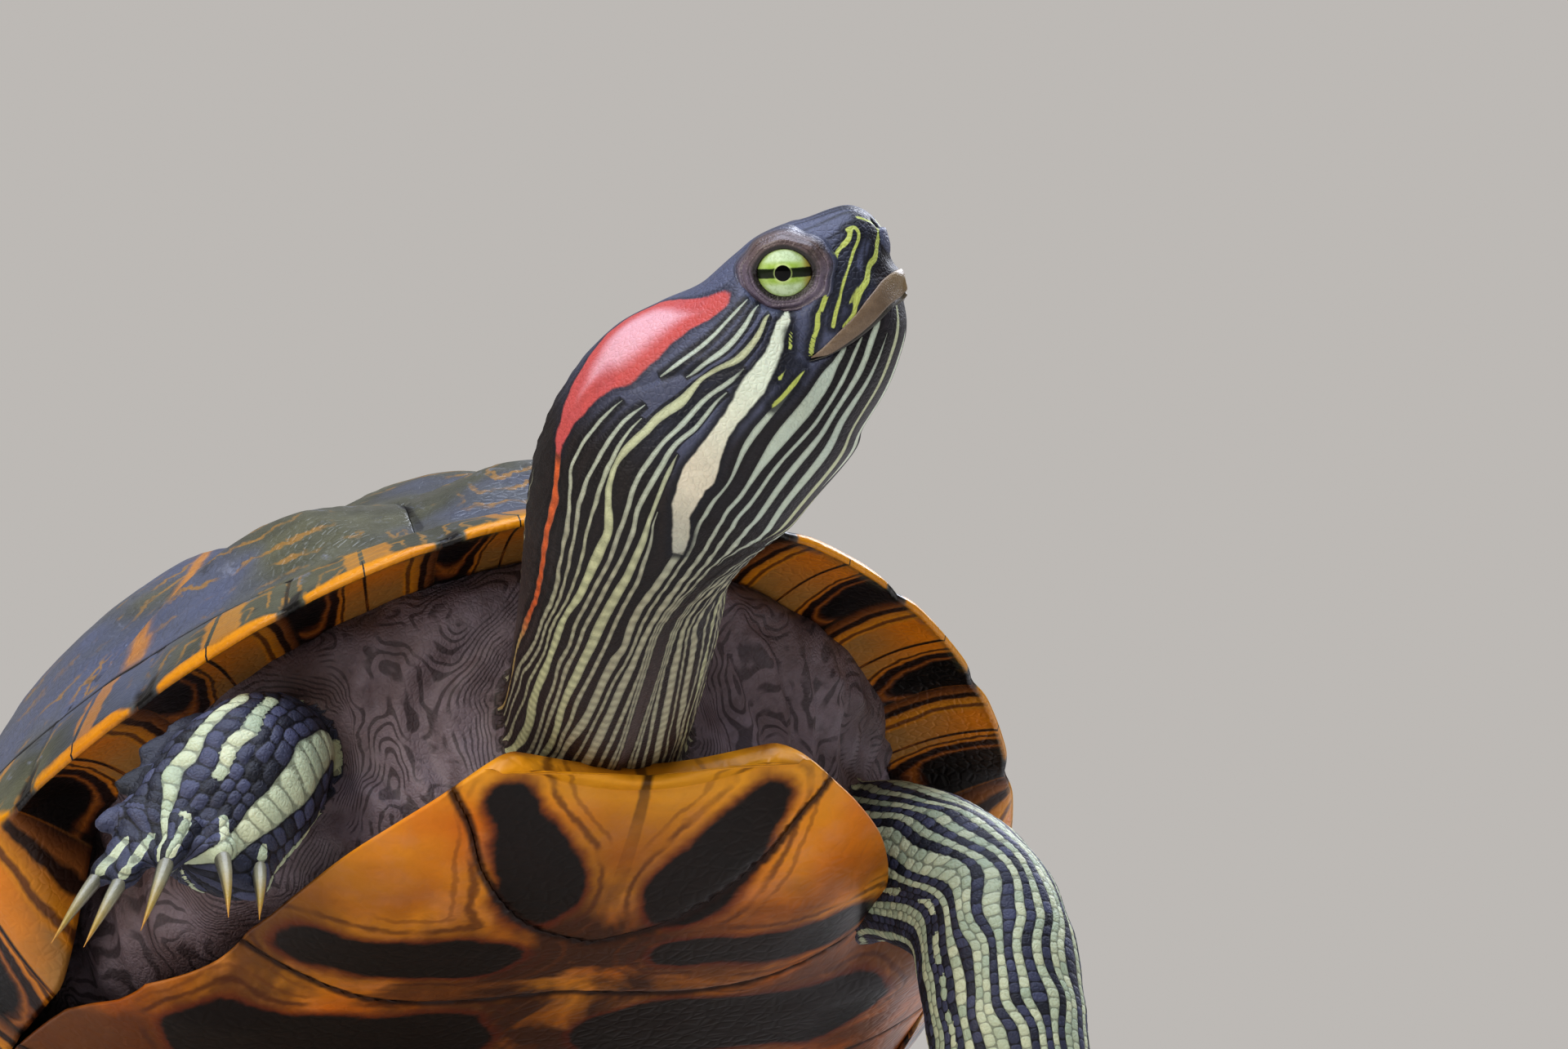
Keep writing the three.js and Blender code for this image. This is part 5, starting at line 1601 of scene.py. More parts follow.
@dataclass
class Limb:
    """A leg's flesh, made as one surface with scales that stand out and stripes that follow them."""

    plan: LimbPlan

    def centre_line(self) -> Array:
        """Points along the middle of the leg, from the body to the toes' roots, and the up direction."""
        rows = [s[:3] for s in (*self.plan.upper, *self.plan.lower[1:], *self.plan.palm[1:])]
        toes = np.array(self.plan.toes)
        rows.append(tuple(toes[:, 3:6].mean(0)))
        return fine_line(rows, 1.0)

    def toe_bodies(self) -> list[Body]:
        """The toes with their knuckles, and the webs between neighbours."""
        up, made = np.array(self.plan.up), []
        toes = np.array(self.plan.toes, float)
        for x0, y0, z0, x1, y1, z1, r, _ in toes:
            a, b = np.array([x0, y0, z0]), np.array([x1, y1, z1])
            back = a - unit(b - a) * 3.0
            lift = unit(up) * 0.25
            rows = [(*back, r * 1.15), (*(a + lift), r * 1.1), (*mix(a, b, 0.5), r * 0.84)]
            rows += [(*(mix(a, b, 0.85) + lift), r * 0.92), (*b, r * 0.68)]
            made.append(tube(rows, up, 20, 18))
        for first, second in zip(toes[:-1], toes[1:]):
            span = self.plan.web
            rows = []
            for t in (-0.5, 0.0, span * 0.5, span):
                p, q = mix(first[:3], first[3:6], t), mix(second[:3], second[3:6], t)
                rows.append((*((p + q) / 2), np.linalg.norm(p - q) / 2 + 0.4, 1.15 - 0.35 * max(0.0, t)))
            direction = unit(second[:3] - first[:3])
            along = unit(first[3:6] - first[:3] + second[3:6] - second[:3])
            face = np.cross(direction, along)
            made.append(tube(rows, unit(face) * np.sign(face @ up or 1), 24, 12, (0.5, 0.5)))
        return made

    def build(self, clip_floor: bool = True) -> Piece:
        """Joins the leg's parts into one even surface and raises its scales."""
        plan, up = self.plan, np.array(self.plan.up)
        bodies = [tube([*plan.upper, *plan.lower[1:]], up, 40, 40)]
        bodies.append(tube([plan.lower[-1], *plan.palm], up, 40, 26, (0.9, 0.8)))
        bodies += [*self.toe_bodies(), *self.flap_bodies()]
        obj = mesh_object(f"leg_{plan.name}_{plan.side}", merged_bodies(bodies))
        remeshed(obj, plan.voxel, 7)
        p, out = points_of(obj), normals_of(obj)
        run, turn, _, high, _, _ = self.scales(p)
        beads = (0.22 * np.clip(high * 2.2, -0.3, 1) - 0.12) / self.plan.fine**2
        folds = noise(joined(run * 0.35, np.cos(turn) * 2.2, np.sin(turn) * 2.2), 1.0, 64)
        p = p + out * (beads + 0.2 * folds)[:, None]
        if plan.on_floor and clip_floor:
            p[:, 2] = np.maximum(p[:, 2], 0.0)
        set_points(obj, p)
        return obj

    def flaps(self) -> list[tuple[Array, Array, float]]:
        """Root, tip and size of the large flat scales along the outer edge of the forearm."""
        plan, up, made = self.plan, np.array(self.plan.up, float), []
        rows = np.array([r if len(r) > 4 else (*r, r[3]) for r in (*plan.lower, *plan.palm[1:])], float)
        run = lengths_along(rows[:, :3])
        for k in range(plan.flaps):
            at = np.array([run[-1] * (0.10 + 0.80 * k / max(1, plan.flaps - 1))])
            here, ahead = curve_at(at, run, rows)[0], curve_at(at + 0.4, run, rows)[0]
            along = unit(ahead[:3] - here[:3])
            across = unit(np.cross(along, up))
            root = here[:3] + across * (here[3] - 1.9) - unit(up) * 0.5
            size = 1.35 - 0.15 * k
            made.append((root, root + along * 4.8 * size + across * 3.1 * size, size))
        return made

    def flap_bodies(self) -> list[Body]:
        """The large flat scales as closed bodies."""
        made = []
        for root, tip, size in self.flaps():
            middle = mix(root, tip, 0.55)
            rows = ((*root, 1.8 * size, 1.3), (*middle, 1.9 * size, 1.0), (*tip, 1.1 * size, 0.6))
            made.append(tube(rows, np.array(self.plan.up), 20, 14))
        return made

    def place_of(self, p: Array) -> tuple[Array, Array]:
        """How far along the leg points are, and their bearing round it (radians) from its outer face."""
        line = self.centre_line()
        index = nearest_index(line, p)
        along = unit(np.gradient(line, axis=0))[index]
        up = np.array(self.plan.up, float)
        across = unit(np.cross(along, up))
        upward = np.cross(across, along)
        d = p - line[index]
        run = index + np.clip((d * along).sum(1), -0.6, 0.6)
        return run, np.arctan2((d * across).sum(1), (d * upward).sum(1))

    def scales(self, p: Array) -> tuple[Array, ...]:
        """Run, bearing and row of points, and the height, column and row of the scale they lie on."""
        run, angle = self.place_of(p)
        sway = 0.16 * noise(p, 5.0, 65)
        rows = run / self.plan.scale_size + 0.3 * noise(p, 6.0, 66)
        angle = angle - math.radians(self.plan.phase) + sway
        if self.plan.broad is not None:
            half, turn = SCALES_ROUND / 2, angle / (2 * np.pi) * SCALES_ROUND
            off = (turn - self.plan.broad + half) % SCALES_ROUND - half
            far = 0.5 + (np.abs(off) - 1) * (half - 0.5) / (half - 1)
            off = np.where(np.abs(off) < 1, off / 2, np.sign(off) * far)
            angle = (off + round(self.plan.broad)) / SCALES_ROUND * 2 * np.pi
        for start, end, size in self.flaps():
            on = to_segments(p, np.array([[mix(start, end, 0.35), end]])) < 1.75 * size
            plate = np.round(angle[on].mean() / (2 * np.pi) * SCALES_ROUND) if on.any() else 0.0
            angle = np.where(on, plate / SCALES_ROUND * 2 * np.pi, angle)
            rows = np.where(on, np.round(rows[on].mean()) + 0.5 * (plate % 2) if on.any() else 0.0, rows)
        around = SCALES_ROUND * self.plan.fine
        high, column, row = scale_pattern(angle / (2 * np.pi) * around, rows, around)
        return run, angle, rows, high, column, row

    def marks(self, p: Array) -> tuple[Array, Array]:
        """Stripe tone of whole scales at the leg's points, and (sine, cosine, row) for drawing the scales."""
        plan = self.plan
        _, angle, rows, _, column, row = self.scales(p)
        around, tone = SCALES_ROUND * plan.fine, np.zeros(len(p))
        turn = angle / (2 * np.pi) * around
        middle = (row - 0.5 * (column % 2)) * plan.scale_size
        for first, last, start, end, broken in plan.stripes:
            here = (middle > start) & (middle < end)
            place = np.round(turn) if broken else turn
            away = np.abs((place - (first + last) / 2 + around / 2) % around - around / 2)
            inside = here * np.clip(0.5 + ((last - first) / 2 + 0.5 - away) * 1.7, 0, 1)
            if broken:
                inside = inside * (lattice(joined(row, column, row * 0), 67) < 0.62)
            tone = np.maximum(tone, inside)
        for toe in plan.toes:
            a, b = np.array(toe[:3]), np.array(toe[3:6])
            lift = unit(np.array(plan.up)) * toe[6]
            near = to_segments(p, np.array([[a + lift, b + lift * 0.8]]))
            tone = np.maximum(tone, smooth((0.62 - near) / 0.5 + 0.5))
        return tone, joined(np.sin(angle * plan.fine), np.cos(angle * plan.fine), rows)


FORE_RIGHT = LimbPlan(
    "fore", "right",
    ((-34, -112, 67, 8.6), (-38, -125, 71.5, 8.3), (-39.3, -136.5, 77.6, 7.5)),
    ((-39.4, -138.6, 79.2, 7.3), (-44.1, -144, 74.9, 9.6, 8.0), (-49.8, -148.5, 69, 9.8, 6.2)),
    ((-50.2, -149, 68.6, 9.6, 5.6), (-52.8, -151.5, 65.2, 10.2, 3.8)),
    (
        (-59.9, -150.5, 66.3, -64.4, -153.0, 62.1, 1.8, 7.0),
        (-58.2, -152.0, 65.9, -62.2, -155.5, 61.6, 1.9, 7.0),
        (-54.5, -153.6, 67.4, -57.0, -157.0, 64.0, 2.0, 7.5),
        (-50.0, -153.5, 68.0, -50.4, -157.0, 64.8, 2.0, 6.2),
        (-44.6, -150.8, 66.9, -45.3, -154.0, 63.8, 1.9, 5.2),
    ),
    up=(0.1, -0.8, 0.6), on_floor=False, voxel=0.50, scale_size=2.2, phase=8.0, flaps=4, broad=-3.5,
    stripes=(
        (2, 2, 10, 60, 0), (0, 0, 20, 60, 1), (-4, -4, 14, 60, 0), (-7, -7, 22, 50, 0),
        (-10, -10, 14, 60, 1),
    ),
)
FORE_LEFT = LimbPlan(
    "fore", "left",
    ((34, -108, 62, 10), (42, -124, 67, 10), (49.5, -138, 60.5, 9.8)),
    ((49, -141, 58, 9.6), (50.5, -146, 45, 9.8, 9.4), (51.5, -150, 30, 8.4, 7.0)),
    ((51.7, -150.5, 27, 8.2, 6.6), (53, -153.5, 14, 8.6, 5.4), (55, -160, 3.0, 9.8, 3.6)),
    (
        (49, -159.5, 2.4, 44, -164.5, 1.6, 1.9, 5.5), (52, -162, 2.6, 49.5, -170, 1.7, 2.0, 6.5),
        (55.5, -163, 2.6, 56.5, -172, 1.8, 2.1, 7.0), (59, -162, 2.6, 63.5, -170, 1.7, 2.0, 6.5),
        (61, -159.5, 2.4, 68, -164.5, 1.6, 1.9, 5.5),
    ),
    up=(0.0, -0.9, 0.4), on_floor=True, voxel=0.50, scale_size=1.35, phase=0.0, fine=2,
    stripes=(
        (0, 0, 10, 120, 0), (2, 2, 10, 120, 0), (4, 5, 14, 110, 0), (7, 7, 10, 110, 0),
        (9, 9, 12, 100, 1), (11, 12, 12, 90, 0), (15, 15, 12, 90, 0), (18, 18, 12, 90, 1),
        (-2, -2, 12, 120, 0), (-5, -4, 12, 120, 0), (-7, -7, 14, 110, 0), (-9, -9, 12, 100, 1),
        (-12, -11, 14, 100, 0), (-14, -14, 14, 90, 0), (-17, -17, 12, 90, 1),
    ),
)


def hind_plan(side: str, sign: float, lower: float) -> LimbPlan:
    """A hind leg folded beside the shell, its foot on the floor."""
    m = lambda rows: tuple(tuple([sign * r[0], *r[1:]]) for r in rows)
    toes = tuple(
        (sign * a, b, c, sign * d, e, f, g, h)
        for a, b, c, d, e, f, g, h in (
            (91, -47.5, 2.2, 93.5, -58, 1.7, 2.0, 5.5), (96.5, -46, 2.3, 102, -58, 1.8, 2.1, 6.0),
            (101, -43, 2.3, 110, -53, 1.8, 2.1, 6.0), (104.5, -39, 2.2, 115, -45.5, 1.7, 2.0, 5.5),
        )
    )
    return LimbPlan(
        "hind", side,
        m(((34, -33, 31 + lower, 11, 7.5), (56, -40, 30 + lower, 11.6, 8), (75, -46, 24 + lower, 10.6, 9))),
        m(((76, -44.6, 22 + lower, 9.8), (82, -36, 15, 8.6), (86, -28, 9, 7.4, 6.8))),
        m(((86, -28, 7.6, 7.4, 6.4), (91, -35, 4.6, 9.8, 4.6), (98, -44, 2.4, 13, 2.8))),
        toes, up=(0, 0, 1), on_floor=True, voxel=0.66, scale_size=2.4, phase=0.0, web=0.85,
        stripes=(
            (0, 0, 16, 120, 0), (3, 3, 16, 110, 1), (-3, -3, 16, 110, 0), (6, 6, 12, 100, 0),
            (-6, -6, 12, 100, 1), (9, 9, 10, 100, 0),
        ),
    )


@dataclass
class Tail:
    """The tail, laid down at its tip."""

    stations: Table = (
        (0, -24, 21, 7.5, 7.5), (0, -6, 12.2, 6.4, 6.4), (1, 7, 7.2, 5.4, 5.4), (5, 22, 4.4, 4.4, 4.4),
        (11, 36, 2.8, 3.0, 2.7), (19, 47, 1.3, 1.5, 1.25),
    )

    def build(self) -> Piece:
        """One closed tapered surface with its scales, flat where it lies."""
        body = tube(self.stations, np.array([0, 0, 1.0]), 56, 130)
        obj = mesh_object("tail_flesh", body)
        p, out = points_of(obj), normals_of(obj)
        edge, _ = cells(p, 1.7, 61)
        p = p + out * (0.18 * (np.minimum(edge * 2.6, 1) - 0.75))[:, None]
        p[:, 2] = np.maximum(p[:, 2], 0.0)
        set_points(obj, p)
        return obj


@dataclass
class Skin:
    """One closed skin over head, neck, trunk, legs and tail."""

    shell: ShellForm
    head: HeadAndNeck
    limbs: list[Limb]
    tail: Tail

    def flesh_nodes(self) -> list[str]:
        """Every solid node that the skin stands for."""
        names = ["head", "lower_jaw", "neck_upper", "neck_lower", "trunk", "tail"]
        for limb in self.limbs:
            names += limb.plan.node_names()
        return names

    def build(self) -> Piece:
        """Joins the parts, softens the lines where they meet and marks the surface for its finish."""
        head_body, head_marks = self.head.build()
        head_obj = mesh_object("head_part", head_body)
        skin = mesh_object("skin", Trunk(self.shell, self.head.form).build())
        parts = [("head", head_obj)]
        parts += [(f"{l.plan.name}_{l.plan.side}", l.build()) for l in self.limbs]
        parts.append(("tail", self.tail.build()))
        sources = {"trunk": points_of(skin), **{name: points_of(o) for name, o in parts}}
        for name, part in parts:
            combined(skin, part, Cut.JOIN)
            LOG.info("skin joined with %s: %d faces", name, len(skin.data.polygons))
        p = points_of(skin)
        names = list(sources)
        owner_of = np.concatenate([np.full(len(sources[n]), i) for i, n in enumerate(names)])
        every = np.vstack([sources[n] for n in names])
        index = nearest_index(every, p)
        owner = owner_of[index]
        start = {n: int(np.argmax(owner_of == i)) for i, n in enumerate(names)}
        away = self.soften_joins(skin, p, owner)
        self.mark(skin, p, owner, index, names, start, head_marks, away)
        skin.data.shade_smooth()
        return skin

    def soften_joins(self, skin: Piece, p: Array, owner: Array) -> Array:
        """Softens the lines where parts meet, but not on the floor, and gives points' distance to them."""
        a, b = edges_of(skin)
        apart = owner[a] != owner[b]
        on_line = np.zeros(len(p), bool)
        on_line[a[apart]] = on_line[b[apart]] = True
        line = p[on_line][::3]
        away = np.linalg.norm(p - line[nearest_index(line, p)], axis=1)
        softened(skin, smooth((5.0 - away) / 5.0) * np.where(p[:, 2] < 0.4, 0.0, 1.0), 26)
        return away

    def mark(
        self, skin: Piece, p: Array, owner: Array, index: Array, names: list[str], start: dict[str, int],
        head_marks: dict[str, Array], away: Array
    ) -> None:
        """Writes the attributes that the skin's finish reads.

        Args:
            skin: the joined skin.
            p: its points in millimetres.
            owner: for each point, the number of the part it came from.
            index: for each point, the number of the nearest point of all parts.
            names: the parts in order.
            start: where each part's points begin.
            head_marks: the head's own marks for its points.
            away: distance of each point from the nearest join.
        """
        n = len(p)
        flow = np.tile([-9.0, 0.0, 0.0], (n, 1))
        marks = np.full((n, 3), 9.0)
        zone = np.zeros((n, 3))
        tone, leg = np.zeros(n), np.tile([0.0, 1.0, 0.0], (n, 1))
        on_head = owner == names.index("head")
        local = index[on_head] - start["head"]
        flow[on_head] = head_marks["flow"][local]
        marks[on_head] = head_marks["marks"][local]
        s = head_marks["place"][local, 0]
        v = np.abs(head_marks["place"][local, 1])
        zone[on_head, 0] = np.maximum(smooth((s - 31 + (v - 60) * 0.03) / 9), 0.9 * smooth((v - 101) / 12))
        zone[on_head, 1] = smooth((s - 86) / 14)
        place = np.zeros((n, 3))
        place[on_head] = head_marks["place"][local]
        on_trunk = owner == names.index("trunk")
        zone[on_trunk, :2] = 1
        for limb in self.limbs:
            name = f"{limb.plan.name}_{limb.plan.side}"
            on = owner == names.index(name)
            t, own_leg = limb.marks(p[on])
            run, _ = limb.place_of(p[on])
            share = smooth((run - 6) / 14) if limb.plan.fore else smooth((run - 14) / 14)
            zone[on, 2] = share
            zone[on, 1] = 1 - share
            zone[on, 0] = 1
            tone[on], leg[on] = t * (share > 0.3), own_leg
        on = owner == names.index("tail")
        t = noise(p[on] * np.array([0.5, 0, 0.5]), 1.2, 71)
        zone[on, 2], zone[on, 0] = 1, 1
        tone[on] = smooth(t / 0.2)
        leg[on] = joined(np.sin(p[on, 0] * 0.2), np.cos(p[on, 0] * 0.2), p[on, 1] / 2.0)
        note(skin, "flow", flow)
        note(skin, "marks", marks)
        note(skin, "zone", zone)
        note(skin, "tone", joined(tone, np.clip(away, 0, 20), 0 * tone))
        note(skin, "leg", leg)
        note(skin, "place", place)


# ------------------------------------------------------------------ eyes, beak and claws
@dataclass
class Eye:
    """An eyeball with its clear dome, and the lids round it."""

    form: HeadForm
    sign: int
    open_long: float = 3.15
    open_tall: float = 2.7
    outer_long: float = 5.9
    outer_tall: float = 5.0
    tilt: float = math.radians(32)  # of the opening's long axis from the head's, so that it lies level

    @property
    def side(self) -> str:
        """Which side of the animal it is on."""
        return "left" if self.sign > 0 else "right"

    def centre(self) -> Array:
        """The eyeball's centre as (side, back, up) of the head."""
        return np.array([self.form.eye_side * self.sign, self.form.eye_back, self.form.eye_up])

    def ball(self) -> Piece:
        """The eyeball, a little fuller over the iris, with coordinates for its markings."""
        rows, around = 72, 96
        polar = np.linspace(0.02, np.pi - 0.05, rows)
        turn = full_turn(around)
        r = self.form.eye_radius + 0.28 * np.exp(-((polar / 0.62) ** 2))
        rings = []
        for t, radius in zip(polar, r):
            side = np.full(around, math.cos(t) * radius * self.sign)
            own = joined(side, np.cos(turn) * math.sin(t) * radius, np.sin(turn) * math.sin(t) * radius)
            rings.append(self.form.world(self.centre() + own))
        obj = mesh_object(f"eyeball_{self.side}", loft(rings))
        own = self.form.own(points_of(obj)) - self.centre()
        note(obj, "gaze", joined(own[:, 1], own[:, 2], own[:, 0] * self.sign))
        return obj

    def lids(self) -> Piece:
        """The upper and lower lid as one soft domed ring with creases, which sinks into the skin."""
        around, across, back = 176, 34, 7
        turn = full_turn(around)
        c, f = self.centre(), self.form
        level = np.array([math.cos(self.tilt), math.sin(self.tilt)])
        plumb = np.array([-math.sin(self.tilt), math.cos(self.tilt)])
        lean = np.linspace(0, 2.25, across)
        over = np.clip(lean - np.pi / 2, 0, None) / 0.68
        reach = np.where(lean < np.pi / 2, np.sin(np.minimum(lean, np.pi / 2)), 1 - 0.24 * over**1.5)
        fall = np.cos(np.minimum(lean, np.pi / 2)) ** 0.85
        rings = np.zeros((around, across + back, 3))
        marks = np.zeros((around, across + back, 3))
        for i, a in enumerate(turn):
            ca, sa = math.cos(a), math.sin(a)
            inner = level * self.open_long * ca + plumb * self.open_tall * signed_power(sa, 1.15)
            wide = 1 + 0.03 * math.sin(5 * a + 1) + 0.02 * math.sin(9 * a)
            outer = (level * self.outer_long * ca + plumb * self.outer_tall * sa) * wide
            flat = inner + (outer - inner) * reach[:, None]
            ball = f.eye_side + math.sqrt((f.eye_radius + 0.12) ** 2 - float(inner @ inner))
            skin = float(f.side_at(np.array([c[1] + outer[0]]), np.array([c[2] + outer[1]]))[0])
            foot = min(max(skin - 0.15, 4.4), 8.8)
            crest = 0.42 if sa > 0 else 0.3
            height = foot + (ball + crest - foot) * fall - crest * (1 - smooth(lean / 0.34)) * 0.8
            fold = np.sin(lean * 2 * np.pi * 2.7 + 0.7 * math.sin(2 * a + 0.5) + 0.4 * math.sin(5 * a))
            height = height + 0.11 * fold * smooth((lean - 0.15) / 0.3) * smooth((1.5 - lean) / 0.3)
            knobs = noise(joined(flat[:, 0], flat[:, 1], flat[:, 0] * 0 + self.sign), 0.9, 51)
            height = height + 0.09 * knobs * smooth((lean - 0.3) / 0.4)
            height = height - 2.4 * over
            top = joined(height * self.sign, c[1] + flat[:, 0], c[2] + flat[:, 1])
            t = np.linspace(1, 0, back)
            low_flat = inner + (flat[-1] - inner) * t[:, None]
            sunk = mix(ball - 0.9, height[-1] - 0.5, t)
            low = joined(sunk * self.sign, c[1] + low_flat[:, 0], c[2] + low_flat[:, 1])
            rings[i] = f.world(np.vstack([top, low]))
            marks[i, :across, 0], marks[i, across:, 0] = lean / 1.6, 1.4
            marks[i, :, 1], marks[i, :, 2] = sa, -ca
        obj = mesh_object(f"lids_{self.side}", ring_of_rings(rings))
        note(obj, "lid", marks.reshape(-1, 3))
        return obj


@dataclass
class Beak:
    """The horny edge of the upper jaw, from corner to corner round the snout, and the lower one inside it."""

    form: HeadForm
    mouth: Table = (
        (0.9, -4.5), (1.6, -4.8), (2.6, -4.85), (4.1, -5.2), (5.6, -5.6), (7.5, -5.9), (9.3, -6.0),
        (11.1, -6.0), (12.1, -5.8), (13.3, -5.5),
    )
    upper: Table = (
        (0.2, -2.3), (0.7, -2.3), (1.8, -2.4), (3.3, -2.9), (4.7, -3.3), (5.7, -3.7), (6.7, -4.1),
        (8.7, -4.6), (10.1, -4.9), (11.5, -5.2), (13.3, -5.4),
    )

    def edge(self, path: Pairs, steps: int) -> Array:
        """A line (back, up) read at even shares from the front to the corner."""
        line = fine_line(path, 0.15)
        return line[np.linspace(0, len(line) - 1, steps).astype(int)]

    def band(self, name: str, upper: Pairs, lower: Pairs, stand: float, lap: float) -> Piece:
        """A closed strip that lies on the jaw between two lines, on both sides and round the front.

        Args:
            name: the piece's name.
            upper: its upper line, as (back, up) from the front to the corner.
            lower: its lower line.
            stand: how far it stands out from the skin.
            lap: how far its lower edge hangs past the line.

        Returns:
            The piece.
        """
        steps, across = 110, 14
        hi, lo = self.edge(upper, steps), self.edge(lower, steps)
        share = np.linspace(0, 1, across)
        rows = []
        for i in range(steps):
            line = mix(hi[i], lo[i], share[:, None])
            side = self.form.side_at(line[:, 0], line[:, 1])
            rows.append(joined(side, line[:, 0], line[:, 1]))
        half = np.array(rows)
        front = half[0].copy()
        bow = []
        for k in np.linspace(1, 0, 26)[1:]:
            row = front.copy()
            row[:, 0] = front[:, 0] * k
            row[:, 1] = front[:, 1] - 0.55 * (1 - k**2) * (0.35 + 0.25 * (1 - share))
            bow.append(row)
        right = half[::-1] * np.array([-1, 1, 1])
        middle = np.array(bow)
        left = middle * np.array([-1, 1, 1])
        rows = self.form.leaned(np.concatenate([right, left, middle[::-1][1:], half]))
        for _ in range(24):
            rows[1:-1] = (rows[:-2] + 2 * rows[1:-1] + rows[2:]) / 4
        count = len(rows)
        along = np.linspace(-1, 1, count)
        taper = smooth((1 - np.abs(along)) / 0.12)
        centre = np.array([0.0, 7.0, -5.0])
        out = unit((rows - centre) * np.array([1.0, 0.9, 0.25]))
        profile = np.sin(np.pi * np.clip(share * 0.9 + 0.06, 0, 1)) ** 0.5
        outer = rows + out * (stand * profile[None, :, None] * taper[:, None, None] + 0.03)
        outer[:, -3:, 2] -= lap * np.array([0.4, 0.8, 1.0])[None, :] * taper[:, None]
        notch = np.exp(-((along / 0.022) ** 2))
        outer[:, -4:, 2] += 0.30 * notch[:, None]
        inner = rows[:, ::-1] - out[:, ::-1] * 0.75
        sections = np.concatenate([outer, inner], axis=1)
        obj = mesh_object(name, loft([self.form.world(r) for r in sections]))
        note(obj, "place", self.form.own(points_of(obj)))
        return obj

    def build(self) -> list[Piece]:
        """Both horny edges."""
        upper = self.band("upper_beak", self.upper, self.mouth, 0.34, 0.28)
        low_top = tuple((b + 0.5, u - 0.12) for b, u in self.mouth)
        low_edge = ((1.3, -5.4), (2.4, -5.75), (4.1, -6.0), (6, -6.35), (9, -6.6), (12, -6.3), (13.6, -5.7))
        return [upper, self.band("lower_beak", low_top, low_edge, 0.1, -0.05)]


class HornSweep:
    """A Geometry Nodes tree that sweeps a tapering horn along its centre line, and the meshes it makes."""

    def __init__(self, horn: Material) -> None:
        """Builds the tree, which sets the horn's material."""
        self.tree = bpy.data.node_groups.new("horn_sweep", "GeometryNodeTree")
        sockets, t = self.tree.interface, Tree(self.tree)
        sockets.new_socket("Centre line", in_out="INPUT", socket_type="NodeSocketGeometry")
        sizes = (
            ("Root radius", 0.001), ("Root share", 0.138), ("Taper", 1.5), ("Point", 0.05), ("Width", 0.82),
        )
        self.sizes = {}
        for name, value in sizes:
            socket = sockets.new_socket(name, in_out="INPUT", socket_type="NodeSocketFloat")
            socket.default_value = value
            self.sizes[name] = socket.identifier
        self.sizes["Up"] = sockets.new_socket("Up", in_out="INPUT", socket_type="NodeSocketVector").identifier
        sockets.new_socket("Horn", in_out="OUTPUT", socket_type="NodeSocketGeometry")
        given = t.add("NodeGroupInput").outputs
        line = t.node("GeometryNodeMeshToCurve", "Curve", {"Mesh": given["Centre line"]})
        facing = {"Curve": line, "Normal": given["Up"]}
        upright = t.node("GeometryNodeSetCurveNormal", "Curve", facing, mode="FREE")
        factor = t.node("GeometryNodeSplineParameter", "Factor", {})
        along = t.node("ShaderNodeMapRange", "Result", {"Value": factor, "From Min": given["Root share"]})
        radius = t.math("MAXIMUM", 1.0 - along ** given["Taper"], given["Point"]) * given["Root radius"]
        tapered = t.node("GeometryNodeSetCurveRadius", "Curve", {"Curve": upright, "Radius": radius})
        corners = {"Resolution": HORN_CORNERS, "Radius": 1.0}
        circle = t.node("GeometryNodeCurvePrimitiveCircle", "Curve", corners)
        oval = t.node("ShaderNodeCombineXYZ", "Vector", {"X": 1.0, "Y": given["Width"], "Z": 1.0})
        section = t.node("GeometryNodeTransform", "Geometry", {"Geometry": circle, "Scale": oval})
        sweep = t.add("GeometryNodeCurveToMesh")
        parts = (("Curve", tapered), ("Profile Curve", section), ("Scale", radius), ("Fill Caps", True))
        for key, value in parts:
            if key in sweep.inputs:
                t.plug(value, sweep.inputs[key])
        real = t.node("GeometryNodeRealizeInstances", "Geometry", {"Geometry": sweep.outputs["Mesh"]})
        coat = t.node("GeometryNodeSetMaterial", "Geometry", {"Geometry": real, "Material": horn})
        t.plug(coat, t.add("NodeGroupOutput").inputs["Horn"])

    def grow(self, name: str, centre: Array, root: float, up: Array) -> Piece:
        """One horn as a plain mesh.

        Args:
            name: the object's name.
            centre: points of its centre line in millimetres, root first.
            root: radius at the root in millimetres.
            up: the way its ridge faces.

        Returns:
            The object, with the tree's result as its own mesh.
        """
        mesh = bpy.data.meshes.new(name)
        mesh.from_pydata((centre * MM).tolist(), [(i, i + 1) for i in range(len(centre) - 1)], [])
        obj = bpy.data.objects.new(name, mesh)
        bpy.context.scene.collection.objects.link(obj)
        sweep = obj.modifiers.new("horn_sweep", "NODES")
        sweep.node_group = self.tree
        sweep[self.sizes["Root radius"]] = float(root * MM)
        sweep[self.sizes["Up"]] = [float(x) for x in up]
        applied(obj)
        edges = bmesh.new()
        edges.from_mesh(obj.data)
        bmesh.ops.remove_doubles(edges, verts=edges.verts, dist=1e-6)
        bmesh.ops.recalc_face_normals(edges, faces=edges.faces)
        edges.to_mesh(obj.data)
        edges.free()
        obj.data.shade_smooth()
        return obj


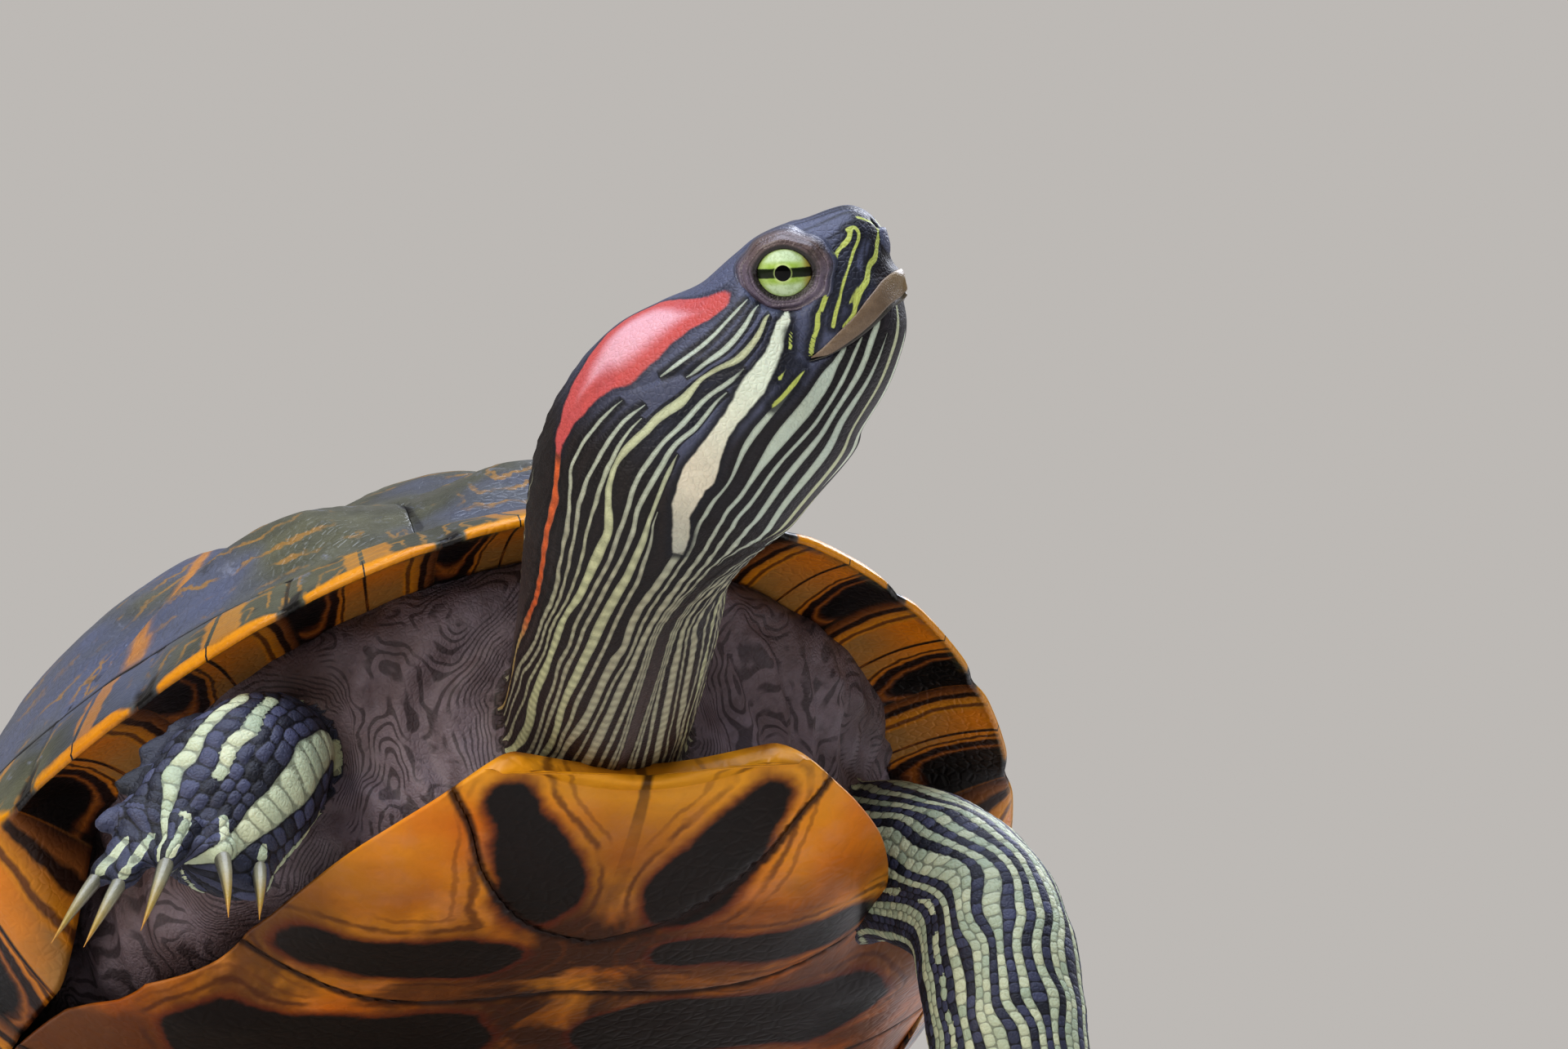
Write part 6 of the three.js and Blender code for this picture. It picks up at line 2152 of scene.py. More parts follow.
@dataclass(frozen=True)
class Claws:
    """The claws of one foot: curved horn with a sharp ridge, rooted in the toe's sheath."""

    plan: LimbPlan
    sweep: HornSweep

    def claw(self, name: str, toe: Sequence[float]) -> Piece:
        """One claw, curved down to its point.

        Args:
            name: the object's name.
            toe: the toe's row in the plan.

        Returns:
            The claw, with its noted reach.
        """
        x0, y0, z0, x1, y1, z1, r, length = toe
        a, base = np.array([x0, y0, z0]), np.array([x1, y1, z1])
        along = unit(base - a)
        tip = base + along * (r + length)
        tip[2] = max(0.25 if self.plan.on_floor else -9, tip[2] - length * 0.28)
        up = np.array(self.plan.up, float)
        up = unit(up - along * (up @ along))
        t = np.linspace(-0.16, 1, 22)
        arch = up * (0.10 * length)
        centre = base + (tip - base) * t[:, None] + arch * np.sin(np.pi * np.clip(t, 0, 1))[:, None]
        obj = self.sweep.grow(name, centre, r * 0.6, up)
        p = points_of(obj)
        if self.plan.on_floor:
            p[:, 2] = np.maximum(p[:, 2], 0.0)
            set_points(obj, p)
        reach = np.linalg.norm(p - base, axis=1)
        # the second part, how far the surface faces up, drives the painted shade on the claw's sides
        note(obj, "reach", joined(reach / reach.max(), normals_of(obj) @ up, reach))
        return obj

    def build(self) -> dict[str, Piece]:
        """All claws of the foot by node name."""
        kind = f"{'fore' if self.plan.fore else 'hind'}_claw_{self.plan.side}"
        return {f"{kind}_{i}": self.claw(f"{kind}_{i}_horn", toe) for i, toe in enumerate(self.plan.toes, 1)}


# ------------------------------------------------------------------ finishes
FLESH_DEPTH = (0.0016, 0.0008, 0.0005)  # how far red, green and blue light spread under the skin, in metres


def tint(code: int) -> tuple[float, float, float, float]:
    """A linear colour from a display colour written as 0xRRGGBB."""
    part = [(code >> k & 255) / 255 for k in (16, 8, 0)]
    r, g, b = (c / 12.92 if c <= 0.04045 else ((c + 0.055) / 1.055) ** 2.4 for c in part)
    return (r, g, b, 1.0)


def operation(how: str, turned: bool = False) -> Callable[["Wire", object], "Wire"]:
    """A method of Wire that adds one Math node, with its two operands turned round if asked."""

    def method(self: "Wire", other: object) -> "Wire":
        """The Math node's result."""
        return self.tree.math(how, other, self) if turned else self.tree.math(how, self, other)

    return method


@dataclass(frozen=True, eq=False)
class Wire:
    """A node's output in a tree. Sums written with it add Math nodes to the tree."""

    tree: "Tree"
    socket: Socket

    __add__, __radd__ = operation("ADD"), operation("ADD", True)
    __sub__, __rsub__ = operation("SUBTRACT"), operation("SUBTRACT", True)
    __mul__, __rmul__ = operation("MULTIPLY"), operation("MULTIPLY", True)
    __truediv__, __pow__, __mod__ = operation("DIVIDE"), operation("POWER"), operation("FLOORED_MODULO")

    def __abs__(self) -> "Wire":
        """The size without the sign."""
        return self.tree.math("ABSOLUTE", self)

    def __round__(self) -> "Wire":
        """The nearest whole number."""
        return self.tree.math("ROUND", self)


class Tree:
    """A small helper that adds and joins the nodes of one material or group."""

    def __init__(self, tree: bpy.types.NodeTree) -> None:
        """Keeps the tree to add to."""
        self.tree = tree

    def add(self, kind: str, **values: object) -> Node:
        """Adds a node and sets its plain properties."""
        made = self.tree.nodes.new(kind)
        for key, value in values.items():
            setattr(made, key, value)
        return made

    def plug(self, value: object, socket: Socket) -> None:
        """Joins an output to a socket, or sets the socket's value."""
        if isinstance(value, Wire):
            value = value.socket
        if isinstance(value, Socket):
            self.tree.links.new(value, socket)
        elif value is not None:
            socket.default_value = value

    def feed(self, node: Node, inputs: dict[object, object]) -> Node:
        """Joins or sets several inputs of a node."""
        for key, value in inputs.items():
            self.plug(value, node.inputs[key])
        return node

    def node(self, kind: str, out: object, inputs: dict[object, object], **values: object) -> Wire:
        """Adds a node, feeds its inputs and gives one of its outputs."""
        return Wire(self, self.feed(self.add(kind, **values), inputs).outputs[out])

    def math(self, how: str, a: object, b: object = None, clamp: bool = False) -> Wire:
        """A Math node's result."""
        return self.node("ShaderNodeMath", 0, {0: a, 1: b}, operation=how, use_clamp=clamp)

    def step(
        self, value: object, low: float, high: float, out_low: float = 0.0, out_high: float = 1.0
    ) -> Wire:
        """A soft step of a value between two places."""
        inputs = {"Value": value, "From Min": low, "From Max": high, "To Min": out_low, "To Max": out_high}
        return self.node("ShaderNodeMapRange", 0, inputs, interpolation_type="SMOOTHSTEP")

    def blend(self, share: object, a: object, b: object) -> Wire:
        """Two colours mixed by a share; a colour may be written as 0xRRGGBB."""
        a, b = (tint(colour) if isinstance(colour, int) else colour for colour in (a, b))
        return self.node("ShaderNodeMix", 2, {0: share, 6: a, 7: b}, data_type="RGBA")

    def ramp(self, value: object, stops: Sequence[tuple[float, object]]) -> Wire:
        """A colour ramp; a stop's colour may be written as 0xRRGGBB."""
        made = self.add("ShaderNodeValToRGB")
        items = made.color_ramp.elements
        while len(items) < len(stops):
            items.new(0.5)
        for item, (at, colour) in zip(items, stops):
            item.position, item.color = at, tint(colour) if isinstance(colour, int) else colour
        self.plug(value, made.inputs[0])
        return Wire(self, made.outputs[0])

    def attribute(self, name: str, out: str = "Vector") -> Wire:
        """An attribute of the piece."""
        return self.node("ShaderNodeAttribute", out, {}, attribute_name=name)

    def parts(self, name: str) -> list[Wire]:
        """The three parts of an attribute."""
        made = self.feed(self.add("ShaderNodeSeparateXYZ"), {0: self.attribute(name)})
        return [Wire(self, socket) for socket in made.outputs]

    def object_place(self) -> Wire:
        """The Object coordinates."""
        return self.node("ShaderNodeTexCoord", "Object", {})

    def scaled(self, vector: object, by: object) -> Wire:
        """A vector or a colour times a number."""
        return self.node("ShaderNodeVectorMath", 0, {0: vector, "Scale": by}, operation="SCALE")

    def stretched(self, place: object, scale: tuple[float, float, float]) -> Wire:
        """A place stretched along the axes."""
        return self.node("ShaderNodeMapping", 0, {0: place, "Scale": scale})

    def noise(
        self, place: object, scale: float, detail: float,
        rough: float = 0.55, warp: float = 0.0, out: str = "Fac"
    ) -> Wire:
        """Noise from 0 to 1, or its colour."""
        inputs = {"Vector": place, "Scale": scale, "Detail": detail, "Roughness": rough, "Distortion": warp}
        return self.node("ShaderNodeTexNoise", out, inputs)

    def pebbles(self, place: object, scale: float) -> Wire:
        """Distance to the edges of small irregular cells."""
        inputs = {"Vector": place, "Scale": scale}
        return self.node("ShaderNodeTexVoronoi", "Distance", inputs, feature="DISTANCE_TO_EDGE")


def grain_group() -> bpy.types.NodeTree:
    """A shared group: fine mottling of a colour, and a height of grain and small pebbles.

    Returns:
        The group, with inputs Color, Amount, Size and Pebble, and outputs Color and Height.
    """
    group = bpy.data.node_groups.new("mottled_grain", "ShaderNodeTree")
    face = group.interface
    face.new_socket("Color", in_out="INPUT", socket_type="NodeSocketColor")
    for name, value in (("Amount", 0.3), ("Size", 400.0), ("Pebble", 900.0)):
        face.new_socket(name, in_out="INPUT", socket_type="NodeSocketFloat").default_value = value
    face.new_socket("Color", in_out="OUTPUT", socket_type="NodeSocketColor")
    face.new_socket("Height", in_out="OUTPUT", socket_type="NodeSocketFloat")
    t = Tree(group)
    given, result = t.add("NodeGroupInput"), t.add("NodeGroupOutput")
    place = t.object_place()
    soft = t.noise(t.scaled(place, given.outputs["Size"]), 1.0, 4.0, 0.6)
    value = (soft - 0.5) * given.outputs["Amount"] + 1.0
    t.plug(t.scaled(given.outputs["Color"], value), result.inputs["Color"])
    pebble = t.step(t.pebbles(t.scaled(place, given.outputs["Pebble"]), 1.0), 0.0, 0.25)
    t.plug(soft * 0.4 + pebble, result.inputs["Height"])
    return group


@dataclass(frozen=True)
class Finish:
    """A surface finish: its name and how it answers light."""

    name: str
    roughness: float
    coat: float = 0.0
    coat_roughness: float = 0.1
    specular: float = 0.5
    soft: float = 0.0

    def start(self) -> tuple[Material, Tree, Node]:
        """A new material with its shader.

        Returns:
            The material, its tree and its Principled BSDF.
        """
        made = bpy.data.materials.new(self.name)
        made.use_nodes = True
        t = Tree(made.node_tree)
        shader = made.node_tree.nodes["Principled BSDF"]
        t.feed(shader, {"Roughness": self.roughness, "Specular IOR Level": self.specular})
        t.feed(shader, {"Coat Weight": self.coat, "Coat Roughness": self.coat_roughness})
        if self.soft:
            t.feed(shader, {
                "Subsurface Weight": self.soft, "Subsurface Radius": FLESH_DEPTH, "Subsurface Scale": 1.0,
            })
        return made, t, shader

    def grain(
        self, t: Tree, shader: Node, colour: object, amount: float, size: float, pebble: float,
        height: object, strength: float, distance: float
    ) -> None:
        """Runs a colour through the shared grain and adds a bump.

        Args:
            t: the material's tree.
            shader: its Principled BSDF.
            colour: the colour before the grain.
            amount: how strong the mottling is.
            size: how fine it is, in features to a metre.
            pebble: how fine the pebbles are, in cells to a metre.
            height: the finish's own relief, added to the grain's.
            strength: strength of the bump.
            distance: height of the relief in metres.
        """
        group = bpy.data.node_groups.get("mottled_grain") or grain_group()
        inputs = {"Color": colour, "Amount": amount, "Size": size, "Pebble": pebble}
        made = t.feed(t.add("ShaderNodeGroup", node_tree=group), inputs)
        total = made.outputs["Height"] if height is None else made.outputs["Height"] + height
        relief = t.node("ShaderNodeBump", 0, {"Strength": strength, "Distance": distance, "Height": total})
        t.feed(shader, {"Base Color": made.outputs["Color"], "Normal": relief})


@dataclass(frozen=True)
class SkinFinish(Finish):
    """The skin: slate head and dark neck with pale stripes, red patch, maze-lined collar and scaled legs."""

    def striped(self, t: Tree, rough: Wire, slow: Wire, covered: Wire) -> Wire:
        """Slate head and dark neck with the pale stripes, their dark borders and the fine lines beside them.

        Args:
            t: the material's tree.
            rough: fine noise.
            slow: broad noise.
            covered: 1 where the dark of the neck lies, 0 on the slate head.

        Returns:
            The colour.
        """
        flow, back = t.parts("flow"), t.parts("place")[0]
        slate = t.blend(slow, 0x383C4A, 0x646A84)
        dark = t.blend(rough, 0x14100F, 0x2A2220)
        low = t.step(back, 42, 72)
        base = t.blend(covered, slate, t.blend(low, dark, 0x4C403E))
        margin = (rough - 0.5) * 0.14 + flow[0]
        stripe = t.step(margin, -0.06, 0.06)
        head_only = t.math("SUBTRACT", 1.0, covered, clamp=True)
        border = t.step(margin, -1.1, -0.3) * (head_only * 0.15 + 0.8)
        base = t.blend(border, base, t.blend(head_only, t.blend(low, 0x120E0E, 0x241B1A), 0x12151D))
        pale = t.blend(t.step(back, 30, 50), 0xBCCBC2, 0xA49E8A)
        pale = t.blend(slow * 0.5, pale, 0xB9BE94)
        pale = t.blend(t.step(flow[1], 0.2, 0.5) * 0.7, pale, 0xC2C698)
        orange = t.blend(t.step(back, 56, 66), 0xC8602F, 0xB9A06A)
        pale = t.blend(t.step(flow[1], 1.2, 1.8), pale, orange)
        pale = t.blend(t.step(flow[1], 2.4, 2.7), pale, t.blend(slow, 0x9FB070, 0xC9D37E))
        beads = t.math("SINE", back * 4.4) * 0.16 + 0.88
        beaded = t.scaled(pale, (beads - 1.0) * t.step(back, 34, 46) + 1.0)
        inner_shade = t.step(margin, 0.3, 0.05) * 0.35
        return t.blend(stripe, base, t.blend(inner_shade, beaded, 0x4E5048))

    def patched(self, t: Tree, place: Wire, rough: Wire, slow: Wire, colour: Wire) -> Wire:
        """Lays the broad creamy stripe, the fine lines of the snout and the red patch over a colour; the patch's pale
        pink middle is a painted highlight.

        Args:
            t: the material's tree.
            place: Object coordinates.
            rough: fine noise.
            slow: broad noise.
            colour: what lies under the marks.

        Returns:
            The colour with the marks.
        """
        marks, back = t.parts("marks"), t.parts("place")[0]
        broad_edge = (rough - 0.5) * 0.35 + marks[1]
        colour = t.blend(t.step(broad_edge, 0.9, 0.15) * 0.9, colour, 0x14151B)
        creamy = t.blend(t.step(back, 18, 34), 0xD5DFCB, 0xD9D2BC)
        creamy = t.blend(t.step(back, 34, 42), creamy, 0xB0B0A0)
        colour = t.blend(t.step(broad_edge, 0.12, -0.12), colour, creamy)
        line_edge = (rough - 0.5) * 0.12 + marks[2]
        colour = t.blend(t.step(line_edge, 1.1, 0.25) * 0.85, colour, 0x14161E)
        colour = t.blend(t.step(line_edge, 0.07, -0.07), colour, t.blend(slow, 0x9FAE5A, 0xC3CC6E))
        red_edge = (t.noise(place, 380.0, 3.0) - 0.5) * 0.9 + marks[0]
        colour = t.blend(t.step(red_edge, 1.0, 0.2) * 0.6, colour, 0x1C1B26)
        # painted highlight: the red patch fades to pale pink in its middle, standing for the sky's sheen on the wet
        # skin
        centre = t.blend(t.step(marks[0] + slow * 1.6, -0.2, -2.6), 0xBC5450, 0xD6A2AA)
        centre = t.blend(t.step(t.noise(place, 150.0, 2.0), 0.52, 0.7) * 0.35, centre, 0xAC565C)
        return t.blend(t.step(red_edge, 0.22, -0.18), colour, centre)

    def collar(self, t: Tree, place: Wire, near: Wire) -> tuple[Wire, Wire]:
        """A maze of dark wavering lines, which run round the joins near by: its colour and its lines."""
        bend = t.scaled(t.noise(place, 110.0, 2.0, 0.5, out="Color"), 0.012)
        bent = t.node("ShaderNodeVectorMath", 0, {0: place, 1: bend}, operation="ADD")
        field = t.noise(bent, 62.0, 0.4, 0.4) * 135.0
        field = field * t.step(near, 0.0, 9.0, 0.10, 1.0) + t.step(near, 11.0, 3.0) * (near * 3.3)
        waves = t.math("SINE", t.noise(place, 170.0, 2.0) * 3.0 + field)
        maze = t.step(waves, 0.05, 0.75) * t.step(t.noise(place, 210.0, 2.0), 0.36, 0.5)
        base = t.blend(t.step(t.noise(place, 45.0, 4.0, 0.6), 0.35, 0.65), 0x5C4C4C, 0x837880)
        base = t.blend(t.step(t.noise(place, 330.0, 3.0), 0.5, 0.7) * 0.35, base, 0x4A3C3C)
        return t.blend(maze * 0.66, base, 0x2C2325), maze

    def scaled_leg(self, t: Tree, rough: Wire, tone: Wire) -> tuple[Wire, Wire]:
        """The legs' staggered scales: their colour and how high they stand."""
        sine, cosine, along = t.parts("leg")
        columns = t.math("ARCTAN2", sine, cosine) * (SCALES_ROUND / (2 * math.pi))
        column = round(columns)
        shifted = along + (column % 2.0) * 0.5
        row = round(shifted)
        x = abs((columns - column) * 2.0) ** SCALE_POWER
        y = abs((shifted - row) * 2.0) ** SCALE_POWER
        high = (rough - 0.5) * 0.10 + (1.0 - (x + y) ** (1 / SCALE_POWER))
        number = t.node("ShaderNodeCombineXYZ", 0, {0: column, 1: row})
        dice = t.node("ShaderNodeTexWhiteNoise", "Value", {"Vector": number}, noise_dimensions="2D")
        dark, pale = t.blend(dice, 0x202229, 0x4A4E66), t.blend(dice, 0xA6B49A, 0xC9CFAE)
        leg = t.blend(t.step(tone, 0.45, 0.55), dark, pale)
        groove = t.step(high, 0.20, 0.02) * t.step(tone, 0.45, 0.55, 0.9, 0.52)
        return t.blend(groove, leg, 0x0F0F12), high

    def build(self) -> Material:
        """Makes the material."""
        made, t, shader = self.start()
        place = t.object_place()
        neck, trunk, limb = t.parts("zone")
        tone, near, _ = t.parts("tone")
        rough, slow = t.noise(place, 620.0, 2.0), t.noise(place, 90.0, 3.0)
        colour = self.patched(t, place, rough, slow, self.striped(t, rough, slow, neck))
        collar, maze = self.collar(t, place, near)
        colour = t.blend(t.step(trunk + (slow - 0.5) * 0.4, 0.3, 0.75), colour, collar)
        leg, high = self.scaled_leg(t, rough, tone)
        on_leg = t.step(limb, 0.25, 0.7)
        colour = t.blend(on_leg, colour, leg)
        pores = t.step(t.pebbles(place, 1250.0), 0.0, 0.3)
        height = pores * (neck * 0.5) + t.step(high, 0.0, 0.45) * (on_leg * 2.2) - maze * trunk * 0.45
        self.grain(t, shader, colour, 0.35, 900.0, 1500.0, height, 0.32, 0.00024)
        t.plug(rough * 0.22 + (neck * 0.10 + self.roughness), shader.inputs["Roughness"])
        return made


@dataclass(frozen=True)
class LidFinish(Finish):
    """The lids: brownish grey with a dark wet margin, yellowish flecks and painted shade along their creases."""

    def build(self) -> Material:
        """Makes the material."""
        made, t, shader = self.start()
        place = t.object_place()
        lid = t.parts("lid")
        body = t.blend(t.noise(place, 500.0, 3.0), 0x544850, 0x72687A)
        body = t.blend(t.step(lid[1], -0.1, 0.7) * 0.7, body, 0x64544A)
        front = t.step(lid[2], 0.2, 0.8) * t.step(lid[1], -0.5, 0.3)
        body = t.blend(front * t.step(t.noise(place, 700.0, 3.0), 0.4, 0.6) * 0.75, body, 0x2A2019)
        body = t.blend(t.step(t.noise(place, 260.0, 2.0) * 0.5 + lid[0], 0.72, 1.05), body, 0x4A4F63)
        margin = t.step(lid[0], 0.18, 0.08)
        body = t.blend(margin, body, 0x17100E)
        # painted shade: dark lines along the lid's creases, where shade falls between its folds
        creases = abs(t.math("SINE", lid[0] * 15.0))
        body = t.blend(t.step(creases, 0.4, 0.0) * 0.65, body, 0x2A2024)
        self.grain(t, shader, body, 0.35, 1200.0, 2200.0, None, 0.3, 0.00012)
        return made


@dataclass(frozen=True)
class EyeFinish(Finish):
    """The eye: lime iris with a paler ring, round pupil and a dark bar across, and pale bands above and below the
    pupil, partly the iris's own colour and partly a painted reflection.
    """

    def build(self) -> Material:
        """Makes the material."""
        made, t, shader = self.start()
        gaze = t.parts("gaze")
        place = t.object_place()
        cos, sin = math.cos(math.radians(30)), math.sin(math.radians(30))
        level = gaze[0] * cos + gaze[1] * sin
        plumb = gaze[0] * -sin + gaze[1] * cos
        radius = t.math("SQRT", level * level + plumb * plumb)
        fleck = t.noise(place, 1500.0, 4.0, 0.7)
        iris = t.ramp(
            radius / 3.4,
            ((0.0, 0xA6C25E), (0.28, 0xC4D890), (0.38, 0x9DBC54), (0.70, 0xB0CA78), (1.0, 0x788A3C)),
        )
        tall = abs(plumb)
        # partly painted reflection: pale bands at the top and bottom of the iris stand for the sky's reflection on the
        # wet eye, over the iris's own paler colour
        iris = t.blend(t.step(tall, 0.9, 1.6) * t.step(radius, 3.0, 2.2) * 0.75, iris, 0xD2E4C8)
        iris = t.blend(t.step(fleck, 0.45, 0.62) * 0.3, iris, 0x6E8E22)
        iris = t.blend(t.step(level, -1.9, -2.8) * 0.6, iris, 0xA8843A)
        drop = (fleck - 0.5) * 0.22 + tall
        ring = t.step(abs(radius - 1.0), 0.02, 0.14, 0.55, 1.0)
        bar = t.step(drop, 0.64, 0.46) * ring
        iris = t.blend(bar * 0.97, iris, 0x0A1210)
        iris = t.blend(t.step(radius, 0.96, 0.88), iris, (0.001, 0.001, 0.001, 1))
        iris = t.blend(t.step(radius, 3.05, 3.4), iris, 0x241C14)
        t.plug(iris, shader.inputs["Base Color"])
        return made


@dataclass(frozen=True)
class BeakFinish(Finish):
    """Horn of the jaw edges: brown, worn paler along the cutting edge."""

    upper_colour: int = 0x8A7862
    lower_colour: int = 0x34332F

    def build(self, lower: bool) -> Material:
        """Makes the material for the upper or the lower edge."""
        made, t, shader = self.start()
        place = t.object_place()
        own = t.parts("place")
        streak = t.noise(t.stretched(place, (1.0, 1.0, 2.6)), 520.0, 4.0, 0.7)
        first = self.lower_colour if lower else self.upper_colour
        colour = t.blend(streak, first, 0x45423A if lower else 0x5E4C3A)
        colour = t.blend(t.step(own[1], 3.5, 0.0) * 0.5, colour, 0xA08A5C)
        self.grain(t, shader, colour, 0.3, 1500.0, 2600.0, streak, 0.25, 0.00012)
        return made


@dataclass(frozen=True)
class ClawFinish(Finish):
    """Claw horn: pale along its ridge and yellow to orange at the tip, with painted shade darkening the sides that
    face away from above.
    """

    def build(self) -> Material:
        """Makes the material."""
        made, t, shader = self.start()
        place = t.object_place()
        reach, facing, _ = t.parts("reach")
        streak = t.noise(place, 900.0, 4.0, 0.7)
        colour = t.ramp(reach, ((0.0, 0x6E7064), (0.35, 0xA3A186), (0.72, 0xB39A4C), (1.0, 0xD08E22)))
        # painted shade: the sides, which face away from the claw's up direction, are darkened, so the ridge stays pale
        # like a highlight
        side = t.step(facing + streak * 0.25, 0.75, 0.25) * t.step(reach, 1.0, 0.7)
        colour = t.blend(side * 0.8, colour, 0x2E2D2A)
        colour = t.blend(streak * 0.4, colour, 0x4A4638)
        self.grain(t, shader, colour, 0.3, 1500.0, 2600.0, streak, 0.2, 0.0001)
        return made


@dataclass(frozen=True)
class ShellFinish(Finish):
    """What all plates of the upper shell share."""

    def weathered_with_painted_sheen(self, t: Tree, place: Wire, seam: Wire) -> tuple[Wire, ...]:
        """Wet olive with fine ochre lines that follow the plates' growth, under slate blue patches and pale blue grey
        streaks that are a painted sheen of the sky.

        Args:
            t: the material's tree.
            place: Object coordinates.
            seam: distance from the nearest seam in millimetres.

        Returns:
            The colour, a broad mottling and a fine grain.
        """
        cloud = t.noise(place, 38.0, 4.0, 0.6, 0.4)
        fine = t.noise(place, 420.0, 4.0, 0.6)
        colour = t.blend(t.step(cloud, 0.35, 0.7), 0x3C3F34, 0x62624C)
        # painted reflection: slate blue patches stand for the sky's sheen on the wet plates
        colour = t.blend(t.step(t.noise(place, 24.0, 3.0), 0.42, 0.62) * 0.85, colour, 0x545C78)
        long = t.stretched(place, (1.0, 0.35, 1.0))
        waver = t.noise(long, 130.0, 4.0, 0.65)
        rings = t.math("SINE", waver * 16.0 + seam * 2.1)
        worn = t.step(t.noise(place, 75.0, 4.0, 0.65), 0.47, 0.60)
        colour = t.blend(t.step(rings, 0.55, 0.95) * worn * 0.8, colour, 0x9C7434)
        dark = t.step(t.noise(place, 120.0, 5.0, 0.7), 0.58, 0.70)
        colour = t.blend(dark * 0.6, colour, 0x1E2024)
        # painted highlight: pale blue grey streaks of wet sheen
        pale = t.step(t.noise(long, 260.0, 4.0, 0.7), 0.60, 0.72)
        return t.blend(pale * 0.45, colour, 0x8A8FA0), cloud, fine


@dataclass(frozen=True)
class CarapaceFinish(ShellFinish):
    """The scutes of the back: a narrow broken bar on each costal, dark seams."""

    bars: tuple[float, ...] = (50.0, 83.0, 109.0, 143.0)  # bearings in degrees

    def build(self) -> Material:
        """Makes the material."""
        made, t, shader = self.start()
        place = t.object_place()
        seam = t.attribute("seam", "Fac")
        share = t.parts("rim_place")[1]
        around = abs(t.parts("around")[0])
        base, cloud, fine = self.weathered_with_painted_sheen(t, place, seam)
        bearing = (cloud - 0.5) * 9.0 + around
        stops = []
        for at in self.bars:
            edges = ((-1.6, 0.0), (-0.7, 1.0), (0.7, 1.0), (1.6, 0.0))
            stops += [((at + d) / 180, (k, k, k, 1)) for d, k in edges]
        bar = t.ramp(bearing / 180.0, stops) * (t.step(share, 0.36, 0.5) * t.step(share, 0.90, 0.82))
        bar = bar * t.step(t.noise(place, 150.0, 3.0), 0.34, 0.5)
        base = t.blend(bar * 0.85, base, t.blend(fine, 0xB8701C, 0xC88E3C))
        base = t.blend(t.step(seam, 1.1, 0.25), base, 0x16130E)
        self.grain(t, shader, base, 0.5, 240.0, 700.0, fine * 1.2, 0.3, 0.0003)
        rough = t.math("MAXIMUM", fine * 0.3 + self.roughness, t.step(seam, 1.2, 0.4))
        t.plug(rough, shader.inputs["Roughness"])
        t.plug(t.step(seam, 0.4, 1.4) * self.coat, shader.inputs["Coat Weight"])
        return made


@dataclass(frozen=True)
class MarginalFinish(ShellFinish):
    """The marginals: a thin yellow edge above, orange below with a ringed black blotch before each seam."""

    def build(self) -> Material:
        """Makes the material."""
        made, t, shader = self.start()
        place = t.object_place()
        seam = t.attribute("seam", "Fac")
        away, _, under = t.parts("rim_place")
        _, inward, _ = t.parts("around")
        top, cloud, fine = self.weathered_with_painted_sheen(t, place, seam)
        waver = t.noise(place, 130.0, 3.0, 0.6) - 0.5
        off = abs(away + 1.2)
        yellow = t.blend(cloud, 0xC4720E, 0xDCA013)
        edge = t.step(waver * 1.4 + inward, 1.1, 0.5) * t.step(waver * 3.0 + off, 2.2, 3.0)
        bar = t.step(waver * 5.0 + off, 8.4, 9.2) * 0.55
        top = t.blend(t.math("MAXIMUM", edge, bar), top, yellow)
        top = t.blend(t.step(waver * 3.0 + off, 2.4, 1.4) * t.step(inward, 4.5, 2.5), top, 0x0E0C0A)
        # lower faces: a blotch in front of the seam with arcs round it, stripes behind the seam
        low = t.blend(waver * 0.9 + t.step(inward, 2.0, 14.0), 0xD68014, 0xA67A40)
        ahead = away + 3.4
        ahead = ahead * (t.math("LESS_THAN", ahead, 0.0) * 0.50 + 0.75)
        depth = (inward - 1.5) * 0.38
        spread = t.math("SQRT", ahead * ahead + depth * depth)
        spread = waver * 3.2 + spread
        arcs = t.ramp(
            spread / 8.5,
            (
                (0.0, 0x060403), (0.44, 0x0A0604), (0.48, 0x4A2710), (0.53, 0x965A20), (0.57, 0x6A3A18),
                (0.61, 0x1E0F09), (0.75, 0x2A160D), (0.79, 0xB06C22), (0.84, 0xC87E1E), (0.88, 0x54300F),
                (0.92, 0x5A3414), (0.96, 0xCC861C),
            ),
        )
        low = t.blend(t.step(spread, 8.4, 7.8) * t.step(away, 0.35, 0.0), low, arcs)
        behind = waver * 2.0 + away
        stripes = t.ramp(
            behind / 8.0,
            (
                (0.0, 0x3A2011), (0.10, 0x6A3E1C), (0.20, 0x8A5628), (0.25, 0x2A170D), (0.36, 0x301B0F),
                (0.41, 0xB87624), (0.56, 0xD08A1E), (0.60, 0x7A4A1C), (0.66, 0x6E421A), (0.71, 0xCC861E),
            ),
        )
        low = t.blend(t.step(away, 0.0, 0.35) * t.step(behind, 6.4, 5.6), low, stripes)
        colour = t.blend(under, top, low)
        colour = t.blend(t.step(seam, 0.55, 0.2) * 0.85, colour, 0x140E0A)
        self.grain(t, shader, colour, 0.35, 240.0, 800.0, fine, 0.2, 0.00025)
        t.plug(fine * 0.25 + self.roughness, shader.inputs["Roughness"])
        return made


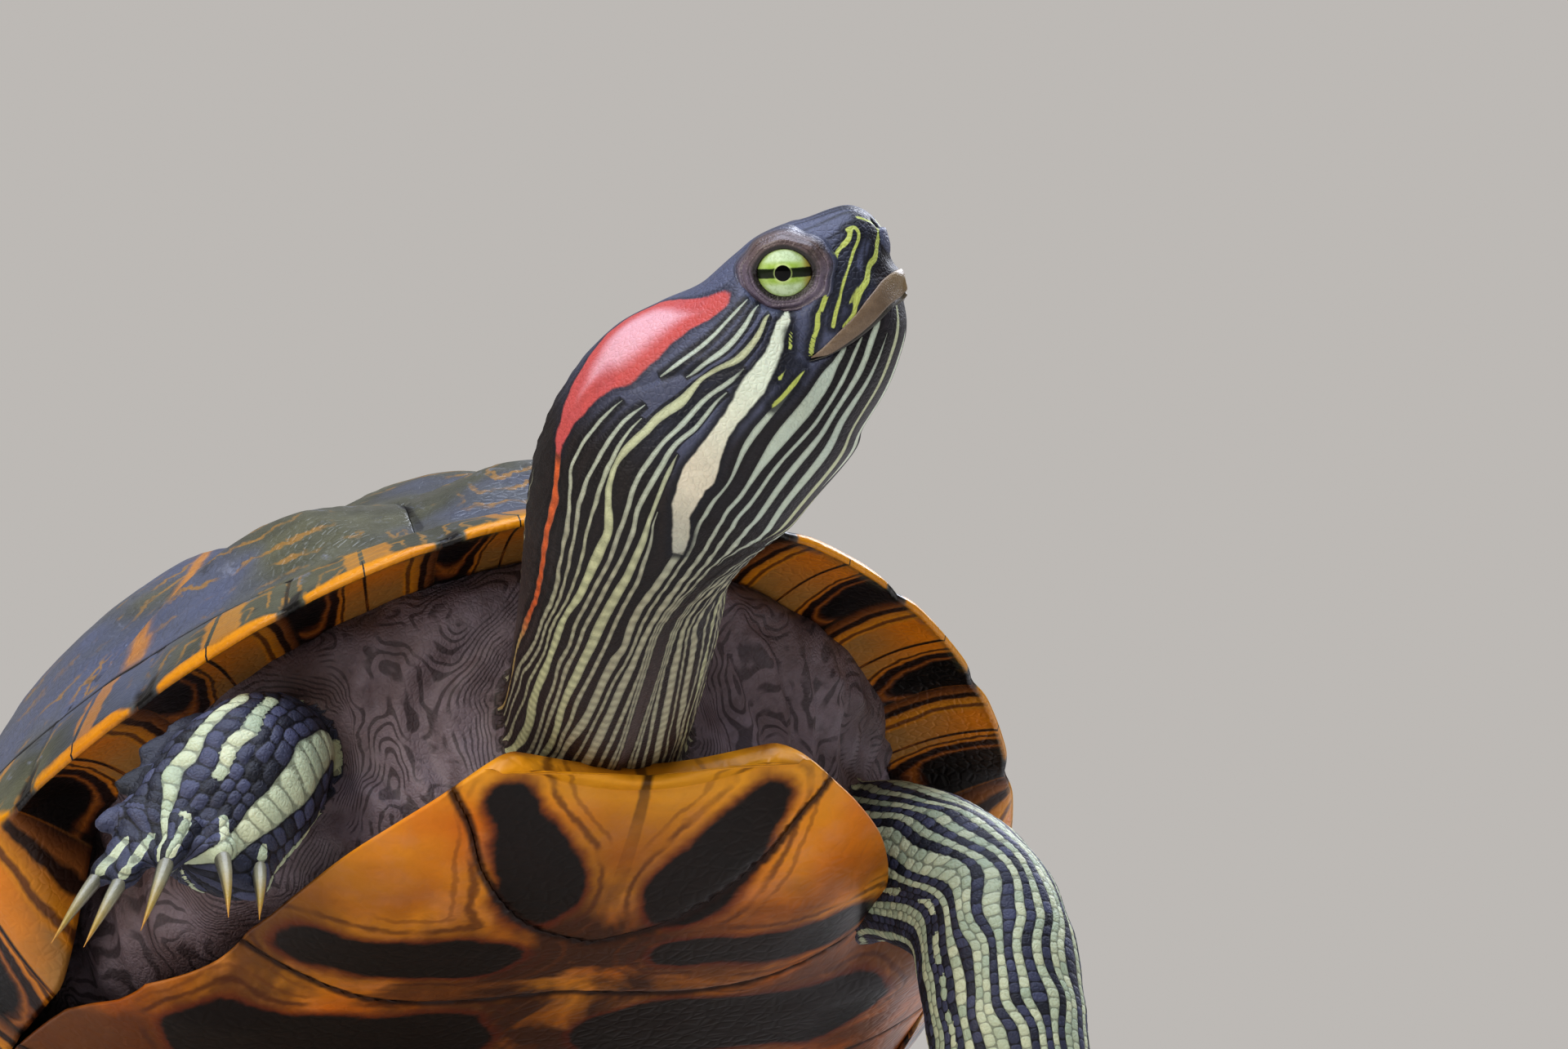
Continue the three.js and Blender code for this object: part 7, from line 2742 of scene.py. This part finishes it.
@dataclass(frozen=True)
class PlastronFinish(Finish):
    """The plastron: worn orange and yellow with a near-black blotch on each scute, ringed by brown."""

    def build(self) -> Material:
        """Makes the material."""
        made, t, shader = self.start()
        place = t.object_place()
        seam = t.attribute("seam", "Fac")
        blotch = t.attribute("blotch", "Fac")
        side, along, _ = t.parts("rim_place")
        cloud = t.noise(place, 30.0, 3.0, 0.6)
        fine = t.noise(place, 160.0, 4.0, 0.6)
        base = t.blend(t.step(cloud, 0.3, 0.7), 0xD06C0A, 0xE69E2A)
        base = t.blend(t.step(fine, 0.42, 0.72) * 0.5, base, 0xDA9360)
        # painted shade: brown darkening towards the middle line and towards the rear, away from the lit front edge
        painted_shade = t.step(along, -88.0, -58.0, 0.0, 0.85) + t.step(abs(side), 17.0, 2.0, 0.0, 0.35)
        painted_shade = painted_shade * t.step(t.noise(place, 55.0, 4.0, 0.6, 0.5), 0.25, 0.58)
        base = t.blend(painted_shade, base, 0x44240F)
        base = t.blend(t.step(along, -84.0, -91.5) * 0.75, base, 0xE0A01E)
        waver = t.noise(place, 90.0, 4.0, 0.65) - 0.5
        d = waver * 4.4 + blotch
        broken = t.step(t.noise(place, 120.0, 2.0), 0.36, 0.55)
        for at, wide, share, colour in ((2.6, 0.8, 0.7, 0x4E2410), (4.6, 0.55, 0.45, 0x6A3814)):
            ring = t.step(abs(d - at), wide, 0.1) * (broken * share)
            base = t.blend(ring, base, colour)
        base = t.blend(t.step(d, 1.9, 0.0) * 0.85, base, 0x5E210C)
        base = t.blend(t.step(d, 0.45, -0.5), base, t.blend(fine, 0x070504, 0x1A0D08))
        base = t.blend(t.step(waver * 0.5 + seam, 1.0, 0.3) * 0.88, base, 0x241008)
        self.grain(t, shader, base, 0.25, 300.0, 500.0, fine, 0.15, 0.0003)
        t.plug(fine * 0.25 + self.roughness, shader.inputs["Roughness"])
        return made


# ------------------------------------------------------------------ stage
@dataclass
class Studio:
    """A pale floor, soft light and the camera."""

    camera_place: tuple[float, float, float] = (-264.58, -1017.23, 26.24)
    camera_right: tuple[float, float, float] = (0.950, -0.312, 0.0)
    camera_forward: tuple[float, float, float] = (0.311, 0.946, 0.087)
    lens: float = 175.0

    def camera(self) -> None:
        """Sets the camera low in front of the animal's right."""
        data = bpy.data.cameras.new("camera")
        data.lens, data.sensor_width = self.lens, 36.0
        data.clip_start, data.clip_end = 0.05, 50.0
        obj = bpy.data.objects.new("camera", data)
        bpy.context.scene.collection.objects.link(obj)
        forward = unit(np.array(self.camera_forward))
        right = unit(np.array(self.camera_right) - forward * (np.array(self.camera_right) @ forward))
        up = np.cross(right, forward)
        rows = [[right[k], up[k], -forward[k], self.camera_place[k] * MM] for k in range(3)]
        turn = Matrix(rows + [[0, 0, 0, 1]])
        obj.matrix_world = turn
        bpy.context.scene.camera = obj

    def light(
        self, name: str, place: tuple[float, float, float], aim: tuple[float, float, float], size: float,
        watts: float, colour: int
    ) -> None:
        """A soft square lamp.

        Args:
            name: the lamp's name.
            place: where it stands, in metres.
            aim: the point it faces, in metres.
            size: its side in metres.
            watts: its power.
            colour: its light, written as 0xRRGGBB.
        """
        data = bpy.data.lights.new(name, "AREA")
        data.size, data.energy, data.color = size, watts, tint(colour)[:3]
        obj = bpy.data.objects.new(name, data)
        obj.location = place
        obj.rotation_euler = (Vector(aim) - Vector(place)).to_track_quat("-Z", "Y").to_euler()
        bpy.context.scene.collection.objects.link(obj)

    def build(self) -> None:
        """Makes floor, world, lamps and camera."""
        mesh = bpy.data.meshes.new("floor")
        r, n = 6.0, 64
        ring = [(r * math.cos(2 * math.pi * i / n), r * math.sin(2 * math.pi * i / n), 0.0) for i in range(n)]
        mesh.from_pydata(ring, [], [tuple(range(n))])
        floor = bpy.data.objects.new("floor", mesh)
        bpy.context.scene.collection.objects.link(floor)
        made = bpy.data.materials.new("floor_paint")
        made.use_nodes = True
        shader = made.node_tree.nodes["Principled BSDF"]
        shader.inputs["Base Color"].default_value = tint(0xD8D2CA)
        shader.inputs["Roughness"].default_value = 0.8
        mesh.materials.append(made)
        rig.stage(floor)
        world = bpy.data.worlds.new("studio")
        world.use_nodes = True
        back = world.node_tree.nodes["Background"]
        back.inputs["Color"].default_value = tint(0xDAD6D2)
        seen = Tree(world.node_tree)
        camera_ray = seen.node("ShaderNodeLightPath", "Is Camera Ray", {})
        seen.plug(camera_ray * 0.34 + 0.30, back.inputs["Strength"])
        bpy.context.scene.world = world
        self.light("sky_lamp", (-0.1, -0.25, 1.25), (0.0, -0.1, 0.08), 1.3, 19.0, 0xE2EAFF)
        self.light("side_lamp", (-1.0, -0.75, 0.75), (0.0, -0.13, 0.09), 0.8, 8.0, 0xFFF6EA)
        self.light("far_lamp", (0.9, 0.7, 0.9), (0.0, -0.05, 0.08), 0.8, 11.0, 0xEEF2FF)
        self.camera()
        bpy.context.scene.view_settings.view_transform = "Standard"
        bpy.context.scene.view_settings.look = "Medium High Contrast"


# ------------------------------------------------------------------ assembly
def main() -> None:
    """Builds the turtle piece by piece and reports each."""
    logging.basicConfig(level=logging.INFO, format="%(message)s")
    Studio().build()
    shell = ShellForm()
    head_form = HeadForm()
    plates = CarapaceFinish("carapace_gloss", 0.18, 0.35, 0.15).build()
    edge = MarginalFinish("marginal_gloss", 0.22, 0.15, 0.18, 0.3).build()
    belly = PlastronFinish("plastron_polish", 0.28, 0.10, 0.2, 0.25).build()
    for name, piece in Carapace(shell).build().items():
        on_rim = name.startswith("marginals")
        finished(piece, edge if on_rim else plates, "marginal" if on_rim else "carapace", [name])
        LOG.info("%s: %d faces", piece.name, len(piece.data.polygons))
    for name, piece in Plastron(shell).build().items():
        finished(piece, belly, "plastron", [name])
        LOG.info("%s: %d faces", piece.name, len(piece.data.polygons))
    plans = (FORE_RIGHT, FORE_LEFT, hind_plan("left", 1, 1), hind_plan("right", -1, -3))
    limbs = [Limb(plan) for plan in plans]
    skin = Skin(shell, HeadAndNeck(head_form, HeadMarkings(head_form)), limbs, Tail())
    hide = skin.build()
    striped = SkinFinish("striped_skin", 0.36, 0.10, 0.25, 0.32, soft=0.06).build()
    finished(hide, striped, "skin", skin.flesh_nodes())
    LOG.info("skin: %d faces", len(hide.data.polygons))
    lid_finish = LidFinish("lid_skin", 0.34, 0.25, 0.2).build()
    eye_finish = EyeFinish("eye_gloss", 0.05, 0.25, 0.02, 0.08).build()
    for sign in (1, -1):
        eye = Eye(head_form, sign)
        finished(eye.ball(), eye_finish, "eye", [f"eye_{eye.side}"])
        finished(eye.lids(), lid_finish, "skin")
        LOG.info("eye and lids: %s", eye.side)
    horn = BeakFinish("beak_horn", 0.38, 0.2, 0.2)
    for piece, lower in zip(Beak(head_form).build(), (False, True)):
        finished(piece, horn.build(lower), "claw")
        LOG.info("%s: %d faces", piece.name, len(piece.data.polygons))
    claw_finish = ClawFinish("claw_horn", 0.3, 0.3, 0.15).build()
    sweep = HornSweep(claw_finish)
    for limb in limbs:
        for name, piece in Claws(limb.plan, sweep).build().items():
            finished(piece, claw_finish, "claw", [name])
    LOG.info("claws done")
    with open(SIZE_FILE, "w") as out:
        json.dump({"solid": [list(c) for c in SOLID_BOX], "visual": [list(c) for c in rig.bounds()]}, out)


if __name__ == "__main__":
    main()
